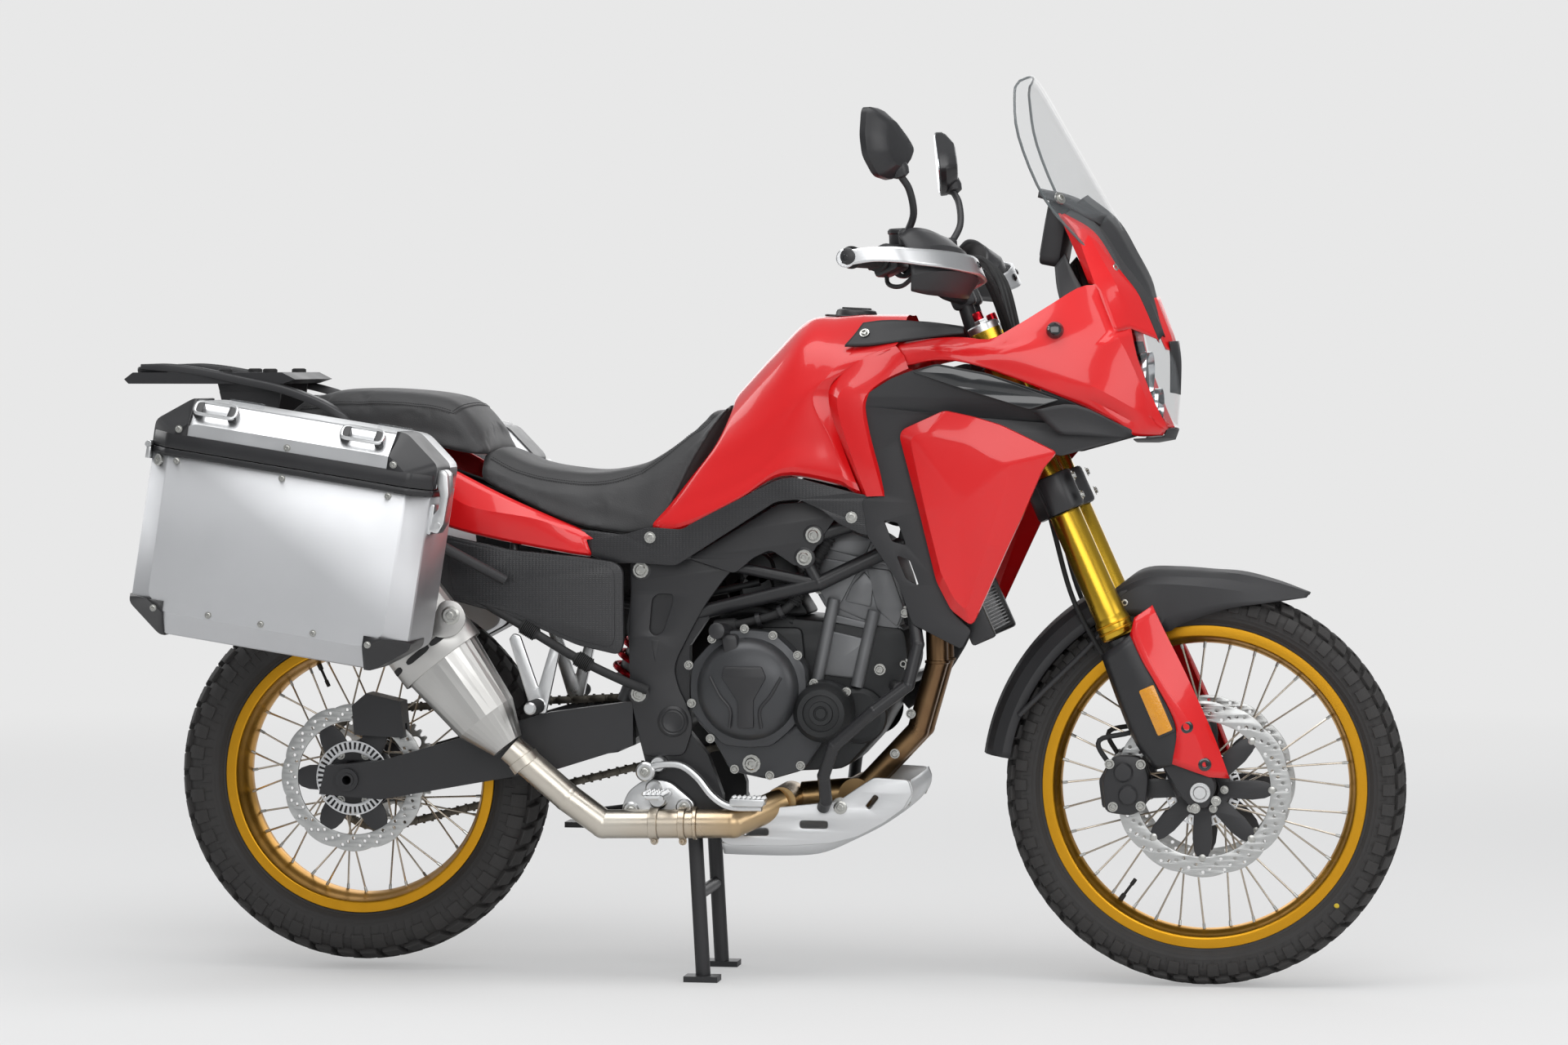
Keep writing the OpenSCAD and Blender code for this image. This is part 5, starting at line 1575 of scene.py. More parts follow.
# %% Fork tubes, caps and legs
FORK_FOOT = steered([25, -105, 0])
tube = lathe(
    [
        [0, -268], [24, -268], [29, -266], [30.5, -262], [30.5, -236], [29, -232], [28.4, -228], [28.4, -206],
        [27.6, -203], [27.6, 306], [26, 308], [0, 308]
    ],
    72, at=FORK_FOOT, axis=LEAN
)
piece("fork_tubes_gold", both(tube), gold_fork, "steering", ["fork_tubes"], sharp=50)
rings = join(*[
    lathe([[30.6, h], [31.4, h + 1], [31.4, h + 3], [30.6, h + 4]], 72, at=FORK_FOOT, axis=LEAN)
    for h in (-256, -244)
])
piece("fork_tube_collars", both(rings), gold_rim, "steering")
cap = join(
    lathe([[27, 306], [27, 318], [25, 320], [14, 320], [13, 316], [0, 316]], 48, at=FORK_FOOT, axis=LEAN),
    disc_plate([circle(11, 6)], 318, 328, FORK_FOOT, LEAN)
)
piece("fork_caps", both(cap), silver_cast, "steering")
piece(
    "fork_adjusters",
    both(lathe([[0, 342], [8, 342], [9, 340], [9, 328], [0, 328]], 30, at=FORK_FOOT, axis=LEAN)),
    red_anodised, "steering"
)
leg = lathe([[22, -560], [22, -300], [21, -270], [0, -268]], 48, at=FORK_FOOT, axis=LEAN)
lug = plate(
    [soft(
        steered([[
            (78, 0, -566), (70, 0, -520), (52, 0, -470), (46, 0, -430), (4, 0, -430), (2, 0, -480),
            (12, 0, -540), (18, 0, -580), (47, 0, -598)
        ]])[0][:, [0, 2]],
        14, 4
    )],
    -131, -84, 4
)
axle_end = lathe(
    [[0, 10], [10, 10], [12, 6], [12, 2], [17, 2], [18, 0], [18, -4]], 36, at=(FRONT_X, -133, FRONT_Z)
)
piece("fork_legs_black", both(join(leg, lug)), satin_black, "steering", ["fork_legs"])
piece("front_axle_nuts", both(axle_end), silver_cast, "steering")
pinch = steered([[[28, -131, -588]], [[66, -131, -590]]])[:, 0]
piece(
    "fork_pinch_bolts",
    both(join(
        bolts(pinch, RIGHT, 6, 4), bolts(steered([[30, -90, -540], [30, -118, -540]]), (-1, 0, -0.4), 5, 12)
    )),
    bolt_zinc, "steering"
)
axle_tube = lathe([[17, -84], [17, -40]], 40, at=(FRONT_X, 0, FRONT_Z))
piece("front_axle_spacers", both(axle_tube), silver_cast, "steering")

# %% [markdown]
# Each leg wears a guard in two colours. The black half wraps the leg from behind and carries an
# amber reflector, and the red half covers the front, creased along its middle.

# %% Fork guards
black_guard = net(
    [
        [(-14, 118, -284), (-2, 134, -282), (26, 141, -276), (50, 138, -270), (70, 128, -262)],
        [(-20, 116, -360), (-8, 133, -362), (24, 143, -364), (52, 141, -366), (74, 130, -366)],
        [(-22, 114, -440), (-10, 131, -440), (22, 142, -446), (56, 141, -450), (78, 128, -452)],
        [(-10, 112, -500), (0, 126, -502), (24, 141, -504), (50, 138, -508), (76, 124, -510)]
    ],
    6, 6
)
piece(
    "fork_guards_black", both(grid(steered(black_guard * [1, -1, 1]))), black_smooth, "steering",
    wall=3, sharp=40
)
front = [(99, 126, -241), (101, 122, -296), (104, 116, -372), (104, 108, -486), (99, 104, -565)]
middle = [(66, 141, -247), (60, 144, -300), (66, 145, -372), (80, 143, -462), (72, 136, -548)]
rear = [(47, 141, -272), (49, 145, -324), (54, 146, -366), (56, 146, -445), (24, 143, -502)]
inner = [(99, 112, -240), (100, 108, -296), (101, 102, -372), (100, 94, -486), (96, 92, -562)]


def steered_facets(*creases, **more):
    """Facets between crease lines measured along the steering axis, on the right-hand side."""
    V, Q, T = facets(*[np.asarray(c, float)[:, [0, 2, 1]] for c in creases], **more)
    return steered(V), Q, T


piece(
    "fork_guards_red", both(steered_facets(inner, front, middle, rear, steps=3, bulge=0.8, n=21)),
    red_lacquer, "steering", ["fork_guards"], sharp=12, wall=3
)
hole_at = steered([[72, -143, -454], [74, -138, -525]])
screws = copies(
    turned([[0, 1], [4, 1], [5, 3], [8, 3.5], [11, 2.5], [12, -2]], 28), stand(hole_at, (0.12, -1, 0.05))
)
piece("fork_guard_screws", both(screws), gloss_black, "steering")
reflector_at = stand(steered([36, -143, -407]), (-0.1, -1, 0.02), LEAN)
amber = copies(slab([rounded(14, 42, 3, 3)], 0, 6, 1.2), reflector_at)
frame_amber = copies(slab([rounded(17, 46, 4, 3)], -1, 4, 1.2), reflector_at)
piece("amber_reflectors", both(amber), amber_lens, "steering")
piece("reflector_frames", both(frame_amber), black_grained, "steering")

# %% [markdown]
# The front brakes are radial four-piston calipers: a body of two halves bolted together across
# the disc, hung from the leg by two long bolts, with a hose from the top.

# %% Calipers and brake hoses
body_line = soft(
    np.array([
        (-166, -40), (-172, 18), (-152, 60), (-104, 58), (-90, 24), (-96, -30), (-120, -46)
    ]) + [FRONT_X, FRONT_Z],
    12, 4
)
half_in, half_out = plate([body_line], -64, -44, 5), plate([body_line], -102, -78, 6)
bridge = plate(
    [soft(
        np.array([
            (-172, -34), (-178, 14), (-160, 48), (-150, 42), (-160, 12), (-156, -34)
        ]) + [FRONT_X, FRONT_Z],
        5, 3
    )],
    -84, -60, 2
)
pots = join(*[
    lathe([[17, 0], [17, 5], [14, 8], [0, 9]], 30, at=(FRONT_X + x, -101, FRONT_Z + z))
    for x, z in ((-134, 30), (-126, -10))
])
piece(
    "front_caliper_bodies", both(join(half_in, half_out, bridge, pots)), satin_black, "steering",
    ["front_calipers"]
)
spots = [[FRONT_X + x, -103, FRONT_Z + z] for x, z in ((-158, 44), (-104, 44), (-104, -28), (-152, -30))]
piece("front_caliper_bolts", both(bolts(spots, RIGHT, 6, 6)), bolt_zinc, "steering")
hose = pipe(
    [
        (FRONT_X - 158, -92, FRONT_Z + 40), (FRONT_X - 176, -98, FRONT_Z + 84),
        *steered([[-6, -88, -420], [-16, -74, -300], [-26, -66, -180], [-10, -60, -60], [6, -46, 40]])
    ],
    4.4, 12
)
banjo = lathe(
    [[0, 7], [6, 7], [8, 4], [8, -4], [6, -7], [0, -7]], 24, at=(FRONT_X - 158, -92, FRONT_Z + 42), axis=RIGHT
)
piece("front_brake_hoses", both(join(hose, banjo)), soft_rubber, "steering")

# %% [markdown]
# The mudguard is two mouldings. A beak reaches forward above the tyre with a sharp crease along
# its side, and a plain arch runs down behind the wheel.

# %% Front mudguard
beak = facets(
    [
        (1352, 696, 0), (1394, 724, 0), (1451, 727, 0), (1514, 723, 0), (1566, 719, 0), (1624, 704, 0),
        (1678, 684, 0)
    ],
    [
        (1346, 690, 40), (1390, 718, 40), (1446, 722, 40), (1510, 719, 38), (1563, 715, 34), (1622, 701, 24),
        (1678, 683, 8)
    ],
    [
        (1344, 684, 66), (1384, 704, 70), (1420, 712, 68), (1476, 711, 66), (1534, 708, 60), (1600, 696, 42),
        (1678, 682, 12)
    ],
    [
        (1348, 672, 78), (1384, 694, 82), (1420, 700, 80), (1476, 698, 76), (1536, 692, 68), (1606, 682, 48),
        (1676, 681, 14)
    ],
    [
        (1358, 650, 82), (1404, 640, 84), (1435, 618, 76), (1462, 632, 74), (1534, 657, 68), (1606, 668, 54),
        (1672, 676, 18)
    ],
    steps=3, bulge=0.5, n=37
)
arch_at = np.radians(np.linspace(116, 172, 29))
across = np.array(
    [
        (338, -62), (352, -62), (370, -52), (381, -36), (387, -14), (388, 0), (387, 14), (381, 36), (370, 52),
        (352, 62), (338, 62)
    ],
    float
)
arch = np.stack(
    [
        FRONT_X + across[:, 0] * np.cos(arch_at)[:, None], np.broadcast_to(across[:, 1], (29, 11)),
        FRONT_Z + across[:, 0] * np.sin(arch_at)[:, None]
    ],
    -1
)
piece(
    "front_mudguard", join(both(beak), grid(arch)), black_grained, "steering", ["front_fender"],
    sharp=14, wall=3
)
brace = join(
    plate(
        [soft(
            np.array([(1338, 640), (1352, 690), (1420, 690), (1436, 640), (1400, 600), (1352, 604)]), 14, 4
        )],
        -80, -72, 2
    ),
    pipe([(1345, -70, 650), (1310, -66, 600), (1230, -66, 520), (1180, -64, 470)], 5)
)
piece("mudguard_braces", both(brace), black_grained, "steering")
piece("mudguard_bolts", both(bolts([[1364, -80, 668], [1400, -80, 624]], RIGHT, 6, 4)), bolt_zinc, "steering")

# %% [markdown]
# ## Clamps, bars and controls
# Two forged clamps hold the tubes, each slit and pinched by bolts. Risers lift the bar, which
# is bent from one tube. The grips are ribbed rubber, and the switch boxes split along the bar.

# %% Clamps and risers
yoke = soft(
    np.array([
        (-26, -40), (-34, 0), (-26, 40), (0, 92), (6, 140), (46, 142), (62, 118), (64, 96), (46, 60), (40, 0),
        (46, -60), (64, -96), (62, -118), (46, -142), (6, -140), (0, -92)
    ]),
    12, 4
)
bores = [circle(27.7, 48, (25, s * 105))[::-1] for s in (-1, 1)]
low_clamp, top_clamp = slab([yoke] + bores, -34, 34, 6), slab([yoke] + bores, 247, 278, 4)
stem = lathe(
    [[15, 30], [26, 34], [26, 60], [24, 64], [24, 232], [26, 236], [26, 246]], 40, at=steered([0, 0, 0]),
    axis=LEAN
)
nut = lathe([[0, 296], [14, 296], [18, 292], [18, 278]], 6, at=steered([0, 0, 0]), axis=LEAN)
riser = join(
    *[pipe(steered([[0, s * 44, 270], [2, s * 44, 320], [7, s * 44, 366]]), 14, 20) for s in (-1, 1)],
    *[
        copies(slab([rounded(21, 17, 9, 4)], -14, 14, 3), stand(steered([7, s * 44, 378]), RIGHT, LEAN))
        for s in (-1, 1)
    ]
)
piece(
    "clamps_cast", join(steered_part(low_clamp), steered_part(top_clamp), stem, riser), satin_black,
    "steering", ["triple_clamps"]
)
pinches = steered([[66, s * 128, h] for s in (-1, 1) for h in (-18, 18, 262)])
piece(
    "clamp_bolts",
    join(
        bolts(pinches, (0.91, 0, 0.41), 6, 5),
        bolts(steered([[x, s * 44, 396] for x in (-8, 22) for s in (-1, 1)]), LEAN, 5, 5), nut
    ),
    bolt_zinc, "steering"
)

# %% [markdown]
# A handlebar is one drawn tube with short bends between straight runs, so each straight keeps two
# points near its ends. Grips, weights and switch boxes are threaded onto the end of its axis, and
# the cables leave in loose curves that let the bars turn.

# %% Bar, grips and switches
bar_line = [
    (-94, -452, 492), (-52, -235, 472), (-8, -120, 392), (7, -70, 378), (7, 70, 378), (-8, 120, 392),
    (-52, 235, 472), (-94, 452, 492)
]
bar_bend = np.concatenate([
    [bar_line[0]],
    [np.array(a) * (1 - t) + np.array(b) * t for a, b in zip(bar_line, bar_line[1:]) for t in (0.12, 0.88)],
    [bar_line[-1]]
])
piece("bar_tube", pipe(steered(bar_bend), 11, 24), satin_black, "steering", ["handlebar"])
axis_out = steered([-93, -446, 491]) - steered([-56, -256, 474])
length = np.linalg.norm(axis_out)
ribs = [
    [r, h] for k in range(26)
    for r, h in ((16.6, 74 + k * 4.4), (16.6, 75.8 + k * 4.4), (15.4, 76.4 + k * 4.4), (15.4, 77.8 + k * 4.4))
]
grip = lathe(
    [[11, 66], [21, 66], [21, 71], [17, 73]] + ribs + [[19, 190], [19, 194], [12, 194]], 32,
    at=steered([-56, -256, 474]), axis=axis_out
)
piece("grips_rubber", both(grip), soft_rubber, "steering")
weight = lathe(
    [[0, 12], [9, 12], [14, 9], [15, 0], [13, -12], [11, -12]], 32, at=steered([-95, -458, 493]),
    axis=axis_out
)
piece("bar_end_weights", both(weight), satin_black, "steering")
box_at = stand(steered([-58, -284, 476]), axis_out, LEAN)
switch = copies(
    join(
        slab([soft([[-24, -26], [22, -26], [26, 14], [14, 24], [-20, 22]], 9, 4)], -34, 26, 5),
        slab([soft([[-34, -6], [-22, -10], [-22, 14], [-32, 10]], 3, 3)], -20, 16, 2),
        slab([soft([[14, -14], [34, -10], [32, 8], [16, 10]], 4, 3)], -26, 6, 2)
    ),
    box_at
)
clamp_ring = lathe(
    [[12, -8], [19, -8], [20, -5], [20, 5], [19, 8], [12, 8]], 28, at=steered([-46, -214, 458]), axis=axis_out
)
piece("switch_boxes", both(join(switch, clamp_ring)), black_smooth, "steering")
keys = copies(
    join(
        slab([soft([[-39, -4], [-33, -4], [-33, 3], [-39, 3]], 2, 3)], -14, -4, 1),
        slab([soft([[-30, 14], [-24, 12], [-22, 20], [-28, 22]], 2, 3)], -8, 6, 1)
    ),
    box_at
)
piece("switch_keys", both(keys), red_anodised, "steering")
lever = along(
    smooth(
        steered([
            [-34, -236, 466], [-6, -252, 466], [2, -300, 466], [-8, -370, 468], [-30, -436, 472],
            [-34, -446, 473]
        ]),
        6
    ),
    circle(6, 12) * [1, 0.62], scale=np.interp(np.arange(31), [0, 8, 26, 30], [1.3, 1.2, 1, 1.25])
)
piece("hand_levers", both(lever), satin_black, "steering")
tank_pot = lathe(
    [[0, 0], [19, 0], [21, 4], [21, 26], [23, 28], [23, 33], [20, 36], [0, 36]], 32,
    at=steered([-34, -236, 484]), axis=(-0.05, 0, 1)
)
piece("brake_fluid_pot", tank_pot, black_smooth, "steering")
cables = join(*[
    pipe(
        steered([
            [-30 + k * 6, s * (232 - k * 9), 468 - k * 6], [34 + k * 3, s * (196 - 6 * k), 446],
            [70 - k * 4, s * (128 - k * 8), 392], [64 - k * 5, s * (70 - 7 * k), 300],
            [46 - k * 4, s * 30, 210]
        ]),
        4.2 + (k == 1), 10
    )
    for s in (-1, 1) for k in range(3)
])
bight = both(pipe(steered([[-62, -262, 470], [-76, -262, 440], [-52, -290, 424], [-14, -330, 432]]), 4, 10))
piece("bar_cables", join(cables, bight), soft_rubber, "steering")

# %% [markdown]
# A bright aluminium strap guards each hand, from the bar end round the front to the bar clamp.
# The dark deflector on it is folded along a crease, so that wind runs off both faces.

# %% Hand guards
strap_top = np.array(
    [
        (-100, 463, 505), (-60, 463, 494), (-22, 454, 478), (6, 435, 463), (38, 399, 446), (62, 350, 431),
        (77, 300, 419), (75, 250, 409), (50, 214, 403)
    ],
    float
)
strap_rows = np.stack([
    strap_top - np.outer(np.array([26, 26, 28, 30, 32, 34, 35, 35, 30]) * share, [0, 0, 1])
    for share in (0, 0.33, 0.67, 1)
])
piece(
    "hand_guard_straps", both(grid(steered(net(strap_rows, 2, 8) * [1, -1, 1]))), brushed_edge, "steering",
    wall=5, sharp=40
)
strap_end = lathe(
    [[0, -3], [14, -3], [16, -1.5], [16, 1.5], [14, 3], [0, 3]], 36, at=steered([-99, -464, 492])
)
piece("hand_guard_ends", both(strap_end), brushed_edge, "steering")
piece(
    "hand_guard_screws",
    both(join(
        bolts(steered([[-99, -467, 492]]), (-0.1, -1, 0.02), 7, 3),
        bolts(steered([[78, -250, 392], [80, -292, 402]]), (0.95, -0.2, 0.3), 5, 3)
    )),
    gloss_black, "steering"
)
shield = steered_facets(
    [(-10, 402, 494), (10, 380, 499), (28, 336, 490), (42, 296, 474), (50, 250, 460), (42, 226, 436)],
    [(-4, 416, 458), (28, 384, 458), (50, 338, 450), (64, 294, 438), (63, 250, 426), (44, 224, 410)],
    [(-14, 428, 424), (26, 390, 414), (54, 340, 400), (67, 292, 388), (63, 248, 380), (44, 224, 378)],
    [(-28, 408, 402), (-10, 382, 388), (14, 336, 374), (31, 292, 364), (37, 252, 362), (34, 230, 366)],
    steps=4, bulge=1.5, n=25
)
piece(
    "hand_guard_shields", both(shield), satin_black, "steering", ["handguards"], wall=3,
    sharp=14
)

# %% [markdown]
# Each mirror is a flat glass in a shell that swells behind it to a blunt ridge. The head is toed
# in, so that the glass looks back past the rider, and a knuckle joins it to the bent stem.

# %% Mirrors
head_line = soft(
    np.array([
        (-62, 58), (-18, 56), (42, 14), (66, -12), (44, -40), (4, -60), (-40, -54), (-70, -22), (-74, 12)
    ]),
    11, 5
)
head_at = [
    stand(steered([34, -372, 644]), (math.cos(math.radians(toe)), -math.sin(math.radians(toe)), 0.08), UP)
    for toe in (23, 9)
]


def pair(part):
    """The head on both sides, each turned to its own angle as a rider sets it."""
    return join(copies(part, head_at[0]), mirrored(copies(part, head_at[1])))


rings = [
    (1.0, -13, 0, 0), (1.03, -11, 0, 0), (1.02, -1, 0, 0), (0.94, 6, 1, 0), (0.66, 19, 6, -2),
    (0.54, 21, 8, -3), (0.2, 22, 9, -3)
]
shell = drum(np.stack([
    np.column_stack([head_line * k + [dx, dz], np.full(len(head_line), h)]) for k, h, dx, dz in rings
]))
piece("mirror_shells", pair(shell), black_smooth, "steering", ["mirrors"], sharp=22)
pane = slab([head_line * 0.93], -14.5, -12, 0.8)
piece("mirror_panes", pair(pane), mirror_glass, "steering")
stalk = join(
    pipe(
        steered([
            [-14, -300, 494], [-8, -304, 500], [18, -322, 524], [30, -342, 562], [28, -358, 590],
            [32, -366, 610]
        ]),
        6.2, 16
    ),
    lathe(
        [[8, -14], [15, -10], [17, 0], [15, 14], [9, 22]], 28, at=steered([30, -364, 598]),
        axis=steered([34, -372, 640]) - steered([30, -364, 598])
    ),
    lathe(
        [[10, -6], [13, -4], [13, 16], [10, 20], [7, 22]], 24, at=steered([-14, -300, 488]),
        axis=(-0.1, -0.1, 1)
    )
)
piece("mirror_stalks", both(stalk), satin_black, "steering")

# %% [markdown]
# ## Engine
# The castings are drawn as side outlines with softened corners, set one over another like the
# real covers: the gasket face lowest, the domed clutch cover on it, a ring of bolts round the rim.

# %% Crankcase, cylinders and head
def shape(points, radius=8):
    """A softened outline in the side view."""
    return soft(np.array(points, float), radius, 4)


def cut(points, radius, y0, y1, edge=1.2):
    """A plate of one softened outline, from y0 to y1 across."""
    return plate([shape(points, radius)], y0, y1, edge)


case_line = [
    (648, 470), (650, 596), (700, 632), (760, 640), (985, 622), (992, 560), (972, 505), (930, 430),
    (880, 376), (700, 366), (660, 396)
]
case = join(
    cut(case_line, 16, -106, 106, 6), cut([(690, 560), (728, 622), (806, 622), (812, 560)], 12, -118, 96, 5),
    lathe([[0, 122], [40, 122], [48, 116], [50, 104]], 48, at=(905, 0, 470)),
    lathe([[0, -122], [40, -122], [48, -116], [50, -104]], 48, at=(905, 0, 470))
)
piece("crankcase", case, case_black, "chassis", ["engine_case"])
barrel = [(843, 640), (821, 530), (888, 498), (930, 560), (985, 620), (940, 652), (864, 676)]
head_box = [
    (873, 800), (931, 779), (952, 764), (974, 706), (988, 655), (972, 616), (941, 622), (864, 655),
    (848, 652), (828, 686), (835, 754)
]
block = join(
    cut(barrel, 8, -100, 100, 5), cut(head_box, 9, -103, 103, 5),
    *[
        cut(b, 5, s * 103 - 4, s * 103 + 4, 2.5) for s in (-1, 1)
        for b in (
            [(878, 794), (928, 775), (914, 742), (842, 760), (842, 770)],
            [(836, 744), (910, 733), (873, 664), (852, 658), (834, 688)],
            [(934, 770), (950, 758), (960, 730), (922, 736), (926, 760)],
            [(918, 728), (960, 722), (984, 656), (972, 624), (936, 654)],
            [(914, 720), (930, 700), (926, 658), (880, 668), (892, 696)]
        )
    ]
)
posts = both(join(
    *[
        along(np.array([a, b]), circle(11, 16), up=LEFT)
        for a, b in (([862, -108, 672], [833, -112, 530]), ([932, -108, 652], [902, -112, 520]))
    ],
    *[
        cut(b, 4, -110, -102, 2.5)
        for b in (
            [(858, 646), (928, 630), (930, 618), (856, 632)], [(850, 618), (922, 602), (908, 532), (836, 540)]
        )
    ]
))
piece("cylinders", join(block, posts), cast_grey, "chassis", sharp=28)

# %% [markdown]
# The clutch cover is a flat skirt, a scalloped rim and a turned dome, one over another, as its
# casting is machined. The smaller cover ahead of it is turned in steps. Both are painted darker
# than the cylinders, and a plain web stands where a cover could carry a name.

# %% Right-hand covers
rim = 102 + 4 * np.exp(-(((np.degrees(np.arctan2(*(circle(1, 96).T[::-1]))) % 45) - 22) / 9.0) ** 2)
skirt = shape(
    [
        (616, 548), (612, 500), (622, 462), (654, 428), (684, 372), (754, 358), (814, 376), (846, 424),
        (862, 440), (820, 470), (806, 560), (770, 608), (700, 612)
    ],
    12
)
clutch = join(
    plate([skirt], -140, -106, 5), plate([circle(1, 96) * rim[:, None] + [720, 518]], -166, -112, 4),
    lathe(
        [[0, 198], [40, 197], [70, 192], [80, 184], [86, 176], [89, 168], [96, 166], [96, 150]], 96,
        at=(720, 0, 518)
    )
)
piece("clutch_cover", clutch, cover_dark, "chassis", ["engine_covers"], sharp=30)
web = join(
    cut(
        [(683, 558), (749, 559), (757, 540), (735, 500), (735, 452), (707, 452), (707, 498), (679, 540)], 4,
        -201, -192, 2
    ),
    *[
        along(
            smooth(
                [
                    (720 + s * 62, -192, 540), (720 + s * 44, -197, 508), (720 + s * 26, -198, 484),
                    (720 + s * 28, -196, 452)
                ],
                5
            ),
            circle(3, 8)
        )
        for s in (-1, 1)
    ]
)
piece("clutch_cover_web", web, satin_black, "chassis")
plug = join(
    lathe([[0, 202], [9, 202], [14, 200], [15, 184], [15, 150]], 32, at=(690, 0, 600), axis=(-0.1, -1, 0.1)),
    cut([(676, 612), (704, 614), (708, 572), (684, 566)], 10, -190, -150, 5)
)
piece("oil_filler", plug, satin_black, "chassis")
pulse = join(
    cut(
        [(796, 486), (806, 528), (848, 534), (892, 520), (904, 476), (888, 436), (848, 424), (806, 440)], 18,
        -152, -108, 5
    ),
    lathe(
        [
            [0, 186], [9, 186], [10, 184], [12, 184], [13, 187], [20, 187], [21, 183], [31, 182], [32, 186],
            [41, 185], [50, 172], [52, 160], [53, 146]
        ],
        80, at=(850, 0, 478)
    )
)
piece("pulse_cover", pulse, case_black, "chassis", sharp=26)
left = join(
    lathe(
        [
            [0, -184], [30, -184], [34, -181], [46, -182], [56, -176], [62, -168], [78, -166], [82, -160],
            [82, -118]
        ],
        80, at=(851, 0, 480)
    ),
    cut([(650, 420), (676, 388), (740, 392), (748, 470), (716, 520), (662, 500)], 20, 128, 150, 4)
)
piece("generator_cover", left, cover_dark, "chassis")
rim_spots = [(657, 604), (714, 622), (764, 611), (807, 577), (616, 558), (621, 492), (654, 431)]
piece(
    "cover_bolts",
    join(
        bolts([[x, -167, z] for x, z in rim_spots], RIGHT, 5.5, 6),
        bolts([[x, -141, z] for x, z in ((692, 376), (754, 366), (808, 384), (852, 436))], RIGHT, 5.5, 6),
        bolts([[833, -152, 528], [890, -152, 514]], RIGHT, 5.5, 6), bolts([[722, -141, 386]], RIGHT, 11, 9),
        bolts(
            [[851 + 72 * math.cos(a), 166, 480 + 72 * math.sin(a)] for a in np.arange(8) * math.pi / 4], LEFT,
            5.5, 6
        ),
        bolts([[983, -104, 560], [942, -108, 550], [835, -104, 690], [985, -104, 650]], RIGHT, 7, 7)
    ),
    bolt_zinc, "chassis"
)

# %% [markdown]
# Behind the clutch cover sit the throttle bodies and the starter, and a ribbed boot carries the
# wiring down from the tank. A hose runs from the head to the radiator.

# %% Intake, wiring and hoses
intake = join(
    *[lathe([[0, 96], [26, 96], [30, 90], [30, 40], [24, 36]], 32, at=(724, 0, z)) for z in (722, 690)],
    lathe([[0, 90], [17, 90], [20, 86], [20, 20]], 28, at=(756, 0, 700)),
    cut([(690, 742), (780, 752), (800, 700), (770, 660), (690, 664)], 14, -80, 80, 6),
    *[
        pipe([(640, -86, 680), (690, -90, 690), (730, -96, 700)], 7),
        pipe([(660, -84, 640), (720, -92, 650), (790, -98, 630)], 9),
        pipe([(650, -70, 660), (720, -80, 668), (800, -84, 660)], 6)
    ],
    lathe([[0, -110], [30, -110], [34, -104], [34, -20]], 40, at=(690, 0, 670)),
    cut([(664, 660), (780, 690), (812, 640), (660, 628)], 12, -60, 60, 5)
)
piece("throttle_bodies", intake, case_black, "chassis")
boot_line = smooth([(872, -118, 806), (842, -122, 756), (812, -124, 698), (792, -126, 665)], 14)
ripple = 1 + 0.13 * np.cos(np.arange(len(boot_line)) * math.pi)
boot = join(
    along(boot_line, circle(11, 14), scale=ripple),
    pipe([(794, -126, 668), (772, -128, 650), (733, -130, 636), (690, -128, 626), (662, -120, 622)], 7.5, 14),
    lathe(
        [[0, -22], [12, -22], [13, -18], [13, 14], [9, 20]], 24, at=(676, -124, 624), axis=(1, 0, 0.1),
        up=LEFT
    )
)
piece("wiring_boot", boot, soft_rubber, "chassis")
clips = join(*[
    lathe([[10.5, -4], [12.6, -4], [12.6, 4], [10.5, 4]], 24, at=p, axis=d)
    for p, d in (((772, -128, 650), (-1, 0, -0.5)), ((733, -130, 636), (-1, 0, -0.3)))
])
piece("wiring_clips", clips, black_smooth, "chassis")
hoses = join(
    pipe([(985, -60, 640), (1020, -74, 640), (1052, -90, 632), (1070, -104, 616)], 17, 20),
    pipe([(960, 70, 480), (1010, 84, 520), (1050, 96, 580), (1064, 104, 612)], 15, 18),
    lathe([[18, -5], [19.6, -5], [19.6, 5], [18, 5]], 28, at=(1022, -75, 640), axis=(1, -0.4, 0))
)
piece("radiator_hoses", hoses, soft_rubber, "chassis")

# %% [markdown]
# The radiator core is a stack of flat tubes with folded fins between them, and a fan behind.

# %% Radiator
RADIATOR_LEAN = math.radians(24)
core_at = stand((1094, 0, 686), (math.cos(RADIATOR_LEAN), 0, math.sin(RADIATOR_LEAN)), UP)
tubes = np.linspace(-78, 78, 27)
core = copies(
    join(
        *[
            slab([np.array([[-146, z - 1.3], [146, z - 1.3], [146, z + 1.3], [-146, z + 1.3]])], -15, 17, 0.4)
            for z in tubes
        ],
        slab([np.array([[-146.0, -80], [146, -80], [146, 80], [-146, 80]])], -12, 11, 0.5)
    ),
    core_at
)
tanks = copies(
    join(*[
        slab(
            [soft([[s * 156 - 11, -90], [s * 156 + 11, -90], [s * 156 + 11, 90], [s * 156 - 11, 90]], 6, 4)],
            -22, 22, 5
        )
        for s in (-1, 1)
    ]),
    core_at
)
piece("radiator_core", core, cast_grey, "chassis", ["radiator"], sharp=40)
fan_ring = copies(
    join(
        turned([[68, -24], [74, -24], [76, -20], [76, -14], [68, -14]], 60),
        turned([[0, -32], [22, -32], [24, -28], [24, -14]], 32),
        *[
            slab(
                [soft(
                    [[20, -6], [68, -15], [66, 12], [22, 8]] @ np.array([
                        [math.cos(a), math.sin(a)], [-math.sin(a), math.cos(a)]
                    ]),
                    4, 3
                )],
                -21, -18, 0.6
            )
            for a in np.arange(6) * math.pi / 3
        ]
    ),
    core_at
)
piece("radiator_tanks", join(tanks, fan_ring), black_smooth, "chassis")

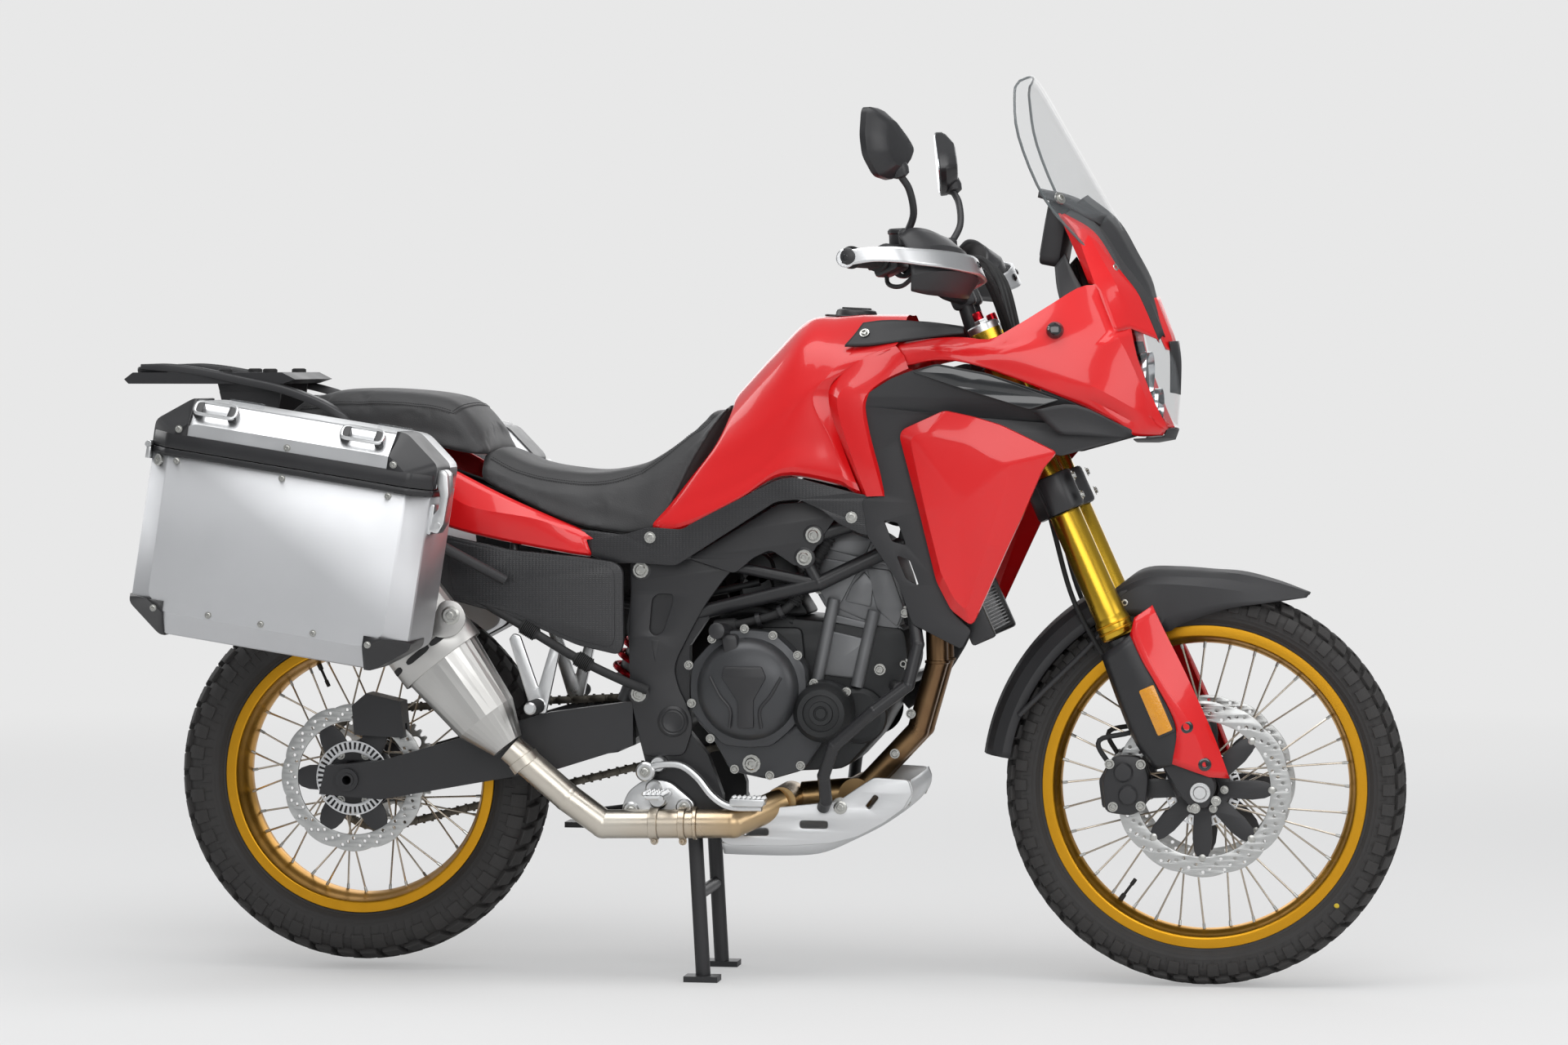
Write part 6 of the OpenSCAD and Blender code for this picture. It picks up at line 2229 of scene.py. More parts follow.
# %% [markdown]
# ## Frame, covers and guards
# A pressed cover hides each frame plate, with a waisted slot, a round plug and big flanged bolts.
# Above it a second cover follows the tank rail forwards to the engine mounts.

# %% Frame covers
plate_line = [
    (508, 742), (509, 690), (505, 600), (508, 505), (514, 470), (533, 396), (603, 398), (617, 440),
    (618, 463), (608, 488), (594, 515), (586, 545), (590, 566), (615, 615), (640, 660), (668, 699),
    (692, 727), (610, 744)
]
slot_line = [(547, 671), (557, 680), (584, 679), (582, 662), (566, 614), (553, 606), (542, 614)]
cover = plate([shape(plate_line, 12), shape(slot_line, 6)], -143, -136, 2.5)
lip = cut(np.array([(545, 600), (560, 600), (552, 560)]), 4, -143.5, -140, 1)
plug = lathe(
    [[0, 147], [14, 147], [17, 148.5], [20, 147], [22, 148.5], [25, 147], [27, 145], [27, 142]], 48,
    at=(584, 0, 458)
)
upper = cut(
    [
        (612, 742), (690, 790), (770, 838), (826, 842), (874, 818), (850, 784), (830, 752), (802, 728),
        (782, 742), (757, 758), (727, 744), (694, 716)
    ],
    9, -152, -146, 2.5
)
piece("frame_covers", both(join(cover, lip, plug, upper)), satin_black, "chassis")
big = [(527, -143, 721), (523, -143, 505), (832, -152, 784), (816, -152, 745)]
washer = turned([[0, 1], [15, 1], [18, 0], [19, -1], [19, -4]], 36)
piece("frame_bolt_seats", both(copies(washer, stand(np.array(big, float), RIGHT))), black_smooth, "chassis")
piece(
    "frame_bolts",
    both(join(bolts(big, RIGHT, 9.5, 7), bolts([[548, -168, 779], [906, -204, 817]], RIGHT, 7, 4))),
    bolt_zinc, "chassis"
)

# %% [markdown]
# The skid plate is bent from aluminium sheet. Its side wall carries two long slots and two domed
# bolts, and it turns up in front of the pipes with a line of small holes.

# %% Skid plate
wall_line = [
    (668, 252), (670, 298), (684, 302), (780, 310), (873, 321), (906, 344), (935, 363), (994, 360),
    (1001, 338), (986, 312), (952, 287), (905, 262), (860, 250), (780, 244), (680, 244)
]


def oval(x, z, half_length, half_height, lean=0.0):
    """A slot with round ends, turned by lean radians about its middle (x, z)."""
    c, n = math.cos(lean), math.sin(lean)
    box = np.array([
        (-half_length, -half_height), (half_length, -half_height), (half_length, half_height),
        (-half_length, half_height)
    ])
    return soft(box @ np.array([[c, n], [-n, c]]), half_height * 0.95, 4) + [x, z]


wall = plate(
    [shape(wall_line, 6)] + [oval(727, 267, 25, 8), oval(830, 281, 26, 8), oval(932, 322, 15, 6, 0.9)], -134,
    -128, 1.5
)
floor_line = np.array(
    [
        (668, 0, 226), (700, 0, 225), (790, 0, 225), (846, 0, 232), (905, 0, 258), (952, 0, 283),
        (987, 0, 310), (1001, 0, 338), (996, 0, 359)
    ],
    float
)
pan_rows = np.stack([
    floor_line + [0, y, lift]
    for y, lift in (
        (-131, 22), (-128, 16), (-112, 2), (-106, 0), (0, -1), (106, 0), (112, 2), (128, 16), (131, 22)
    )
])
pan_rows[[0, 1, -2, -1], -3:, 2] -= [[14, 18, 20]]
piece(
    "skid_tray", join(both(wall), grid(smooth(pan_rows.swapaxes(0, 1), 4).swapaxes(0, 1))), skid_alloy,
    "chassis", ["skid_plate"], wall=3, sharp=24
)
piece(
    "skid_bolts",
    both(join(
        bolts([[720, -134, 291], [877, -134, 312]], RIGHT, 12, 5),
        bolts([[720, -137, 291], [877, -137, 312]], RIGHT, 6, 4),
        bolts([[994, -y, 346 - y / 4] for y in (112, 76, 40)], (1, 0, -0.4), 4, 2)
    )),
    bolt_zinc, "chassis"
)

# %% [markdown]
# The guard bars are bent tube. The footrest brackets are cast aluminium with a ribbed peg, and
# the pedals are forged, with teeth cut into the pad so that a wet boot does not slip.

# %% Footrests and pedals
hanger = [
    (494, 306), (506, 336), (536, 358), (579, 355), (624, 318), (622, 306), (606, 296), (579, 288),
    (526, 280), (500, 288)
]
bracket = join(
    plate([shape(hanger, 12), circle(13, 24, (560, 318))[::-1]], -156, -144, 3),
    lathe([[0, 160], [12, 160], [14, 156], [14, 140]], 30, at=(560, 0, 384)),
    *[
        lathe([[0, 160], [12, 160], [15, 157], [15, 152]], 28, at=(x, 0, z))
        for x, z in ((512, 303), (606, 310), (552, 342))
    ]
)
peg_bars = join(
    *[along(np.array([[x, -158, 334], [x, -238, 332]]), circle(4.6, 10), up=UP) for x in (548, 580)],
    *[along(np.array([[548, y, 333], [580, y, 333]]), circle(4, 8), up=UP) for y in (-176, -194, -212, -230)],
    lathe([[0, 176], [14, 176], [16, 172], [16, 150]], 28, at=(562, 0, 326))
)
teeth = turned([[0, 5], [1.6, 5], [4, 0], [4, -1]], 4)
spots = np.array(
    [
        [x, y, 338] for x in (548, 556, 564, 572, 580) for y in (-176, -194, -212, -230)
    ] + [[548, y, 338] for y in (-185, -203, -221)] + [[580, y, 338] for y in (-185, -203, -221)],
    float
)
grips_on = copies(teeth, stand(spots, UP, LEFT))
rear_hanger = cut(
    [
        (296, 600), (304, 610), (316, 606), (348, 516), (370, 588), (382, 588), (386, 578), (362, 470),
        (336, 470)
    ],
    4, -162, -152, 3
)
rear_peg = lathe([[0, 236], [8, 236], [11, 232], [11, 166], [13, 164], [13, 156]], 28, at=(349, 0, 484))
piece(
    "footrest_castings", both(join(bracket, peg_bars, grips_on, rear_hanger, rear_peg)), silver_cast,
    "chassis", ["foot_controls"]
)
sleeve = lathe(
    [[11.5, 170], [13, 172]] + [[13 - (k % 2) * 1.2, 174 + k * 3.4] for k in range(16)] + [[12, 232]], 28,
    at=(349, 0, 484)
)
piece("passenger_peg_rubbers", both(sleeve), soft_rubber, "chassis")
pedal = join(
    along(
        smooth(
            [
                (534, -164, 370), (556, -166, 382), (600, -168, 384), (632, -172, 364), (660, -176, 332),
                (692, -178, 314), (746, -178, 313)
            ],
            6
        ),
        rounded(6, 9, 5, 3)
    ),
    lathe([[0, 176], [14, 176], [17, 173], [17, 158]], 32, at=(540, 0, 372)),
    cut([(694, 318), (752, 317), (756, 330), (694, 331)], 3, -206, -172, 2)
)
pad_teeth = copies(
    teeth,
    stand(np.array([[x, y, 330] for x in np.linspace(699, 751, 7) for y in (-178, -189, -200)]), UP, LEFT)
)
shifter = join(
    along(
        smooth([(548, 166, 384), (600, 168, 384), (660, 170, 376), (716, 172, 370)], 5), rounded(5, 7, 4, 3)
    ),
    lathe([[0, -214], [9, -214], [10, -210], [10, -176], [7, -174]], 24, at=(719, 0, 372))
)
piece("foot_pedals", join(pedal, pad_teeth, shifter), silver_cast, "chassis")
piece(
    "footrest_bolts", both(bolts([[512, -160, 303], [606, -160, 310], [540, -177, 372]], RIGHT, 7, 5)),
    bolt_zinc, "chassis"
)

# %% [markdown]
# The exhaust clamps are split bands with a bolt, and a pressed strap holds the silencer.

# %% Exhaust clamps and silencer strap
def band(at, axis, radius, width):
    """A rolled steel band round a pipe."""
    return lathe(
        [
            [radius, -width / 2], [radius + 2, -width / 2 + 1], [radius + 2, width / 2 - 1],
            [radius, width / 2]
        ],
        40, at=at, axis=axis
    )


bands = join(
    band((556, -171, 282), AHEAD, 26, 16), band((606, -170, 283), AHEAD, 26.5, 12),
    band((628, -170, 284), (1, 0.05, 0), 27, 7), band((330, -186, 388), (-0.6, 0, 0.8), 26, 18),
    *[band((1034, y, 560), UP, 20, 6) for y in (-42, 42)]
)
piece(
    "exhaust_bands", join(bands, bolts([[606, -170, 252], [556, -171, 252]], RIGHT, 5, 8)), tinted_steel,
    "chassis"
)
piece("heat_shield_screws", bolts([[990, -62, 470], [962, -62, 400]], RIGHT, 6, 5), bolt_zinc, "chassis")


# %% [markdown]
# ## Aluminium panniers
# A touring pannier is a welded box of brushed sheet about two millimetres thick, folded with a
# broad bevel round its outer face, with a lid hinged at the rear. A box with a Bevel modifier
# could do, but the four corners are cut off in the side view and the bevel narrows there, so the
# sheet is a grid: the outline of the case carried outwards in rings, each shrunk by its own
# inset. The case stands on its own tilted axes, along (u), across (y) and up (w).

# %% Case frame and outline
CASE_TILT, CASE_U, CASE_W, SEAM = math.radians(9), 245.0, 200.0, 115.0


def cased(part):
    """Turns (u, y, w) of the level case nose down by its tilt and carries it to its place."""
    u, y, w = part[0].T
    c, s = math.cos(CASE_TILT), math.sin(CASE_TILT)
    return np.column_stack([u * c + w * s - 35, y, w * c - u * s + 791]), part[1], part[2]


def case_corner(i):
    """Where a corner cut starts and ends on an outline shrunk by i: each end slides along its side."""
    return CASE_U - 58 - 0.337 * i, CASE_W - 44 - 0.497 * i


def case_edge(i, up, seam):
    """The outline shrunk by i from one end of the seam round to the other, below it or above it."""
    cu, cw = case_corner(i)
    line = np.array([
        (i - CASE_U, seam * up), (i - CASE_U, cw), (-cu, CASE_W - i), (cu, CASE_W - i), (CASE_U - i, cw),
        (CASE_U - i, seam * up)
    ])
    return soft(line * [1, up], 12, 4, wrap=False)


def sheet_case(up, seam):
    """Rings of the outline from the inner face to the outer one, with both faces filled in."""
    rings = [(266, 5), (267.5, 1.5), (271, 0), (431, 0), (435, 2), (462.5, 34), (466, 38)]
    P = np.stack([np.insert(case_edge(i, up, seam), 1, -y, axis=1) for y, i in rings])
    faces = []
    for ring in (P[0], P[-1]):
        faces.append((
            ring, NO_QUADS, np.array(tessellate_polygon([(ring * [1, 0, 1])[:, [0, 2, 1]].tolist()]))
        ))
    return cased(join(grid(P), *faces))


# %% [markdown]
# The lid and the case are the same folded sheet on the two sides of one seam, so one function draws
# both. The lid rides on its own body and leaves a thin gap at the seam, where it opens.

# %% Cases and lids
HANDS = (("right", lambda part: part), ("left", mirrored))
for hand, flip in HANDS:
    piece(
        hand + "_case_sheet", flip(sheet_case(-1, SEAM - 0.8)), brushed_sheet, "chassis", [hand + "_pannier"],
        sharp=17, wall=2
    )
    # The lid wears the paler satin finish and the case the brushed sheet: painted light, the same sheet drawn
    # lighter above the seam.
    piece(
        hand + "_lid_sheet", flip(sheet_case(1, SEAM + 0.8)), brushed_edge, hand + "_lid",
        [hand + "_pannier_lid"], sharp=17, wall=2
    )

# %% [markdown]
# ## Corner caps, seam band, rivets, handles and latch
# Moulded black caps are riveted over every outer corner and follow the folded sheet, so each is
# made from the same outline rule, a little outside it. Two rubber-black extrusions meet at the
# seam, wire handles and clear bump pads sit on the lid, and a sprung latch closes the front.

# %% Caps and band
def corner_cap(su, sw, u_end, w_end):
    """The corner of the outline between w_end and u_end, carried over the bevel onto the face."""
    rings = [(336, -0.2), (338, -2.6), (432, -2.6), (463.5, 32), (468.6, 38.5), (468.9, 42)]
    rows = []
    for y, i in rings:
        cu, cw = case_corner(i)
        line = np.array([
            (CASE_U - i, w_end), (CASE_U - i, max(cw, w_end + 1)), (max(cu, u_end + 1), CASE_W - i),
            (u_end, CASE_W - i)
        ])
        rows.append(np.insert(soft(line * [su, sw], 9, 4, wrap=False), 1, -y, axis=1))
    last = np.vstack([rows[-1], [[su * u_end, -468.9, sw * w_end]]])
    return cased(join(grid(np.stack(rows)), fan(last)))


def seam_strip(w0, w1):
    """A flat extrusion that runs round the outer face and the bevels in the case's plan view."""
    plan = soft(
        [(-243, 420), (-245.6, 434), (-212, 468), (212, 468), (245.6, 434), (245.6, 300)], 6, 4, wrap=False
    )
    path = np.column_stack([plan[:, 0], -plan[:, 1], np.full(len(plan), (w0 + w1) / 2)])
    h = (w1 - w0) / 2
    return cased(along(
        path, [(-1.6, -h), (1.4, -h), (2.2, 1.5 - h), (2.2, h - 1.5), (1.4, h), (-1.6, h)], up=UP
    ))


def on_case(points, outwards=0.0):
    """Points (u, y, w) of the case in the motorcycle's own axes."""
    return cased((np.array(points, float) + [0, -outwards, 0], None, None))[0]


lid_caps = join(corner_cap(1, 1, 171, 118), corner_cap(-1, 1, 180, 118))
case_caps = join(corner_cap(1, -1, 175, 143), corner_cap(-1, -1, 178, 143))
lid_rivets = bolts(on_case([(-195, -471, 150), (-5, -467, 148), (182, -471, 150)]), RIGHT, 4.4, 3.4)
case_rivets = bolts(
    on_case(
        [
            (u, -467, w) for u, w in [(-192, 96), (-6, 96), (180, 96), (-98, -154), (-5, -154), (87, -154)]
        ] + [(-194, -470.5, -157), (184, -470.5, -157)]
    ),
    RIGHT, 4.2, 3.2
)
for hand, flip in HANDS:
    piece(
        hand + "_lid_caps", flip(lid_caps), black_smooth, hand + "_lid", wall=2.4,
        sharp=25
    )
    piece(
        hand + "_case_caps", flip(case_caps), black_smooth, "chassis", wall=2.4,
        sharp=25
    )
    piece(
        hand + "_lid_seam_strip", flip(seam_strip(116, 141)), black_smooth, hand + "_lid",
    )
    piece(
        hand + "_case_seam_strip", flip(seam_strip(104, 114)), black_smooth, "chassis"
    )
    piece(hand + "_lid_rivets", flip(lid_rivets), bolt_zinc, hand + "_lid")
    piece(hand + "_case_rivets", flip(case_rivets), bolt_zinc, "chassis")

# %% [markdown]
# The fittings are small turned, bent and cut parts, placed in the case's own axes and then tilted
# with it. What lies above the seam rides on the lid, and what lies below it stays on the case.

# %% Handles, pads, latch, hinge and lock
BEVEL_UP = np.array([0, -0.773, 0.634])
ring = rounded(36, 13, 10, 4)
handles, feet = [], []
for u in (-139, 119):
    centre = np.array([u, -451, 184]) + BEVEL_UP * 11
    wire = centre + np.column_stack([ring[:, 0], ring[:, 1] * 0.634, ring[:, 1] * 0.773])
    handles.append(along(wire, circle(3.2, 8), up=BEVEL_UP, wrap=True))
    for side_u in (-30, 30):
        feet.append(disc_plate([rounded(8, 12, 4, 4)], -14, 2, centre + [side_u, 0, 0], BEVEL_UP, UP))
pads = [disc_plate([rounded(11, 31, 8, 4)], -1, 9, (u, -384, 201), UP, AHEAD, 3) for u in (-108, 155)]
lever = np.array(
    [
        (247, 148), (258, 153), (266, 146), (273, 112), (272, 62), (264, 43), (247, 45), (249, 70), (258, 84),
        (258, 108), (249, 126)
    ],
    float
)
latch = [
    plate([soft(lever, 4, 3)], -424, -386, 2.5),
    plate([soft([(245, 92), (252, 92), (252, 40), (245, 40)], 3, 3)], -424, -378, 1.5)
]
latch.append(lathe([[0, 0], [5, 0], [5, 52], [0, 52]], 16, (262, -379, 58)))
barrel = [
    lathe([[0, 0], [5.4, 0], [6, 0.6], [6, length - 0.6], [5.4, length], [0, length]], 20, (-252, y, SEAM))
    for y, length in ((-286, 30), (-416, 30))
]
leaf = [plate([[(-254, 91), (-246, 91), (-246, 111), (-254, 111)]], y - 30, y, 1) for y in (-286, -416)]
lid_barrel = join(
    lathe([[0, 0], [5.4, 0], [6, 0.6], [6, 87.4], [5.4, 88], [0, 88]], 20, (-252, -322, SEAM)),
    plate([[(-254, 118), (-246, 118), (-246, 139), (-254, 139)]], -410, -322, 1)
)
catch = plate([soft([(245, 118), (250, 118), (250, 126), (252, 132), (245, 134)], 2, 3)], -420, -418, 0.6)
lock = lathe(
    [[0, 0], [2, 0], [2, -2], [9, -2], [10, 0], [10, 3], [8, 4.5], [3, 4.5], [3, 3], [0, 3]], 24,
    (-226, -455, 92), (-0.55, -0.83, 0)
)
for hand, flip in HANDS:
    piece(
        hand + "_lid_handles", flip(cased(join(*handles))), silver_cast, hand + "_lid",
    )
    piece(
        hand + "_lid_handle_feet", flip(cased(join(*feet))), black_smooth, hand + "_lid"
    )
    piece(hand + "_lid_pads", flip(cased(join(*pads))), lamp_lens, hand + "_lid")
    piece(hand + "_case_latch", flip(cased(join(*latch))), silver_cast, "chassis")
    piece(hand + "_lid_catch", flip(cased(catch)), silver_cast, hand + "_lid")
    piece(
        hand + "_case_hinge", flip(cased(join(*barrel, *leaf))), silver_cast, "chassis",
    )
    piece(
        hand + "_lid_hinge_leaf", flip(cased(lid_barrel)), silver_cast, hand + "_lid",
    )
    piece(hand + "_case_lock", flip(cased(lock)), bolt_zinc, "chassis")

# %% [markdown]
# ## Seats
# The saddle is moulded foam under an embossed vinyl cover, so it is a padded piece: sides that
# belly out between the seams, a crowned top, and a flat base where it rests on the pan. Sculpting
# it by hand would do, but here the foam form is drawn from a few cross-sections a little small,
# and Blender's cloth then blows it up against its own skin, which gives the soft, even swell.
# The stitched seam and its thread are laid on the skin afterwards.

# %% Foam form and swell
VOXEL, AIR, LAST_FRAME = 0.006, 4.0, 20
SHY_TOP, SHY_SIDE = 5, 6


def foam(sections):
    """Closed rings: a crowned top, sides widest a third of the way down, and a flat narrow base."""
    rows = []
    for x, lower, upper, half in sections:
        h = upper - lower
        right = [
            (0, upper), (0.42, upper - 1.5), (0.76, upper - 7), (0.94, upper - 18 - 0.1 * h),
            (1.0, upper - 0.52 * h), (1.0, lower + 0.2 * h), (0.97, lower + 2), (0.6, lower)
        ]
        loop = [(x, -y * half, z) for y, z in right] + [(x, 0, lower)] + [
            (x, y * half, z) for y, z in right[:0:-1]
        ]
        rows.append(loop)
    return drum(net(rows, 5, 4, wrap_v=True))


def swell(pad, lower, most):
    """Cloth with inner air pressure, each point held to a most; the base stays flat on its pan."""
    scene = bpy.context.scene
    even = pad.modifiers.new("even_quads", "REMESH")
    even.mode, even.voxel_size = "VOXEL", VOXEL
    skin = bpy.data.meshes.new_from_object(pad.evaluated_get(bpy.context.evaluated_depsgraph_get()))
    pad.modifiers.clear()
    pad.data = skin
    start = np.empty(len(skin.vertices) * 3, np.float32)
    skin.vertices.foreach_get("co", start)
    cloth = pad.modifiers.new("air", "CLOTH")
    cloth.settings.use_pressure, cloth.settings.uniform_pressure_force = True, AIR
    cloth.settings.effector_weights.gravity = 0.0
    cloth.point_cache.frame_start, cloth.point_cache.frame_end = 1, LAST_FRAME
    for step in range(1, LAST_FRAME + 1):
        scene.frame_set(step)
    blown = pad.evaluated_get(bpy.context.evaluated_depsgraph_get()).data
    end = np.empty_like(start)
    blown.vertices.foreach_get("co", end)
    pad.modifiers.clear()
    scene.frame_set(1)
    a, b = start.reshape(-1, 3), end.reshape(-1, 3)
    far = np.linalg.norm(b - a, axis=1, keepdims=True)
    base = np.interp(a[:, 0], (np.array(lower)[:, 0]) / 1000 + REAR_X, np.array(lower)[:, 1] / 1000)
    free = np.clip((a[:, 2] - base - 0.004) / 0.02, 0, 1)[:, None]
    a = a + (b - a) * np.minimum(1, most / 1000 / np.maximum(far, 1e-6)) * free
    skin.vertices.foreach_set("co", a.astype(np.float32).ravel())
    skin.update()
    print("%-24s swelled up to %.1f mm" % (pad.name, min(float(far.max()) * 1000, most)))


def seat(name, sections, node, most=7.0):
    """The foam form made one size smaller, swelled and smoothed once."""
    small = [(x, lower, upper - SHY_TOP, half - SHY_SIDE) for x, lower, upper, half in sections]
    pad = piece(name, foam(small), seat_vinyl, "chassis", [node], sharp=180, weld=0.1)
    swell(pad, [s[:2] for s in small], most)
    pad.data.polygons.foreach_set("use_smooth", np.ones(len(pad.data.polygons), bool))
    finer = pad.modifiers.new("smooth_skin", "SUBSURF")
    finer.levels = finer.render_levels = 1
    return pad


rider_pad = seat(
    "rider_seat_pad",
    [
        (238, 880, 922, 120), (250, 870, 938, 138), (317, 838, 907, 152), (380, 810, 895, 158),
        (446, 791, 891, 156), (518, 782, 904, 150), (562, 800, 926, 148), (612, 902, 964, 134),
        (655, 978, 1008, 112), (672, 1002, 1018, 88)
    ],
    "rider_seat"
)
pillion_pad = seat(
    "pillion_seat_pad",
    [
        (-124, 990, 1004, 64), (-114, 984, 1012, 84), (-62, 962, 1025, 108), (-20, 956, 1033, 126),
        (60, 948, 1034, 142), (150, 936, 1026, 146), (196, 926, 1010, 144), (236, 920, 968, 138),
        (250, 926, 948, 124)
    ],
    "pillion_seat"
)


# %% [markdown]
# A seam is a narrow welt of folded vinyl with a row of stitches on each side. Swelling would blur
# it, so it is laid on the finished skin: each point of a line drops to the nearest place on the
# pad, and short stitches follow the line at an even pitch.

# %% Seams and thread
STITCH_PITCH = 4.4


def seam_on(name, pad, points, inwards=0.2):
    """Drops a line onto the skin and lays a welt of folded vinyl and a row of stitches along it."""
    tree = BVHTree.FromObject(pad, bpy.context.evaluated_depsgraph_get())
    line = stations(smooth(points, 12))
    hits = [tree.find_nearest(Vector(p)) for p in line]
    spot = np.array([h[0] for h in hits]) * 1000 - [REAR_X * 1000, 0, 0]
    out = np.array([h[1] for h in hits])
    out = sum(np.roll(np.pad(out, ((2, 2), (0, 0)), mode="edge"), k, 0) for k in range(-2, 3))[2:-2]
    out /= np.linalg.norm(out, axis=1, keepdims=True)
    welt = along(
        spot - out * inwards, [(-1.7, -1.2), (1.7, -1.2), (1.5, 0.7), (0.6, 1.3), (-0.6, 1.3), (-1.5, 0.7)],
        up=out
    )
    length = np.concatenate([[0], np.cumsum(np.linalg.norm(np.diff(spot, axis=0), axis=1))])
    where = np.arange(3, length[-1] - 3, STITCH_PITCH)
    at = np.column_stack([np.interp(where, length, spot[:, k] + 0.9 * out[:, k]) for k in range(3)])
    ahead = np.column_stack([np.interp(where, length, np.gradient(spot[:, k])) for k in range(3)])
    lift = np.column_stack([np.interp(where, length, out[:, k]) for k in range(3)])
    beside = np.cross(lift, ahead)
    beside /= np.linalg.norm(beside, axis=1, keepdims=True)
    stitch = turned([[0, -1.6], [0.5, -1.1], [0.5, 1.1], [0, 1.6]], 5)
    thread = join(*(copies(stitch, stand(at + beside * d, ahead, lift)) for d in (-3.4, 3.4)))
    piece(name, welt, seat_vinyl, "chassis")
    piece(name + "_thread", thread, soft_rubber, "chassis")


for hand, sign in (("right", -1), ("left", 1)):
    seam_on(
        "rider_seam_" + hand, rider_pad,
        [
            (254, sign * 116, 926), (300, sign * 128, 908), (365, sign * 134, 886), (437, sign * 132, 876),
            (489, sign * 124, 880), (540, sign * 110, 900), (590, sign * 92, 934), (648, sign * 66, 996)
        ]
    )
    seam_on(
        "pillion_seam_" + hand, pillion_pad,
        [
            (-104, sign * 72, 1004), (-40, sign * 104, 1012), (10, sign * 118, 1013), (70, sign * 128, 1012),
            (140, sign * 130, 1006), (190, sign * 126, 994)
        ]
    )
seam_on(
    "pillion_seam_front", pillion_pad,
    [(190, -126, 994), (204, -100, 1008), (208, 0, 1014), (204, 100, 1008), (190, 126, 994)]
)

# %% [markdown]
# ## Luggage rack, silencer strap and small rear parts
# The cast rack ends in two arms that slope down beside the pillion pad. The silencer hangs in a
# slotted stainless strap with a rubber-bushed bolt, and two ribbed boots protect the wiring that
# runs down the rear frame tube.

# %% Rack arms and pads
arm = [
    (-380, -112, 1074), (-320, -112, 1072), (-262, -113, 1064), (-190, -118, 1050), (-115, -128, 1034),
    (-50, -139, 1012), (-8, -145, 990), (8, -145, 978)
]
arm_section = soft([(-16, -7), (16, -7), (12, 7), (-12, 7)], 4, 4)
arms = both(along(
    smooth(arm, 6), arm_section, up=UP,
    scale=np.interp(np.linspace(0, 1, 43), [0, 0.1, 0.8, 1], [0.7, 1, 1, 0.6])
))
tops = [
    slab([soft([(-400, -y0), (-344, -y0), (-344, -y1), (-400, -y1)], 12, 5)], 1063, 1074, 3)
    for y0, y1 in ((20, 84), (-84, -20))
]
pads_at = [[x, y, 1064] for x in (-232, -150) for y in (-96, 96)]
studs = copies(
    turned([[0, 0], [13, 0], [13, 5], [10, 7], [4, 7], [4, 4], [0, 4]], 24), stand(pads_at, UP, LEFT)
)
piece("rack_arms", join(arms, *tops), satin_black, "chassis")
piece("rack_pads", studs, soft_rubber, "chassis")


# %% [markdown]
# A pressed strap grips the oval silencer, so it is a thin ring cut to that oval and carried to its
# place along the silencer's axis. Three dark slots in it follow the curve of the strap, and a tab
# holds it to the frame with a rubber-bushed bolt.

# %% Silencer strap
axle_line = np.array([30 - 300, 0, 762 - 416], float) / math.hypot(270, 346)
girth = circle(1, 72) * [81.6, 48.6]
strap_at = stand(np.array([300, -190, 416.0]) + axle_line * 217, axle_line, LEFT)
strap = copies(slab([girth, inset(girth, 2.5)[::-1]], -32, 32, 0.6), strap_at)
slots = []
for v in (35, -21, -73):
    bow = math.asin(v / 82) + np.linspace(-0.33, 0.33, 13) * (1 if abs(v) < 60 else 0.8)
    bow = np.column_stack([82 * np.sin(bow), -49.2 * np.cos(bow), np.zeros(13)])
    slots.append(copies(
        along(
            bow, [(-0.5, -5.5), (0.5, -5.5), (0.5, 5.5), (-0.5, 5.5)], up=UP,
            scale=[0.45, 0.8, 0.95] + [1] * 7 + [0.95, 0.8, 0.45]
        ),
        strap_at
    ))
tab = plate(
    [soft([(176, 612), (196, 604), (226, 612), (242, 640), (226, 670), (196, 672), (184, 650)], 15, 5)], -244,
    -240, 1
)
mount = join(
    lathe([[0, 0], [16, 0], [16, 3], [12, 5], [12, 8], [0, 8]], 32, (212, -243, 645)),
    bolts([[212, -250, 645]], RIGHT, 7, 5)
)
piece("silencer_strap", join(strap, tab), brushed_muffler, "chassis")
piece("silencer_strap_slots", join(*slots), soft_rubber, "chassis")
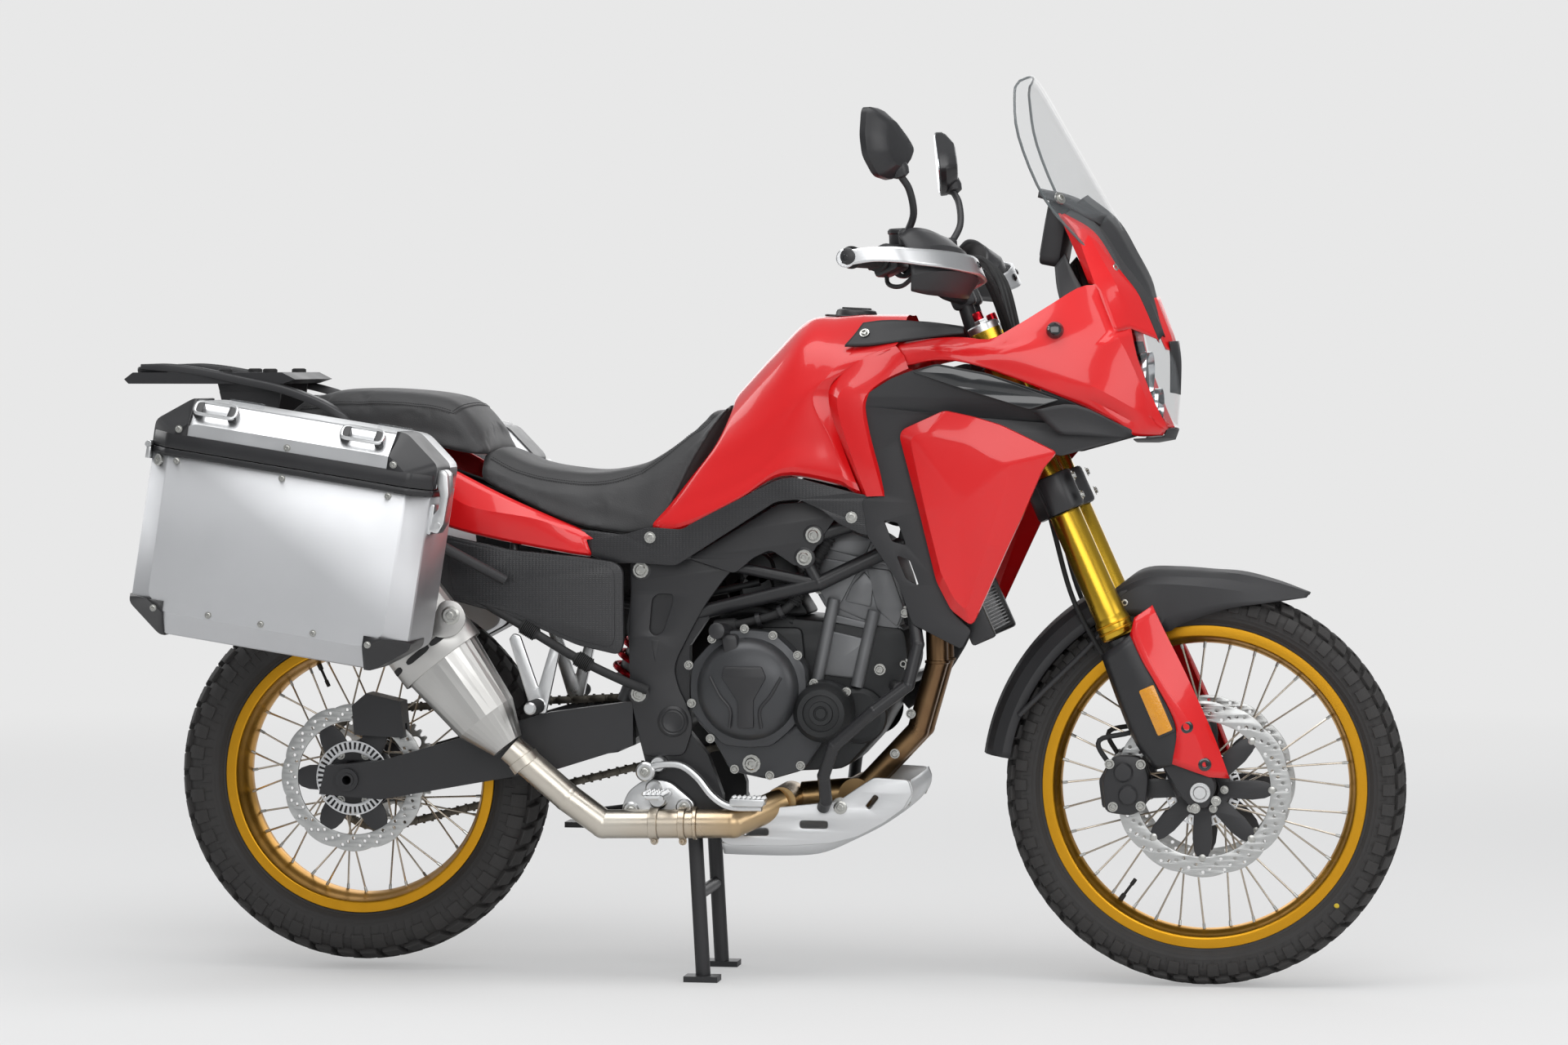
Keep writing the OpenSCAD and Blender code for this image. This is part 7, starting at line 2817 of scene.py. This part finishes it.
piece("silencer_mount", mount, bolt_zinc, "chassis")

# %% [markdown]
# Ribbed rubber boots seal the connectors of the rear wiring. The spring of the shock absorber is
# a round wire wound seven times about the line between its two seats.

# %% Boots and spring
ribs = [[0, 0], [9, 0]] + [
    [r, 3 + 3.2 * k + d] for k in range(9) for r, d in ((11, 0), (14, 1.2), (14, 2.2), (11, 3.2))
] + [[9, 35], [0, 35]]
boots = join(*(lathe(ribs, 24, at, (0.868, 0, -0.497)) for at in ((318, -163, 625), (414, -163, 570))))
loom = pipe([(216, -160, 682), (318, -163, 625), (415, -163, 569), (492, -160, 532), (540, -150, 512)], 8, 12)
piece("rear_loom", join(boots, loom), soft_rubber, "chassis")
turn = np.linspace(0, 2 * np.pi * 7, 141)
low_end, high_end = np.array([482, 0, 512.0]), np.array([541, 0, 666.0])
lean = (high_end - low_end) / np.linalg.norm(high_end - low_end)
sideways = np.cross(lean, [0, 1, 0])
coil = low_end + (high_end - low_end) * (turn / turn[-1])[:, None] + 38 * (
    np.cos(turn)[:, None] * sideways + np.sin(turn)[:, None] * [0, 1, 0]
)
piece("shock_spring", along(coil, circle(5.5, 8), up=lean), red_anodised, "chassis")

# %% [markdown]
# ## Refinishing what stays from the CAD model
# Tubes, plates and castings whose CAD shape is already true keep it and only change their finish.

# %% Finishes for the CAD parts that stay
KEPT = {
    "frame": frame_black, "subframe": frame_black, "crash_bars": frame_black, "exhaust_pipes": tinted_steel,
    "muffler": brushed_muffler, "swingarm": satin_black, "centre_stand": satin_black,
    "side_stand": satin_black, "shock_absorber": cast_grey, "rear_caliper": satin_black,
    "rear_mudguard": black_grained, "tail_light": red_lens, "luggage_rack": satin_black,
    "pannier_rails": satin_black
}
for name, stuff in KEPT.items():
    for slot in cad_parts[name].material_slots:
        slot.material = stuff
print("refinished:", len(KEPT))

# %% [markdown]
# ## Count
# The last line prints how many pieces were made.

# %% Close
print("pieces:", len(MADE))
